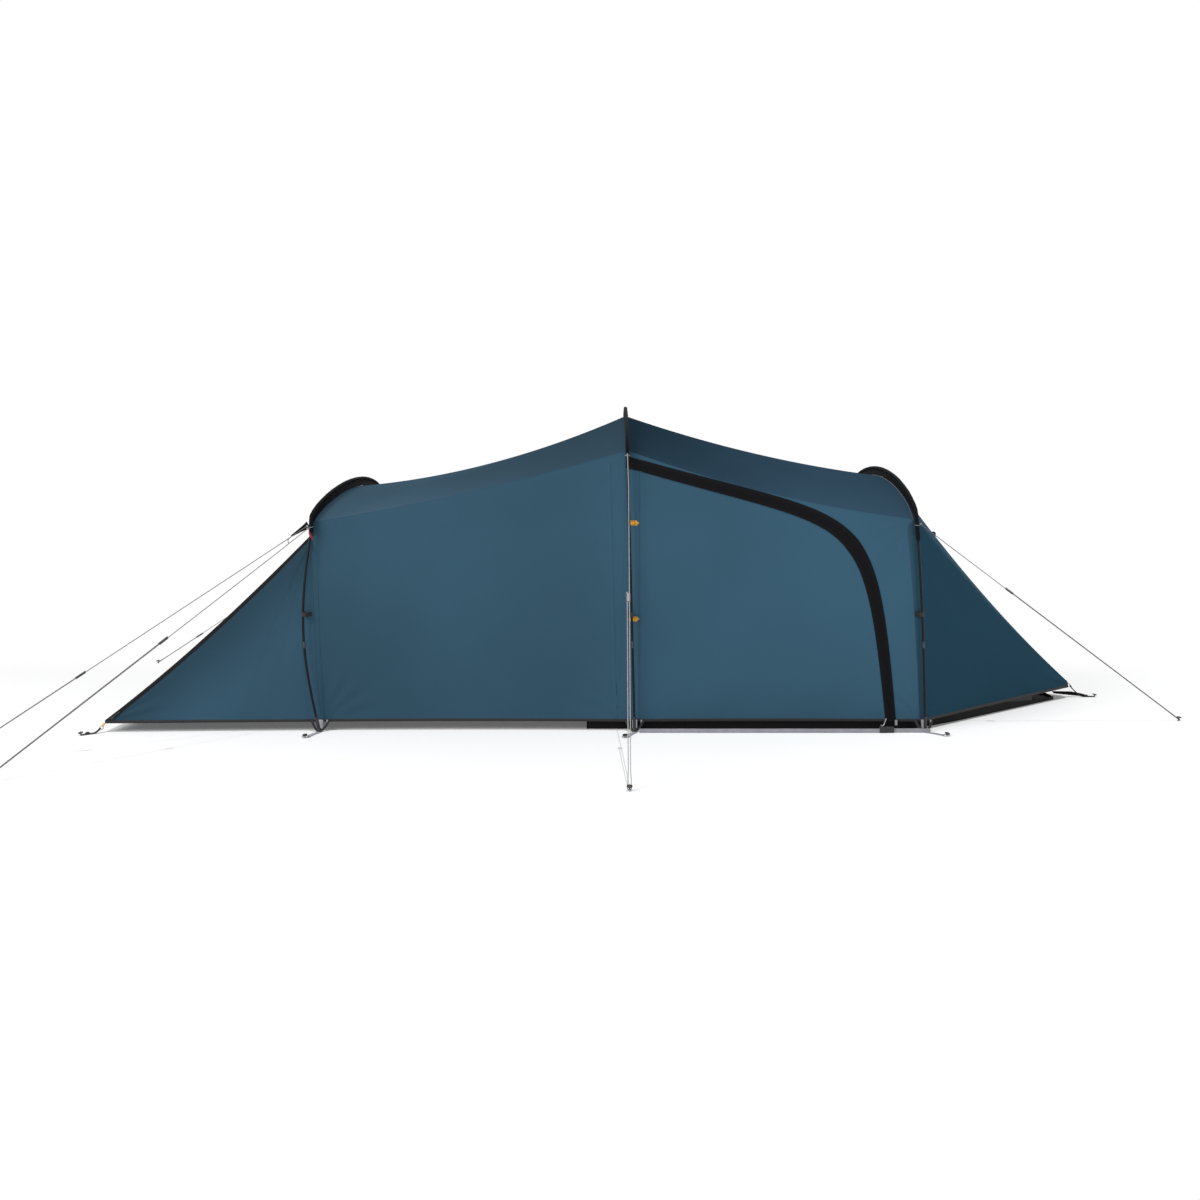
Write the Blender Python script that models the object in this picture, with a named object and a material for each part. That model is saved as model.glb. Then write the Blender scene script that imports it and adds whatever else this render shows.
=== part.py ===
"""Three-pole tunnel tent, in metres. X runs along the ridge, the door side is -Y, the ground is z = 0."""

import math
from dataclasses import dataclass

import bmesh
import bpy
from mathutils import Matrix, Vector

# Poles: outline of each arch, seen along the ridge
POLE_DIAMETER = 0.009
FERRULE_DIAMETER = 0.011
FERRULE_LENGTH = 0.022
FERRULE_Z = 0.325
CAP_DIAMETER = 0.0125
CAP_LENGTH = 0.055
POLE_STEP = 0.0015
POLE_STANDOFF = 0.034
LEG_BULGE = 0.03
SHOULDER_POWER = 1.44

# Canopy
HALF_WIDTH = 0.808
HEM_HEIGHT = 0.035
HEM_BAND = 0.011
HEM_THICKNESS = 0.003
HEM_TAPER = 0.001
FABRIC = 0.0012
WAIST = 0.014

# Shoulder and ridge heights of the three arches, and where each arch stands along X
LEFT_FOOT_X, CENTRE_FOOT_X, RIGHT_FOOT_X = -1.174, 0.030, 1.139
LEFT_SHOULDER_X, LEFT_APEX_X = LEFT_FOOT_X - 0.032, LEFT_FOOT_X + 0.012
CENTRE_SHOULDER_X, CENTRE_APEX_X = CENTRE_FOOT_X - 0.028, CENTRE_FOOT_X - 0.030
RIGHT_SHOULDER_X, RIGHT_APEX_X = RIGHT_FOOT_X - 0.032, RIGHT_FOOT_X - 0.039
LEFT_SHOULDER_Z, CENTRE_SHOULDER_Z, RIGHT_SHOULDER_Z = 0.800, 1.075, 0.812
LEFT_RIDGE_Z, CENTRE_RIDGE_Z, RIGHT_RIDGE_Z = 0.938, 1.244, 0.984

# How far the fabric sags between two arches
LEFT_RIDGE_SAG, LEFT_SEAM_SAG = 0.052, 0.020
RIGHT_RIDGE_SAG, RIGHT_SEAM_SAG = 0.030, 0.034

# Sleeves, and the heights of their mouths
SLEEVE_WALL = 0.0016
FIN_THICKNESS = 0.0024
LEFT_MOUTH_Z = LEFT_SHOULDER_Z - 0.044
CENTRE_MOUTH_Z = CENTRE_SHOULDER_Z - 0.023
RIGHT_MOUTH_Z = RIGHT_SHOULDER_Z - 0.064

# Porch end at the left: two pegged corners, and the cone at the right: one pegged tip
CORNER_X, CORNER_HALF_WIDTH = LEFT_FOOT_X - 0.826, HALF_WIDTH + 0.042
SLOPE_SAG = 0.029
SLOPE_CUT_SHARE = 0.985
TIP_X, TIP_Z = RIGHT_FOOT_X + 0.846, 0.048
CONE_SAG = 0.048
CONE_CUT_SHARE = 0.965

# Side door: the zip line runs from the hinge edge over the shoulder and down to the hem
DOOR_HINGE_X = CENTRE_FOOT_X + 0.020
ZIP_START_Z = CENTRE_SHOULDER_Z - 0.057
ZIP_TOP_HANDLE = (RIGHT_SHOULDER_X - 0.157, RIGHT_SHOULDER_Z - 0.048)
ZIP_SIDE_HANDLE = (RIGHT_SHOULDER_X - 0.193, RIGHT_SHOULDER_Z + 0.078)
ZIP_FOOT_X = RIGHT_FOOT_X - 0.125
FLAP_WIDTH_TOP, FLAP_WIDTH_BEND, FLAP_WIDTH_FOOT = 0.044, 0.058, 0.040
FLAP_THICKNESS = 0.0012
FLAP_CLEARANCE = 0.0007

# Sliders of the porch's zips: their place along the slope and their travel
SLIDER_LENGTH, SLIDER_WIDTH, SLIDER_THICKNESS = 0.016, 0.010, 0.005
SLIDER_PULL = 0.030
SLIDER_SHARE = 0.955
SLIDER_TRAVEL = 0.30
SLIDER_DROP = 0.008
SLIDER_DRIFT = 0.0012

# Webbing: foot straps with their cups, corner and tip straps, tie-backs
WEBBING_WIDTH, WEBBING_THICKNESS = 0.020, 0.0022
CUP_WALL, CUP_HEIGHT = 0.0018, 0.012
LOOP_REACH = 0.090
TIE_LENGTH, TIE_WIDTH = 0.038, 0.020
UPPER_TIE_Z = 0.797

# Guys
GUY_DIAMETER = 0.003
STRAND_SPACING = 0.0075
GUY_LOOP = 0.006
GUY_SPREAD = 0.070
GROUND_LOOP_Z = 0.004
TENSIONER_LENGTH, TENSIONER_WIDTH, TENSIONER_THICKNESS = 0.036, 0.0155, 0.0066

# Clips that hold the bare poles to the walls
CLIP_LEVEL = 0.452
CLIP_HEIGHT, CLIP_LIP = 0.018, 0.0022

# Bow of the left pole's bare legs, and the height below which they stand straight
LEFT_BOW = 0.038
BOW_START_Z = 0.020

# Strap along the ground under the side door, and its buckle
BUCKLE_X = RIGHT_FOOT_X - 0.154
SOCKET_LENGTH, PLUG_LENGTH = 0.030, 0.024
BUCKLE_HEIGHT, BUCKLE_SHELL = 0.024, 0.002
TONGUE_LENGTH, TONGUE_WIDTH, TONGUE_THICKNESS = 0.020, 0.013, 0.004
GROUND_STRAP_Y = -HALF_WIDTH - 0.054
GROUND_STRAP_Z = 0.0005
GROUND_STRAP_WIDTH = 0.016
GROUND_STRAP_LEAN = 0.0015

# Hood over the vent in the cone
HOOD_X, HOOD_LENGTH, HOOD_HALF_WIDTH, HOOD_RISE = RIGHT_FOOT_X + 0.161, 0.085, 0.060, 0.016

# Inner tent
FLOOR_FRONT_X, FLOOR_REAR_X = CENTRE_FOOT_X - 0.185, TIP_X - 0.105
CANOPY_REAR_X = FLOOR_REAR_X - 0.130
FLOOR_INSET, INNER_INSET = 0.035, 0.055
TUB_HEIGHT, TUB_THICKNESS, TUB_LEAN = 0.10, 0.0016, 0.006
INNER_DOOR_WIDTH, INNER_DOOR_HEIGHT, INNER_SILL = 0.62, 0.78, 0.05
HANGER_WIDTH = 0.012

# Clearances
SEAM_GAP = 0.0006
SEAT_GAP = 0.0003
BORE_GAP = 0.0004
POLE_FOOT_Z = WEBBING_THICKNESS + SEAT_GAP + 0.1 * CAP_DIAMETER / 2

# Divisions of the meshes
ROOF_STEPS = 12
WALL_ROWS = 8
WALL_COLUMNS = 10
ZIP_STEPS = 18
ZIP_BEND = WALL_COLUMNS / ZIP_STEPS
SLOPE_STEPS = 10
CONE_STEPS = 9

NEAR, FAR = -1, 1


@dataclass(frozen=True)
class Arch:
    """One pole's arch: its name, X at foot, shoulder and apex, and its heights."""

    name: str
    foot_x: float
    shoulder_x: float
    apex_x: float
    shoulder_z: float
    ridge_z: float
    mouth_z: float
    bow: float = 0.0

    def bow_at(self, z):
        """How far the bare pole bends outwards at a height, between its foot and its sleeve."""
        share = (z - BOW_START_Z) / (self.mouth_z - BOW_START_Z)
        return self.bow * math.sin(math.pi * min(max(share, 0.0), 1.0))

    def x_at(self, z):
        """X of the leaning arch at a height."""
        if z <= self.shoulder_z:
            return self.foot_x + (self.shoulder_x - self.foot_x) * z / self.shoulder_z
        share = (z - self.shoulder_z) / (self.ridge_z - self.shoulder_z)
        return self.shoulder_x + (self.apex_x - self.shoulder_x) * share

    def leg_x(self, rise):
        """X of a leg at a share of its height, from the ground to the shoulder."""
        return self.x_at(rise * self.shoulder_z)


LEFT = Arch(
    "left",
    LEFT_FOOT_X,
    LEFT_SHOULDER_X,
    LEFT_APEX_X,
    LEFT_SHOULDER_Z,
    LEFT_RIDGE_Z,
    LEFT_MOUTH_Z,
    LEFT_BOW,
)
CENTRE = Arch(
    "centre",
    CENTRE_FOOT_X,
    CENTRE_SHOULDER_X,
    CENTRE_APEX_X,
    CENTRE_SHOULDER_Z,
    CENTRE_RIDGE_Z,
    CENTRE_MOUTH_Z,
)
RIGHT = Arch(
    "right", RIGHT_FOOT_X, RIGHT_SHOULDER_X, RIGHT_APEX_X, RIGHT_SHOULDER_Z, RIGHT_RIDGE_Z, RIGHT_MOUTH_Z
)
FOOT_PEGS = {
    "left": (LEFT_FOOT_X - 0.026, HALF_WIDTH + 0.150),
    "centre": (CENTRE_FOOT_X - 0.036, HALF_WIDTH + 0.150),
    "right": (RIGHT_FOOT_X + 0.061, HALF_WIDTH + 0.117),
}


@dataclass(frozen=True)
class Span:
    """The fabric between two arches, with the sag of its ridge and of its shoulder seam."""

    start: Arch
    end: Arch
    ridge_sag: float
    seam_sag: float

    def heights(self, u):
        """Shoulder and ridge height at a share u of the span."""
        dip = 4 * u * (1 - u)
        shoulder = mix(self.start.shoulder_z, self.end.shoulder_z, u) - self.seam_sag * dip
        ridge = mix(self.start.ridge_z, self.end.ridge_z, u) - self.ridge_sag * dip
        return shoulder, ridge

    def seam_share(self, x):
        """How far x lies along the span's shoulder seam."""
        return (x - self.start.shoulder_x) / (self.end.shoulder_x - self.start.shoulder_x)

    def share_at(self, x, z):
        """How far x lies along the span at a height, the arches met at equal shares of their legs."""
        shoulder, _ = self.heights(min(max(self.seam_share(x), 0.0), 1.0))
        rise = min(z / shoulder, 1.0)
        start, end = self.start.leg_x(rise), self.end.leg_x(rise)
        return min(max((x - start) / (end - start), 0.0), 1.0)

    def wall_y(self, x, z):
        """Half width of the wall at a point of its height and length."""
        u = self.share_at(x, z)
        shoulder, _ = self.heights(u)
        return half_width(z, shoulder) - WAIST * 4 * u * (1 - u)


def mix(a, b, t):
    return a + (b - a) * t


def half_width(z, shoulder):
    """Half width of the canopy at a height below the shoulder."""
    return HALF_WIDTH + LEG_BULGE * math.sin(math.pi * min(max(z / shoulder, 0.0), 1.0))


LEFT_SPAN = Span(LEFT, CENTRE, LEFT_RIDGE_SAG, LEFT_SEAM_SAG)
RIGHT_SPAN = Span(CENTRE, RIGHT, RIGHT_RIDGE_SAG, RIGHT_SEAM_SAG)


def clear_scene():
    for obj in list(bpy.data.objects):
        bpy.data.objects.remove(obj)


def finish(name, color, roughness, metallic=0.0):
    """A Principled material of that colour, made once."""
    found = bpy.data.materials.get(name)
    if found:
        return found
    made = bpy.data.materials.new(name)
    made.use_nodes = True
    shader = made.node_tree.nodes["Principled BSDF"]
    shader.inputs["Base Color"].default_value = (*color, 1.0)
    shader.inputs["Roughness"].default_value = roughness
    shader.inputs["Metallic"].default_value = metallic
    return made


def blue_fabric():
    return finish("blue_fabric", (0.045, 0.100, 0.145), 0.55)


def roof_fabric():
    return finish("roof_fabric", (0.030, 0.062, 0.090), 0.55)


def black_fabric():
    return finish("black_fabric", (0.010, 0.010, 0.012), 0.7)


def grey_webbing():
    return finish("grey_webbing", (0.35, 0.34, 0.41), 0.8)


def amber_webbing():
    return finish("amber_webbing", (0.72, 0.36, 0.03), 0.7)


def black_plastic():
    return finish("black_plastic", (0.012, 0.012, 0.014), 0.4)


def pole_laminate():
    return finish("pole_laminate", (0.015, 0.015, 0.017), 0.25)


def cord_fibre():
    return finish("cord_fibre", (0.32, 0.32, 0.34), 0.8)


def place(name, mesh, material):
    """A new object of a mesh, under its node's name."""
    obj = bpy.data.objects.new(name, mesh)
    bpy.context.scene.collection.objects.link(obj)
    mesh.materials.clear()
    mesh.materials.append(material)
    mesh.shade_smooth()
    mesh.set_sharp_from_angle(angle=math.radians(35))
    return obj


def solid(name, points, faces, material):
    """A closed mesh of points and faces, with its faces turned outwards."""
    bm = bmesh.new()
    corners = [bm.verts.new(p) for p in points]
    for face in faces:
        bm.faces.new([corners[i] for i in face])
    bmesh.ops.recalc_face_normals(bm, faces=bm.faces[:])
    if bm.calc_volume(signed=True) < 0:
        bmesh.ops.reverse_faces(bm, faces=bm.faces[:])
    mesh = bpy.data.meshes.new(name)
    bm.to_mesh(mesh)
    bm.free()
    return place(name, mesh, material)


def sheet(name, outer, inner, material, twisted=False):
    """A thin closed panel between two grids of points, given as rows.

    A twisted panel's faces are split along the same diagonal in both layers, so that they can't cross.
    """
    rows, columns = len(outer), len(outer[0])
    points = [p for row in outer for p in row] + [p for row in inner for p in row]

    def at(layer, r, c):
        return layer * rows * columns + r * columns + c

    faces = []
    for r in range(rows - 1):
        for c in range(columns - 1):
            quad = [(r, c), (r, c + 1), (r + 1, c + 1), (r + 1, c)]
            for face in (quad[:3], quad[2:] + quad[:1]) if twisted else (quad,):
                faces.append([at(0, *q) for q in face])
                faces.append([at(1, *q) for q in reversed(face)])
    rim = [(0, c) for c in range(columns)]
    rim += [(r, columns - 1) for r in range(1, rows)]
    rim += [(rows - 1, c) for c in range(columns - 2, -1, -1)]
    rim += [(r, 0) for r in range(rows - 2, 0, -1)]
    for a, b in zip(rim, rim[1:] + rim[:1]):
        faces.append([at(0, *b), at(0, *a), at(1, *a), at(1, *b)])
    return solid(name, points, faces, material)


def loft(name, rings, material):
    """A closed solid through rings of as many points each, with flat ends."""
    count = len(rings[0])
    points = [p for ring in rings for p in ring]
    faces = [list(range(count)), [len(points) - 1 - i for i in range(count)]]
    for r in range(len(rings) - 1):
        for i in range(count):
            j = (i + 1) % count
            faces.append([r * count + i, r * count + j, (r + 1) * count + j, (r + 1) * count + i])
    return solid(name, points, faces, material)


def fuse(target, other):
    """Joins another solid to the target, whose node it then belongs to."""
    join = target.modifiers.new(other.name, "BOOLEAN")
    join.operation = "UNION"
    join.solver = "EXACT"
    join.object = other
    other.hide_render = True
    other.display_type = "WIRE"


def frames_along(path, up):
    """Tangent, side and up vectors at each point of a path, the side kept square to the given up."""
    found = []
    for i, point in enumerate(path):
        ahead = path[min(i + 1, len(path) - 1)]
        behind = path[max(i - 1, 0)]
        tangent = (Vector(ahead) - Vector(behind)).normalized()
        reference = Vector(up(i) if callable(up) else up)
        side = tangent.cross(reference).normalized()
        found.append((Vector(point), side, side.cross(tangent).normalized()))
    return found


def sweep(name, frames, profile, material):
    """A profile of (side, up) offsets carried through frames; it may be a function of the step."""
    rings = []
    for i, (point, side, above) in enumerate(frames):
        outline = profile(i) if callable(profile) else profile
        rings.append([point + side * a + above * b for a, b in outline])
    return loft(name, rings, material)


def circle(radius, count):
    """Corners of a regular outline with flat sides left, right, above and below."""
    turns = [math.pi * (2 * i + 1) / count for i in range(count)]
    return [(radius * math.cos(turn), radius * math.sin(turn)) for turn in turns]


def round_bore(radius, count):
    """Corner distance at which a regular outline of that many corners clears a round rod everywhere."""
    return (radius + BORE_GAP) / math.cos(math.pi / count)


def side_word(side):
    return "near" if side == NEAR else "far"


def strip(width, thickness):
    return [(-width / 2, 0.0), (width / 2, 0.0), (width / 2, thickness), (-width / 2, thickness)]


def smooth_path(points, steps):
    """Points on a smooth curve through the given ones."""
    spots = [Vector(p) for p in points]
    spots = [2 * spots[0] - spots[1]] + spots + [2 * spots[-1] - spots[-2]]
    found = []
    for a, b, c, d in zip(spots, spots[1:], spots[2:], spots[3:]):
        for k in range(steps):
            t = k / steps
            slope, bend, twist = c - a, 2 * a - 5 * b + 4 * c - d, 3 * b - 3 * c + d - a
            found.append(b + (slope * t + bend * t**2 + twist * t**3) / 2)
    return found + [spots[-2]]


def section_normals(outline):
    """Unit vectors square to an outline, in the YZ plane and turned towards the inside of the tent."""
    middle = 0.3 * max(p[2] for p in outline)
    found = []
    for i in range(len(outline)):
        ahead, behind = outline[min(i + 1, len(outline) - 1)], outline[max(i - 1, 0)]
        normal = Vector((0.0, behind[2] - ahead[2], ahead[1] - behind[1])).normalized()
        inward = Vector((0.0, -outline[i][1], middle - outline[i][2]))
        found.append(normal if normal.dot(inward) > 0 else -normal)
    return found


def offset_inward(rows, thickness):
    """The rows pushed inwards; thickness is a number or a function of the place along a row."""
    moved = []
    for row in rows:
        depths = [thickness(i) if callable(thickness) else thickness for i in range(len(row))]
        moved.append([Vector(p) + n * d for p, n, d in zip(row, section_normals(row), depths)])
    return moved


def roof_angle(i):
    return math.pi * (i / ROOF_STEPS - 0.5)


def roof_lift(angle):
    """Share of the rise that the roof has reached at an angle of its half turn."""
    return max(math.cos(angle), 0.0) ** SHOULDER_POWER


def arch_roof(arch):
    """Points of the canopy's outer face along an arch, from the near shoulder to the far one."""
    found = []
    for i in range(ROOF_STEPS + 1):
        angle = roof_angle(i)
        z = arch.shoulder_z + (arch.ridge_z - arch.shoulder_z) * roof_lift(angle)
        found.append(Vector((arch.x_at(z), HALF_WIDTH * math.sin(angle), z)))
    return found


def arch_leg(arch, side, heights):
    """Points of the canopy's outer face along one leg of an arch."""
    return [Vector((arch.x_at(z), side * half_width(z, arch.shoulder_z), z)) for z in heights]


def pole_stations(arch):
    """A pole's frames from foot to foot, its radius at each, and the slice that its sleeve covers."""
    foot, ferrule = POLE_FOOT_Z, FERRULE_Z
    cap_end = foot + CAP_LENGTH + POLE_STEP
    radii = [
        (foot, CAP_DIAMETER),
        (BOW_START_Z, CAP_DIAMETER),
        (foot + CAP_LENGTH, CAP_DIAMETER),
        (cap_end, POLE_DIAMETER),
        (mix(cap_end, ferrule, 1 / 3), POLE_DIAMETER),
        (mix(cap_end, ferrule, 2 / 3), POLE_DIAMETER),
        (ferrule - POLE_STEP, POLE_DIAMETER),
        (ferrule, FERRULE_DIAMETER),
        (ferrule + FERRULE_LENGTH, FERRULE_DIAMETER),
        (ferrule + FERRULE_LENGTH + POLE_STEP, POLE_DIAMETER),
        (CLIP_LEVEL - CLIP_HEIGHT, POLE_DIAMETER),
        (CLIP_LEVEL + CLIP_HEIGHT, POLE_DIAMETER),
        (mix(CLIP_LEVEL, arch.mouth_z, 2 / 4), POLE_DIAMETER),
        (mix(CLIP_LEVEL, arch.mouth_z, 3 / 4), POLE_DIAMETER),
        (arch.mouth_z, POLE_DIAMETER),
        (mix(arch.mouth_z, arch.shoulder_z, 0.6), POLE_DIAMETER),
    ]
    heights = [z for z, _ in radii]
    near = arch_leg(arch, NEAR, heights)
    far = arch_leg(arch, FAR, heights)[::-1]
    outline = near + arch_roof(arch) + far
    inward = section_normals(outline)
    bows = [Vector((arch.bow_at(p.z), 0.0, 0.0)) for p in outline]
    line = [p - n * POLE_STANDOFF - b for p, n, b in zip(outline, inward, bows)]
    for end, above in ((0, 1), (-1, -2)):
        low, high = line[end], line[above]
        line[end] = high + (low - high) * ((high.z - foot) / (high.z - low.z))
    leg = [d / 2 for _, d in radii]
    sizes = leg + [POLE_DIAMETER / 2] * (ROOF_STEPS + 1) + leg[::-1]
    covered = slice(len(near) - 2, len(outline) - len(far) + 2)
    frames = [(p, n, Vector((1.0, 0.0, 0.0))) for p, n in zip(line, inward)]
    return frames, sizes, covered


def pole_at(arch, side, z):
    """Centre of a pole's leg at a height."""
    frames, _, _ = pole_stations(arch)
    line = [point for point, _, _ in frames]
    found = line[0]
    for a, b in zip(line, line[1:]):
        if a.z <= z <= b.z:
            found = a.lerp(b, (z - a.z) / (b.z - a.z))
    return Vector((found.x, side * abs(found.y), z))


def pole(arch):
    frames, sizes, _ = pole_stations(arch)
    return sweep(f"pole_{arch.name}", frames, lambda i: circle(sizes[i], 8), pole_laminate())


def sleeve_sizes():
    """Inner and outer corner radius of a sleeve's tube."""
    bore = round_bore(POLE_DIAMETER / 2, 9)
    return bore, bore + SLEEVE_WALL


def sleeve(arch):
    """The fabric sleeve over a pole: a tube round it and the fin that is sewn along the canopy."""
    frames, _, covered = pole_stations(arch)
    bore, rim = sleeve_sizes()
    fin = FIN_THICKNESS / 2
    fin_end = POLE_STANDOFF - 2 * SEAT_GAP
    turns = [math.radians(d) for d in (80, 120, 160, 200, 240, 280, 310, 340, 380, 410)]
    outer = [(rim * math.cos(a), rim * math.sin(a)) for a in turns[:6]]
    outer += [(1.3 * rim, -fin), (fin_end, -fin), (fin_end, fin), (1.3 * rim, fin)]
    inner = [(bore * math.cos(a), bore * math.sin(a)) for a in turns]
    return pipe(f"sleeve_{arch.name}", frames[covered], outer, inner, black_fabric())


def pipe(name, frames, outer, inner, material):
    """A hollow solid through frames, between an outer and an inner profile of as many points."""
    count, layers = len(outer), 2 * len(outer)
    points = []
    for point, side, above in frames:
        points += [point + side * a + above * b for a, b in outer + inner]
    faces = []
    for i in range(count):
        j = (i + 1) % count
        for r in range(0, len(points) - layers, layers):
            faces.append([r + i, r + j, r + layers + j, r + layers + i])
            faces.append([r + count + j, r + count + i, r + layers + count + i, r + layers + count + j])
        last = len(points) - layers
        faces.append([j, i, count + i, count + j])
        faces.append([last + i, last + j, last + count + j, last + count + i])
    return solid(name, points, faces, material)


def hem_rows(top, count):
    """Heights from the hem to a top edge, with two close rows where the hem's binding ends."""
    band = HEM_HEIGHT + HEM_BAND
    return [HEM_HEIGHT, band] + [mix(band + HEM_TAPER, top, k / count) for k in range(count + 1)]


def hem_thickness(i):
    return HEM_THICKNESS if i < 2 else FABRIC


def span_of(x):
    return LEFT_SPAN if x < CENTRE_SHOULDER_X else RIGHT_SPAN


def seam_height(x):
    """Height of the shoulder seam over a place along the tent."""
    span = span_of(x)
    return span.heights(min(max(span.seam_share(x), 0.0), 1.0))[0]


def wall_at(side, x, z):
    """Point of the outer face of a side wall."""
    return Vector((x, side * span_of(x).wall_y(x, z), z))


def wall(name, side, start, end):
    """A side wall between two edges, each a function of the share of its height."""
    rows = []
    for k in range(WALL_COLUMNS + 1):
        t = k / WALL_COLUMNS
        seam = seam_height(mix(start(1.0), end(1.0), t))
        heights = hem_rows(seam - SEAM_GAP / 2, WALL_ROWS)
        rows.append([wall_at(side, mix(start(z / seam), end(z / seam), t), z) for z in heights])
    return sheet(name, rows, offset_inward(rows, hem_thickness), blue_fabric())


def roof(name, span):
    """The roof between two arches, from shoulder seam to shoulder seam."""
    starts, ends = arch_roof(span.start), arch_roof(span.end)
    rows = []
    for k in range(WALL_COLUMNS + 1):
        u = k / WALL_COLUMNS
        shoulder, ridge = span.heights(u)
        width = HALF_WIDTH - WAIST * 4 * u * (1 - u)
        row = []
        for i in range(ROOF_STEPS + 1):
            angle = roof_angle(i)
            x = mix(starts[i].x + SEAM_GAP / 2, ends[i].x - SEAM_GAP / 2, u)
            lift = SEAM_GAP / 2 if i in (0, ROOF_STEPS) else 0.0
            z = shoulder + (ridge - shoulder) * roof_lift(angle) + lift
            row.append(Vector((x, width * math.sin(angle), z)))
        rows.append(row)
    inner = offset_inward(rows, FABRIC)
    for outer_row, inner_row in zip(rows, inner):
        inner_row[0] = outer_row[0] + Vector((0.0, FABRIC, 0.0))
        inner_row[-1] = outer_row[-1] - Vector((0.0, FABRIC, 0.0))
    return sheet(name, rows, inner, roof_fabric())


def bezier(points, t):
    a, b, c, d = (Vector(p) for p in points)
    return a * (1 - t) ** 3 + b * (3 * t * (1 - t) ** 2) + c * (3 * t**2 * (1 - t)) + d * t**3


def zip_line(t, aside=0.0):
    """Point (x, z) of the side door's zip, t from the hinge to the hem, moved aside towards the frame."""
    line = [(DOOR_HINGE_X, ZIP_START_Z), ZIP_TOP_HANDLE, ZIP_SIDE_HANDLE, (ZIP_FOOT_X, HEM_HEIGHT)]
    here = bezier(line, t)
    tangent = (bezier(line, min(t + 0.01, 1.0)) - bezier(line, max(t - 0.01, 0.0))).normalized()
    return here + Vector((-tangent.y, tangent.x)) * aside


def near_grid(grid):
    """Wall points of a grid of (x, z) places on the near side, pushed outwards by a distance."""
    return [[wall_at(NEAR, x, z) for x, z in row] for row in grid]


def pushed(rows, distance):
    return [[p + Vector((0.0, distance, 0.0)) for p in row] for row in rows]


def coons(bottom, top, left, right, columns, rows):
    """A grid of (x, z) between four edges, each a function from 0 to 1."""
    low_left, low_right, high_left, high_right = bottom(0.0), bottom(1.0), top(0.0), top(1.0)
    grid = []
    for i in range(columns + 1):
        u = i / columns
        line = []
        for j in range(rows + 1):
            v = j / rows
            ruled = bottom(u).lerp(top(u), v) + left(v).lerp(right(v), u)
            line.append(ruled - low_left.lerp(low_right, u).lerp(high_left.lerp(high_right, u), v))
        grid.append(line)
    return grid


def side_door():
    """The door in the near wall, bounded by its hinge edge, the hem and the zip line."""
    edge = -SEAM_GAP / 2
    hinge = DOOR_HINGE_X + SEAM_GAP / 2
    start = Vector((hinge, zip_line(0.0, edge).y))
    foot = Vector((zip_line(1.0, edge).x, HEM_HEIGHT))
    corner = Vector((hinge, HEM_HEIGHT))
    band = HEM_HEIGHT + HEM_BAND
    grid = coons(
        lambda u: corner.lerp(foot, u),
        lambda u: start if u == 0 else zip_line(ZIP_BEND * u, edge),
        lambda v: corner.lerp(start, v),
        lambda v: zip_line(mix(1.0, ZIP_BEND, v), edge),
        WALL_COLUMNS,
        ZIP_STEPS - WALL_COLUMNS,
    )
    for line in grid:
        low, above = line[0], line[1]
        share = (band - low.y) / (above.y - low.y)
        line[1:1] = [low.lerp(above, share), low.lerp(above, share + HEM_TAPER / (above.y - low.y))]
    rows = near_grid(grid)
    return sheet("side_door", rows, offset_inward(rows, hem_thickness), blue_fabric())


def door_frame():
    """The near wall between the side door's zip and the shoulder seam and right arch."""
    edge = SEAM_GAP / 2
    seam_end = RIGHT.x_at(RIGHT_SHOULDER_Z) - edge
    grid = []
    for i in range(ZIP_STEPS + 1):
        t = i / ZIP_STEPS
        inner = zip_line(t, edge)
        if t <= ZIP_BEND:
            x = mix(DOOR_HINGE_X - SEAM_GAP / 2, seam_end, t / ZIP_BEND)
            outer = Vector((x, seam_height(x) - SEAM_GAP / 2))
        else:
            z = mix(RIGHT_SHOULDER_Z - SEAM_GAP / 2, HEM_HEIGHT, (t - ZIP_BEND) / (1 - ZIP_BEND))
            outer = Vector((RIGHT.x_at(z) - edge, z))
        if i == 0:
            inner = Vector((outer.x, inner.y))
        grid.append([inner.lerp(outer, k / 3) for k in range(4)])
    rows = near_grid(grid)
    inner = [[p + Vector((0.0, FABRIC, 0.0)) for p in row] for row in rows]
    return sheet("wall_near_right", rows, inner, blue_fabric())


def flap_width(t):
    """Width of the zip's cover: narrow at both ends and widest at the bend."""
    end = FLAP_WIDTH_TOP if t < ZIP_BEND else FLAP_WIDTH_FOOT
    away = abs(t - ZIP_BEND) / (ZIP_BEND if t < ZIP_BEND else 1 - ZIP_BEND)
    return mix(FLAP_WIDTH_BEND, end, away**0.8)


def zip_flap():
    """The black cover over the side door's zip, which hangs from the door."""
    low = HEM_HEIGHT + SEAT_GAP
    grid = []
    for i in range(ZIP_STEPS + 1):
        t = i / ZIP_STEPS
        half = flap_width(t) / 2
        line = [zip_line(t, aside) for aside in (-half, -half / 3, half / 3, half)]
        if i == 0:
            line = [Vector((DOOR_HINGE_X + SEAM_GAP / 2, p.y)) for p in line]
        if i == ZIP_STEPS:
            line = [Vector((p.x, low)) for p in line]
        grid.append(line)
    rows = pushed(near_grid(grid), -FLAP_CLEARANCE)
    return sheet("door_zip_flap", pushed(rows, -FLAP_THICKNESS), rows, black_fabric())


def cone_base(side):
    """Outline of the right arch's near or far half, from the hem to the ridge."""
    heights = [mix(HEM_HEIGHT, RIGHT_SHOULDER_Z, k / 5) for k in range(5)]
    crown = arch_roof(RIGHT)[: ROOF_STEPS // 2 + 1]
    return arch_leg(RIGHT, side, heights) + [Vector((p.x, -side * p.y, p.z)) for p in crown]


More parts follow.
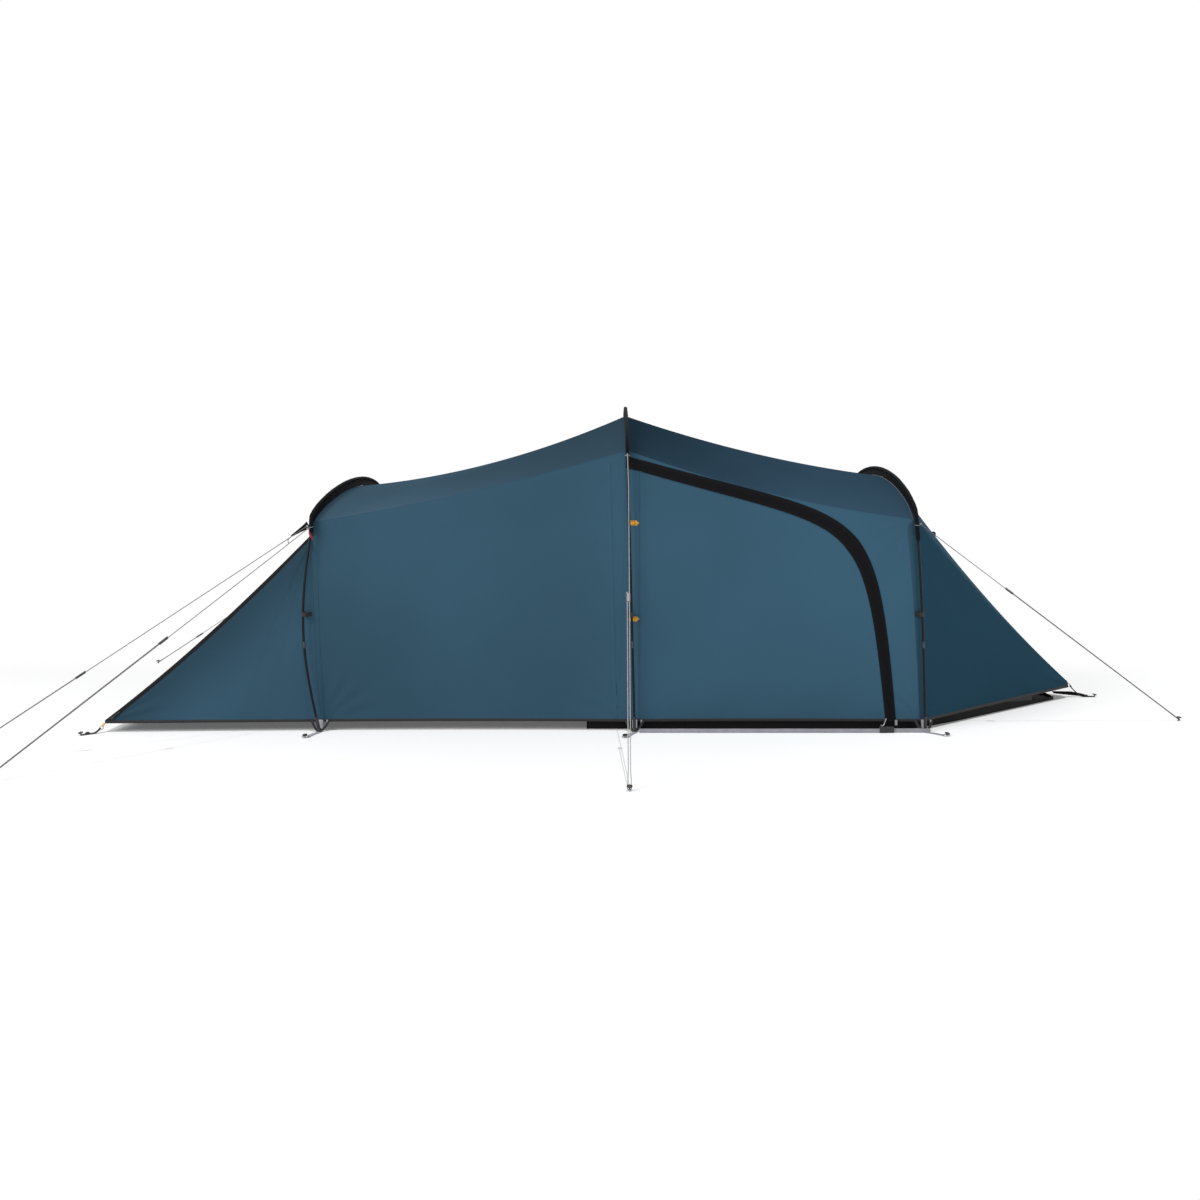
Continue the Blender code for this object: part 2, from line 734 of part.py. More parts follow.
def cone_row(side, u):
    """The cone's outer face across one half, at a share of the way to its pegged tip."""
    base = cone_base(side)
    tip = Vector((TIP_X, 0.0, TIP_Z))
    row = []
    for i, start in enumerate(base):
        share = math.sin(math.pi / 2 * (i + 0.5) / (len(base) - 0.5))
        inward = Vector((0.0, -start.y, 0.2 * RIGHT_RIDGE_Z - start.z)).normalized()
        point = (start + Vector((SEAM_GAP / 2, 0.0, 0.0))).lerp(tip, u)
        row.append(point + inward * (CONE_SAG * 4 * u * (1 - u) * share))
    row[-1].y = side * SEAM_GAP / 2
    return row


def cone(side):
    """Half of the cone that closes the right end, from the arch to the pegged tip."""
    rows = [cone_row(side, CONE_CUT_SHARE * k / CONE_STEPS) for k in range(CONE_STEPS + 1)]
    return sheet(f"cone_{side_word(side)}", rows, offset_inward(rows, FABRIC), blue_fabric())


def cone_height(x, y):
    """Height of the cone's outer face near its ridge."""
    row = cone_row(NEAR, (x - RIGHT_APEX_X) / (TIP_X - RIGHT_APEX_X))
    for a, b in zip(row, row[1:]):
        if a.y <= -abs(y) <= b.y:
            return mix(a.z, b.z, (-abs(y) - a.y) / (b.y - a.y))
    return row[-1].z


def slope_point(u):
    """(x, z) of the porch's slope edge, from the left arch's sleeve mouth to the pegged corner."""
    start = Vector((LEFT.x_at(LEFT_MOUTH_Z), LEFT_MOUTH_Z))
    point = start.lerp(Vector((CORNER_X, HEM_HEIGHT)), u)
    return point - Vector((0.0, SLOPE_SAG * 4 * u * (1 - u)))


def porch_y(u, z):
    """Half width of the porch at a share of its slope."""
    return mix(half_width(z, LEFT_SHOULDER_Z), CORNER_HALF_WIDTH, u)


def end_wall(side):
    """The triangular porch wall between the left arch, the slope edge and the ground."""
    rows = []
    for k in range(SLOPE_STEPS + 1):
        u = SLOPE_CUT_SHARE * k / SLOPE_STEPS
        top = slope_point(u)
        lean = 1 - u
        row = []
        for i in range(WALL_ROWS):
            z = mix(HEM_HEIGHT, top.y, i / (WALL_ROWS - 1))
            x = top.x + (LEFT.x_at(z) - LEFT.x_at(top.y)) * lean - SEAM_GAP / 2 * lean
            row.append(Vector((x, side * porch_y(u, z), z)))
        rows.append(row)
    return sheet(f"end_wall_{side_word(side)}", rows, offset_inward(rows, FABRIC), blue_fabric())


def end_gable():
    """The upright panel under the left arch, above the porch's door."""
    foot_x = LEFT.x_at(LEFT_MOUTH_Z)
    rows = []
    for top in arch_roof(LEFT):
        low = Vector((foot_x, top.y, LEFT_MOUTH_Z))
        rows.append([low.lerp(top, k / 2) for k in range(3)])
    back = Vector((-SEAM_GAP / 2, 0.0, 0.0))
    front = back - Vector((FABRIC, 0.0, 0.0))
    outer = [[p + front for p in row] for row in rows]
    inner = [[p + back for p in row] for row in rows]
    return sheet("end_gable", outer, inner, blue_fabric())


def slope_frame():
    """Unit vectors down the porch's slope and square to it, outwards."""
    down = (slope_point(1.0) - slope_point(0.0)).normalized()
    return Vector((down.x, 0.0, down.y)), Vector((down.y, 0.0, -down.x))


def end_door():
    """The sloping door of the porch, which zips to both walls and is hung from its top edge."""
    _, out = slope_frame()
    rows = []
    for k in range(SLOPE_STEPS + 1):
        u = SLOPE_CUT_SHARE * k / SLOPE_STEPS
        place_at = slope_point(u)
        half = porch_y(u, place_at.y) - FABRIC - SEAM_GAP
        start = Vector((place_at.x, 0.0, place_at.y))
        if k == 0:
            start += Vector((-SEAM_GAP, 0.0, -2 * SEAM_GAP))
        rows.append([start + Vector((0.0, mix(-half, half, j / 8), 0.0)) for j in range(9)])
    inner = [[p - out * FABRIC for p in row] for row in rows]
    return sheet("end_door", rows, inner, blue_fabric())


def extrude(name, outline, axis, origin, length, material, first):
    """A closed outline extruded along an axis from an origin; its first direction is squared to the axis."""
    along = Vector(axis).normalized()
    across = Vector(first)
    across = (across - along * across.dot(along)).normalized()
    above = along.cross(across)
    base = [Vector(origin) + across * u + above * v for u, v in outline]
    return loft(name, [base, [p + along * length for p in base]], material)


def bevelled(obj, width, segments=2):
    """Rounds the edges of a solid."""
    bevel = obj.modifiers.new("edges", "BEVEL")
    bevel.width = width
    bevel.segments = segments
    bevel.limit_method = "ANGLE"
    bevel.angle_limit = math.radians(40)
    return obj


def skin_y(arch, z):
    """Half width of the canopy's outer face behind a bare pole."""
    past = arch.bow_at(z) / (arch.x_at(z) - CORNER_X)
    return mix(half_width(z, arch.shoulder_z), CORNER_HALF_WIDTH, past)


def pole_clip(arch, side):
    """A hook that snaps round a pole, with the arm that reaches to the wall."""
    z = CLIP_LEVEL
    centre = pole_at(arch, side, z)
    lowest = pole_at(arch, side, z - CLIP_HEIGHT / 2)
    slant = (lowest - centre).length
    reach = abs(centre.y) - skin_y(arch, z) - 2 * SEAT_GAP
    bore = POLE_DIAMETER / 2 + BORE_GAP
    rim = bore + CLIP_LIP
    turns = [math.radians(d) for d in range(-60, 151, 30)]
    hook = [(-rim * math.cos(a), rim * math.sin(a)) for a in turns]
    hollow = [(-bore * math.cos(a), bore * math.sin(a)) for a in reversed(turns)]
    arm = [(reach, rim * 0.9), (reach, -rim * 0.2)]
    outline = hook + arm + hollow
    node = f"clip_{arch.name}_{side_word(side)}"
    axis = (centre - lowest).normalized()
    return extrude(node, outline, axis, lowest, 2 * slant, black_plastic(), (0, -side, 0))


TIE_LEVELS = {"upper": UPPER_TIE_Z, "lower": CLIP_LEVEL - (CLIP_HEIGHT + TIE_WIDTH) / 2 - 0.002}


def tie_back(level):
    """A webbing tab with a pointed end that holds the side door when it is rolled up."""
    z = TIE_LEVELS[level]
    end = DOOR_HINGE_X - SEAM_GAP / 2 - WEBBING_THICKNESS
    start, point = end - TIE_LENGTH, end - TIE_WIDTH / 2
    half = TIE_WIDTH / 2
    back, front = [], []
    for x, lift in [(start, -half), (point, -half), (end, 0.0), (point, half), (start, half)]:
        back.append(wall_at(NEAR, x, z + lift) - Vector((0.0, SEAT_GAP, 0.0)))
        front.append(back[-1] - Vector((0.0, WEBBING_THICKNESS, 0.0)))
    return loft(f"tie_back_{level}", [front, back], amber_webbing())


def ribbon(name, points, material):
    """A webbing strip along a smooth curve through a few points, flat side up."""
    path = [Vector((p.x, p.y, max(p.z, 0.0))) for p in smooth_path(points, 2)]
    frames = frames_along(path, (0, 0, 1))
    return sweep(name, frames, strip(WEBBING_WIDTH, WEBBING_THICKNESS), material)


def foot_strap(arch, side):
    """The webbing under a pole's foot, from the hem to its peg, with the cup that the pole stands in."""
    foot = pole_at(arch, side, POLE_FOOT_Z)
    cup_y = abs(foot.y)
    hem_y = half_width(HEM_HEIGHT, arch.shoulder_z) + SEAT_GAP + WEBBING_THICKNESS
    peg_x, peg_y = FOOT_PEGS[arch.name]
    path = [
        (foot.x, side * hem_y, HEM_HEIGHT + 0.7 * HEM_BAND),
        (foot.x, side * (hem_y + WEBBING_THICKNESS), HEM_HEIGHT / 2),
        (foot.x, side * mix(hem_y, cup_y, 0.4), 0.0),
        (foot.x, side * mix(cup_y, peg_y, 0.12), 0.0),
        (mix(foot.x, peg_x, 0.4), side * mix(cup_y, peg_y, 0.4), 0.0),
        (peg_x, side * peg_y, 0.0),
    ]
    frames = frames_along(path, lambda i: (0, 0, 1) if i > 1 else (0, side, 0.2))
    node = f"foot_strap_{arch.name}_{side_word(side)}"
    strap = sweep(node, frames, strip(WEBBING_WIDTH, WEBBING_THICKNESS), grey_webbing())
    above = pole_at(arch, side, foot.z + CUP_HEIGHT)
    fuse(strap, cup_ring(f"{node}_cup", foot, above - foot))
    return strap


def cup_ring(name, foot, axis):
    """A short tube round a pole's foot, with its lower edge sunk in the webbing."""
    axis = axis.normalized()
    first = axis.orthogonal().normalized()
    second = axis.cross(first)
    count = 12
    bore = round_bore(CAP_DIAMETER / 2, count)
    rim = bore + CUP_WALL
    low = WEBBING_THICKNESS / 2 - foot.z
    profile = [(bore, low), (rim, low), (rim, CUP_HEIGHT), (bore, CUP_HEIGHT)]
    points = []
    for across, over in circle(1.0, count):
        ray = first * across + second * over
        points += [foot + ray * r + axis * h for r, h in profile]
    faces = []
    for i in range(count):
        here, there = 4 * i, 4 * ((i + 1) % count)
        faces += [(here + k, there + k, there + (k + 1) % 4, here + (k + 1) % 4) for k in range(4)]
    return solid(name, points, faces, black_plastic())


@dataclass(frozen=True)
class Guy:
    """One guy line: its arch and side, its start's height, its peg, and the tensioner's share of it."""

    arch: Arch
    side: int
    start_z: float
    peg: tuple
    tensioner_share: float

    def ends(self):
        """Start on the sleeve and end in the peg's loop."""
        pole_axis = pole_at(self.arch, self.side, self.start_z)
        last = Vector((*self.peg, GROUND_LOOP_Z))
        along = (last - pole_axis).normalized()
        level = Vector((along.x, along.y, 0.0))
        _, rim = sleeve_sizes()
        out = rim + GUY_DIAMETER / 2 * abs(along.z) + SEAT_GAP
        return pole_axis + level.normalized() * out, last

    def frame(self):
        """Start, unit direction, sideways unit vector and length."""
        first, last = self.ends()
        along = (last - first).normalized()
        return first, along, along.cross(Vector((0, 0, 1))).normalized(), (last - first).length

    def tensioner_place(self):
        first, along, _, length = self.frame()
        return first + along * (self.tensioner_share * length)


GUYS = {
    "left_front_near": Guy(LEFT, NEAR, LEFT_SHOULDER_Z - 0.010, (-2.290, -1.510), 0.65),
    "left_side_near": Guy(LEFT, NEAR, LEFT_SHOULDER_Z - 0.020, (-2.050, -1.730), 0.49),
    "centre_near": Guy(CENTRE, NEAR, CENTRE_SHOULDER_Z - 0.012, (0.0, -1.830), 0.48),
    "right_near": Guy(RIGHT, NEAR, RIGHT_SHOULDER_Z - 0.014, (2.210, -0.600), 0.336),
    "left_front_far": Guy(LEFT, FAR, LEFT_SHOULDER_Z - 0.010, (-2.450, 1.110), 0.81),
    "left_side_far": Guy(LEFT, FAR, LEFT_SHOULDER_Z - 0.020, (-2.050, 1.730), 0.49),
    "centre_far": Guy(CENTRE, FAR, CENTRE_SHOULDER_Z - 0.012, (0.0, 1.830), 0.48),
    "right_far": Guy(RIGHT, FAR, RIGHT_SHOULDER_Z - 0.014, (2.000, 1.500), 0.40),
}


def guy(name):
    """A guy line: one strand to the tensioner, on to the peg, round it and back into the tensioner."""
    first, along, aside, length = GUYS[name].frame()
    half = STRAND_SPACING / 2
    reached = GUYS[name].tensioner_share * length

    def at(distance, shift):
        return first + along * distance + aside * shift

    spread = length - GUY_SPREAD
    neck, middle = length - GUY_LOOP - GUY_SPREAD / 2, (half + GUY_LOOP) / 2
    line = [at(0.0, 0.0)] + [at(reached * k / 4, -half) for k in range(1, 5)]
    line += [at(mix(reached, spread, k / 3), -half) for k in range(1, 4)] + [at(neck, -middle)]
    for k in range(9):
        turn = math.pi * k / 8
        line.append(at(length - GUY_LOOP + GUY_LOOP * math.sin(turn), -GUY_LOOP * math.cos(turn)))
    line += [at(neck, middle)] + [at(mix(spread, reached, k / 3), half) for k in range(4)]
    curve = bpy.data.curves.new(f"guy_{name}", "CURVE")
    curve.dimensions = "3D"
    curve.bevel_depth = GUY_DIAMETER / 2
    curve.bevel_resolution = 2
    curve.use_fill_caps = True
    spline = curve.splines.new("POLY")
    spline.points.add(len(line) - 1)
    for spot, p in zip(spline.points, line):
        spot.co = (*p, 1.0)
    obj = bpy.data.objects.new(f"guy_{name}", curve)
    bpy.context.scene.collection.objects.link(obj)
    curve.materials.append(cord_fibre())
    return obj


def tensioner(name):
    """The sliding tensioner of a guy: a rounded bar with a bore for each strand."""
    _, along, aside, _ = GUYS[name].frame()
    centre = GUYS[name].tensioner_place()
    round_off = TENSIONER_THICKNESS / 2
    flat = TENSIONER_WIDTH / 2 - round_off
    outline = []
    for sign in (1, -1):
        for turn in (math.radians(d) for d in range(-90, 91, 45)):
            outline.append((sign * (flat + round_off * math.cos(turn)), sign * round_off * math.sin(turn)))
    length = TENSIONER_LENGTH
    low = centre - along * length / 2
    body = extrude(f"tensioner_{name}", outline, along, low, length, black_plastic(), aside)
    hole = circle(round_bore(GUY_DIAMETER / 2, 8), 8)
    for k, sign in enumerate((-1, 1)):
        origin = centre + aside * (sign * STRAND_SPACING / 2) - along * length
        cut_by(body, extrude(f"bore_{k}_{name}", hole, along, origin, 2 * length, black_plastic(), aside))
    return body


def slide_frame(side):
    """Where a zip slider rests, and unit vectors along its travel up the slope and out of the wall."""
    edge = slope_frame()[1] * SLIDER_DROP
    last = SLIDER_SHARE - SLIDER_TRAVEL / (slope_point(1.0) - slope_point(0.0)).length
    places = []
    for share, clearance in ((SLIDER_SHARE, 2 * SEAT_GAP), (last, 2 * SEAT_GAP + SLIDER_DRIFT)):
        spot = slope_point(share)
        y = porch_y(share, spot.y) + clearance
        places.append(Vector((spot.x, side * y, spot.y)) - edge)
    up = (places[1] - places[0]).normalized()
    out = Vector((0.0, side, 0.0))
    return places[0], up, (out - up * up.dot(out)).normalized()


def zip_slider(side):
    """The slider of the porch's zip with its pull, flat on the wall beside the slope, near the corner."""
    centre, up, out = slide_frame(side)
    head, tail = SLIDER_LENGTH / 2, SLIDER_LENGTH / 2 + SLIDER_PULL
    half = SLIDER_WIDTH / 2
    outline = [(-head, -half), (head, -half * 0.7), (head, -half * 0.4), (tail, -half * 0.5)]
    outline += [(tail, half * 0.5), (head, half * 0.4), (head, half * 0.7), (-head, half)]
    node = f"zip_slider_{side_word(side)}"
    return extrude(node, outline, out, centre, SLIDER_THICKNESS, black_plastic(), up)


def corner_strap(side):
    """The amber loop that ties a porch corner to its peg."""
    start = slope_point(SLOPE_CUT_SHARE).x - SEAT_GAP - WEBBING_THICKNESS / 2
    out = porch_y(SLOPE_CUT_SHARE, HEM_HEIGHT)
    run = LOOP_REACH / math.sqrt(2)
    points = [
        (start, side * out, HEM_HEIGHT),
        (start - 0.15 * run, side * (out + 0.15 * run), HEM_HEIGHT / 2),
        (start - 0.45 * run, side * (out + 0.45 * run), 0.0),
        (start - run, side * (out + run), 0.0),
    ]
    return ribbon(f"corner_strap_{side_word(side)}", points, amber_webbing())


def tip_strap():
    """The amber loop that ties the cone's tip to its peg."""
    ridge = cone_row(NEAR, CONE_CUT_SHARE)[-1]
    start = ridge.x + SEAT_GAP
    points = [
        (start, 0.0, ridge.z - FABRIC / 2),
        (start + 0.3 * LOOP_REACH, 0.0, ridge.z / 2),
        (start + 0.8 * LOOP_REACH, 0.0, 0.0),
        (start + 1.4 * LOOP_REACH, 0.0, 0.0),
    ]
    return ribbon("tip_strap", points, amber_webbing())


def block(name, low, high, material):
    """A rectangular solid between two corners."""
    (x0, y0, z0), (x1, y1, z1) = low, high
    return loft(name, [[(x, y0, z0), (x, y1, z0), (x, y1, z1), (x, y0, z1)] for x in (x0, x1)], material)


def cut_by(target, cutter):
    cutter.hide_render = True
    cutter.display_type = "WIRE"
    cut = target.modifiers.new(cutter.name, "BOOLEAN")
    cut.operation = "DIFFERENCE"
    cut.solver = "EXACT"
    cut.object = cutter


def buckle_depths():
    """Y of the buckle's front and back and of its tongue's middle; the strap runs in front of the tongue."""
    channel = WEBBING_THICKNESS / 2 + BORE_GAP
    tongue = GROUND_STRAP_Y + channel + BUCKLE_SHELL + TONGUE_THICKNESS / 2
    return GROUND_STRAP_Y - channel - BUCKLE_SHELL, tongue + TONGUE_THICKNESS / 2 + BUCKLE_SHELL, tongue


def buckle_box(name, x0, x1, grow=0.0):
    """A block along the buckle's tongue, as wide and thick as the tongue and grown on each side."""
    _, _, y = buckle_depths()
    z = GROUND_STRAP_Z + BUCKLE_HEIGHT / 2
    half_y, half_z = TONGUE_THICKNESS / 2 + grow, TONGUE_WIDTH / 2 + grow
    return block(name, (x0, y - half_y, z - half_z), (x1, y + half_y, z + half_z), black_plastic())


def buckle_body(name, x0, x1):
    front, back, _ = buckle_depths()
    top = GROUND_STRAP_Z + BUCKLE_HEIGHT
    body = block(name, (x0, front, GROUND_STRAP_Z), (x1, back, top), black_plastic())
    return bevelled(body, 0.8 * BUCKLE_SHELL)


def buckle_socket(carrier):
    """The socket of the ground strap's buckle and its short strap, part of the right foot's webbing."""
    body = buckle_body("buckle_socket", BUCKLE_X, BUCKLE_X + SOCKET_LENGTH)
    deep = BUCKLE_X + TONGUE_LENGTH + BORE_GAP
    cut_by(body, buckle_box("buckle_socket_hollow", BUCKLE_X - BUCKLE_SHELL, deep, BORE_GAP))
    _, _, y = buckle_depths()
    half = WEBBING_THICKNESS / 2
    low = (BUCKLE_X + SOCKET_LENGTH - BUCKLE_SHELL, y - half, GROUND_STRAP_Z)
    high = (RIGHT_FOOT_X + 0.8 * WEBBING_WIDTH, y + half, GROUND_STRAP_Z + GROUND_STRAP_WIDTH)
    fuse(body, block("buckle_socket_web", low, high, grey_webbing()))
    fuse(carrier, body)


def buckle_plug():
    """The plug of the buckle: a frame that slides along the ground strap, and its tongue."""
    end = BUCKLE_X - SEAT_GAP
    body = buckle_body("buckle_plug", end - PLUG_LENGTH, end)
    half = WEBBING_THICKNESS / 2 + BORE_GAP
    low = (end - PLUG_LENGTH - BUCKLE_SHELL, GROUND_STRAP_Y - half, GROUND_STRAP_Z - BORE_GAP)
    high = (end + BUCKLE_SHELL, GROUND_STRAP_Y + half, GROUND_STRAP_Z + GROUND_STRAP_WIDTH + BORE_GAP)
    cut_by(body, block("buckle_plug_channel", low, high, black_plastic()))
    fuse(body, buckle_box("buckle_plug_tongue", end - BUCKLE_SHELL, BUCKLE_X + TONGUE_LENGTH))
    return body


def ground_strap():
    """The strap along the ground under the side door, from the centre foot into the buckle's plug."""
    start = CENTRE_FOOT_X + CAP_DIAMETER + 2 * WEBBING_THICKNESS
    end = BUCKLE_X - PLUG_LENGTH / 3
    low, high = GROUND_STRAP_Z, GROUND_STRAP_Z + GROUND_STRAP_WIDTH
    front, back = GROUND_STRAP_Y - WEBBING_THICKNESS / 2, GROUND_STRAP_Y + WEBBING_THICKNESS / 2
    rings = []
    for k in range(9):
        x = mix(start, end, k / 8)
        lean = GROUND_STRAP_LEAN * math.sin(math.pi * k / 8)
        bottom = [(x, front - lean, low), (x, back - lean, low)]
        rings.append(bottom + [(x, back + lean, high), (x, front + lean, high)])
    return loft("ground_strap", rings, grey_webbing())


def vent_hood():
    """The small hood over the vent in the cone's ridge: a curved shell, open at its lower end."""
    rows = []
    for k in range(5):
        x = HOOD_X + HOOD_LENGTH * k / 4
        row = []
        for j in range(9):
            share = j / 4 - 1
            y = HOOD_HALF_WIDTH * share
            lift = HOOD_RISE * (k / 4) * (1 - share**2) + 2 * SEAM_GAP
            row.append(Vector((x, y, cone_height(x, y) + lift)))
        rows.append(row)
    outer = [[p + Vector((0.0, 0.0, FABRIC)) for p in row] for row in rows]
    return sheet("vent_hood", outer, rows, black_fabric())


def floor_outline(inset):
    """Corners of the inner tent's floor, seen from above."""
    wide = HALF_WIDTH - inset
    taper = HALF_WIDTH / (TIP_X - RIGHT_FOOT_X)
    places = [mix(FLOOR_FRONT_X, RIGHT_SHOULDER_X, k / 3) for k in range(3)]
    places += [mix(RIGHT_SHOULDER_X, FLOOR_REAR_X, k / 4) for k in range(5)]
    near = [(x, min(wide, (TIP_X - x) * taper - inset)) for x in places]
    return [(x, -y) for x, y in near] + [(x, y) for x, y in reversed(near)]


def inner_floor():
    """The tub floor of the inner tent: a groundsheet with upstanding edges, open above."""
    inside = TUB_THICKNESS
    low = [(FLOOR_INSET, 0.0), (FLOOR_INSET + TUB_LEAN, TUB_HEIGHT)]
    high = [(FLOOR_INSET + TUB_LEAN + inside, TUB_HEIGHT), (FLOOR_INSET + inside, inside)]
    outer = [[Vector((x, y, z)) for x, y in floor_outline(inset)] for inset, z in low]
    inner = []
    for inset, z in high:
        ring = [Vector((x, y, z)) for x, y in floor_outline(inset)]
        half = len(ring) // 2
        for k in (0, -1):
            ring[k].x += inside
        for k in (half - 1, half):
            ring[k].x -= inside
        inner.append(ring)
    rings = outer + inner
    count = len(rings[0])
    points = [p for ring in rings for p in ring]
    faces = [list(range(count)), [3 * count + i for i in range(count)]]
    for r in range(3):
        for i in range(count):
            j = (i + 1) % count
            faces.append([r * count + i, r * count + j, (r + 1) * count + j, (r + 1) * count + i])
    return solid("inner_floor", points, faces, black_fabric())


def rim_width(x):
    """Half width of the tub's rim at a place along the tent."""
    rim = [p for p in floor_outline(FLOOR_INSET + TUB_LEAN) if p[1] > 0]
    rim.sort()
    for a, b in zip(rim, rim[1:]):
        if a[0] <= x <= b[0]:
            return mix(a[1], b[1], (x - a[0]) / (b[0] - a[0]))
    return rim[-1][1]


def inner_section(x):
    """Half outline of the inner tent at a place, from the tub's rim to the ridge: (y, z) points."""
    span = span_of(x)
    shoulder, ridge = span.heights(min(max(span.seam_share(x), 0.0), 1.0))
    width = HALF_WIDTH
    if x > RIGHT_APEX_X:
        u = (x - RIGHT_APEX_X) / (TIP_X - RIGHT_APEX_X)
        shoulder = mix(RIGHT_SHOULDER_Z, TIP_Z, u)
        ridge = mix(RIGHT_RIDGE_Z, TIP_Z, u) - CONE_SAG * 4 * u * (1 - u)
        width = HALF_WIDTH * (1 - u)
    low = TUB_HEIGHT + SEAT_GAP
    shoulder = max(shoulder - 1.3 * INNER_INSET, 1.2 * low)
    ridge = max(ridge - 1.6 * INNER_INSET, 1.2 * shoulder)
    rim = rim_width(x)
    reach = min(rim, max(width - INNER_INSET, INNER_INSET / 2))
    side = [(mix(rim, reach, k / 3), mix(low, shoulder, k / 3)) for k in range(3)]
    crown = []
    for k in range(6):
        angle = math.pi / 2 * (1 - k / 5)
        crown.append((reach * math.sin(angle), shoulder + (ridge - shoulder) * roof_lift(angle)))
    return side + crown


def hanger(name, x):
    """A tab on the inner tent's ridge that reaches up to the roof, where it is buttoned."""
    span = span_of(x)
    _, ridge = span.heights((x - span.start.apex_x) / (span.end.apex_x - span.start.apex_x))
    low = inner_section(x)[-1][1] - TUB_THICKNESS / 2
    half = HANGER_WIDTH / 2
    top = ridge - FABRIC - 3 * SEAT_GAP
    return block(name, (x - TUB_THICKNESS / 2, -half, low), (x + TUB_THICKNESS / 2, half, top), black_fabric())


def inner_canopy():
    """The inner tent above its tub: a tunnel that tapers to the rear, with a doorway in its front wall."""
    places = [mix(FLOOR_FRONT_X, RIGHT_APEX_X, k / 4) for k in range(5)]
    places += [mix(RIGHT_APEX_X, CANOPY_REAR_X, k / 4) for k in range(1, 5)]
    outer = []
    for x in places:
        half = inner_section(x)
        near = [Vector((x, -y, z)) for y, z in half]
        outer.append(near + [Vector((x, y, z)) for y, z in reversed(half[:-1])])
    shell = offset_inward(outer, TUB_THICKNESS)
    for row, inside in zip(outer, shell):
        inside[0].z = row[0].z
        inside[-1].z = row[-1].z
    canopy = sheet("inner_canopy", outer, shell, black_fabric(), twisted=True)
    half = inner_section(FLOOR_FRONT_X)
    edge = half + [(-y, z) for y, z in reversed(half[:-1])]
    front = [[Vector((FLOOR_FRONT_X + d, y, z)) for y, z in edge] for d in (-SEAM_GAP / 4, TUB_THICKNESS)]
    wall_panel = loft("inner_canopy_front", front, black_fabric())
    sill, wide = TUB_HEIGHT + INNER_SILL, INNER_DOOR_WIDTH / 2
    arc = [math.pi * k / 10 for k in range(11)]
    door = [(wide, sill)]
    door += [(wide * math.cos(a), sill + INNER_DOOR_HEIGHT * (0.45 + 0.55 * math.sin(a))) for a in arc]
    door += [(-wide, sill)]
    hole = [[Vector((FLOOR_FRONT_X + d, y, z)) for y, z in door] for d in (-INNER_SILL, INNER_SILL)]
    cut_by(wall_panel, loft("inner_canopy_doorway", hole, black_fabric()))
    fuse(canopy, wall_panel)
    for k in (1, 3):
        fuse(canopy, hanger(f"inner_hanger_{k}", places[k]))
    return canopy


def hang(obj, name, point):
    """Puts a moving object under a new empty on its joint's axis."""
    anchor = bpy.data.objects.new(name, None)
    anchor.location = point
    bpy.context.scene.collection.objects.link(anchor)
    hang_with(obj, anchor)
    return anchor


def hang_with(obj, anchor):
    """Puts one more object under an empty that stands on a joint's axis."""
    obj.parent = anchor
    obj.matrix_parent_inverse = Matrix.Translation(-anchor.location)


def build_frame_and_fly():
    """Poles, sleeves and the panels of the outer tent."""
    gap = SEAM_GAP / 2
    for arch in (LEFT, CENTRE, RIGHT):
        pole(arch)
        sleeve(arch)
    wall("wall_near_left", NEAR, lambda rise: LEFT.leg_x(rise) + gap, lambda rise: DOOR_HINGE_X - gap)
    wall("wall_far_left", FAR, lambda rise: LEFT.leg_x(rise) + gap, lambda rise: CENTRE.leg_x(rise) - gap)
    wall("wall_far_right", FAR, lambda rise: CENTRE.leg_x(rise) + gap, lambda rise: RIGHT.leg_x(rise) - gap)
    roof("roof_left", LEFT_SPAN)
    roof("roof_right", RIGHT_SPAN)
    door_frame()
    end_gable()
    vent_hood()
    for side in (NEAR, FAR):
        end_wall(side)
        cone(side)


def build_webbing():
    """Clips, foot straps, corner and tip straps, tie-backs and the strap along the ground."""
    for arch in (LEFT, CENTRE, RIGHT):
        for side in (NEAR, FAR):
            pole_clip(arch, side)
            strap = foot_strap(arch, side)
            if arch is RIGHT and side == NEAR:
                buckle_socket(strap)
    for side in (NEAR, FAR):
        corner_strap(side)
    tip_strap()
    ground_strap()
    for level in TIE_LEVELS:
        tie_back(level)


def build_moving_pieces():
    """The doors, zip sliders, buckle plug and tensioners, each hung on its joint's axis."""
    hinge = Vector((DOOR_HINGE_X, -HALF_WIDTH - LEG_BULGE - 0.004, HEM_HEIGHT))
    swing = hang(side_door(), "side_door_hinge", hinge)
    hang_with(zip_flap(), swing)
    top = slope_point(0.0)
    hang(end_door(), "end_door_hinge", Vector((top.x - SEAM_GAP, 0.0, top.y - 2 * SEAM_GAP)))
    for side in (NEAR, FAR):
        hang(zip_slider(side), f"zip_slide_{side_word(side)}", slide_frame(side)[0])
    plug = Vector((BUCKLE_X, buckle_depths()[2], GROUND_STRAP_Z + BUCKLE_HEIGHT / 2))
    hang(buckle_plug(), "buckle_slide", plug)
    for name in GUYS:
        hang(tensioner(name), f"guy_slide_{name}", GUYS[name].tensioner_place())


def main():
    clear_scene()
    build_frame_and_fly()
    build_webbing()
    build_moving_pieces()
    inner_floor()
    inner_canopy()
    for name in GUYS:
        guy(name)


main()
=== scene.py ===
"""Looks of a three-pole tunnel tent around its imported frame, in metres.

X runs along the ridge, the side door faces -Y and the ground is z = 0.
"""
import logging
import math
from dataclasses import dataclass
from enum import Enum
from typing import Any, Callable, Dict, List, Optional, Sequence, Tuple, Union

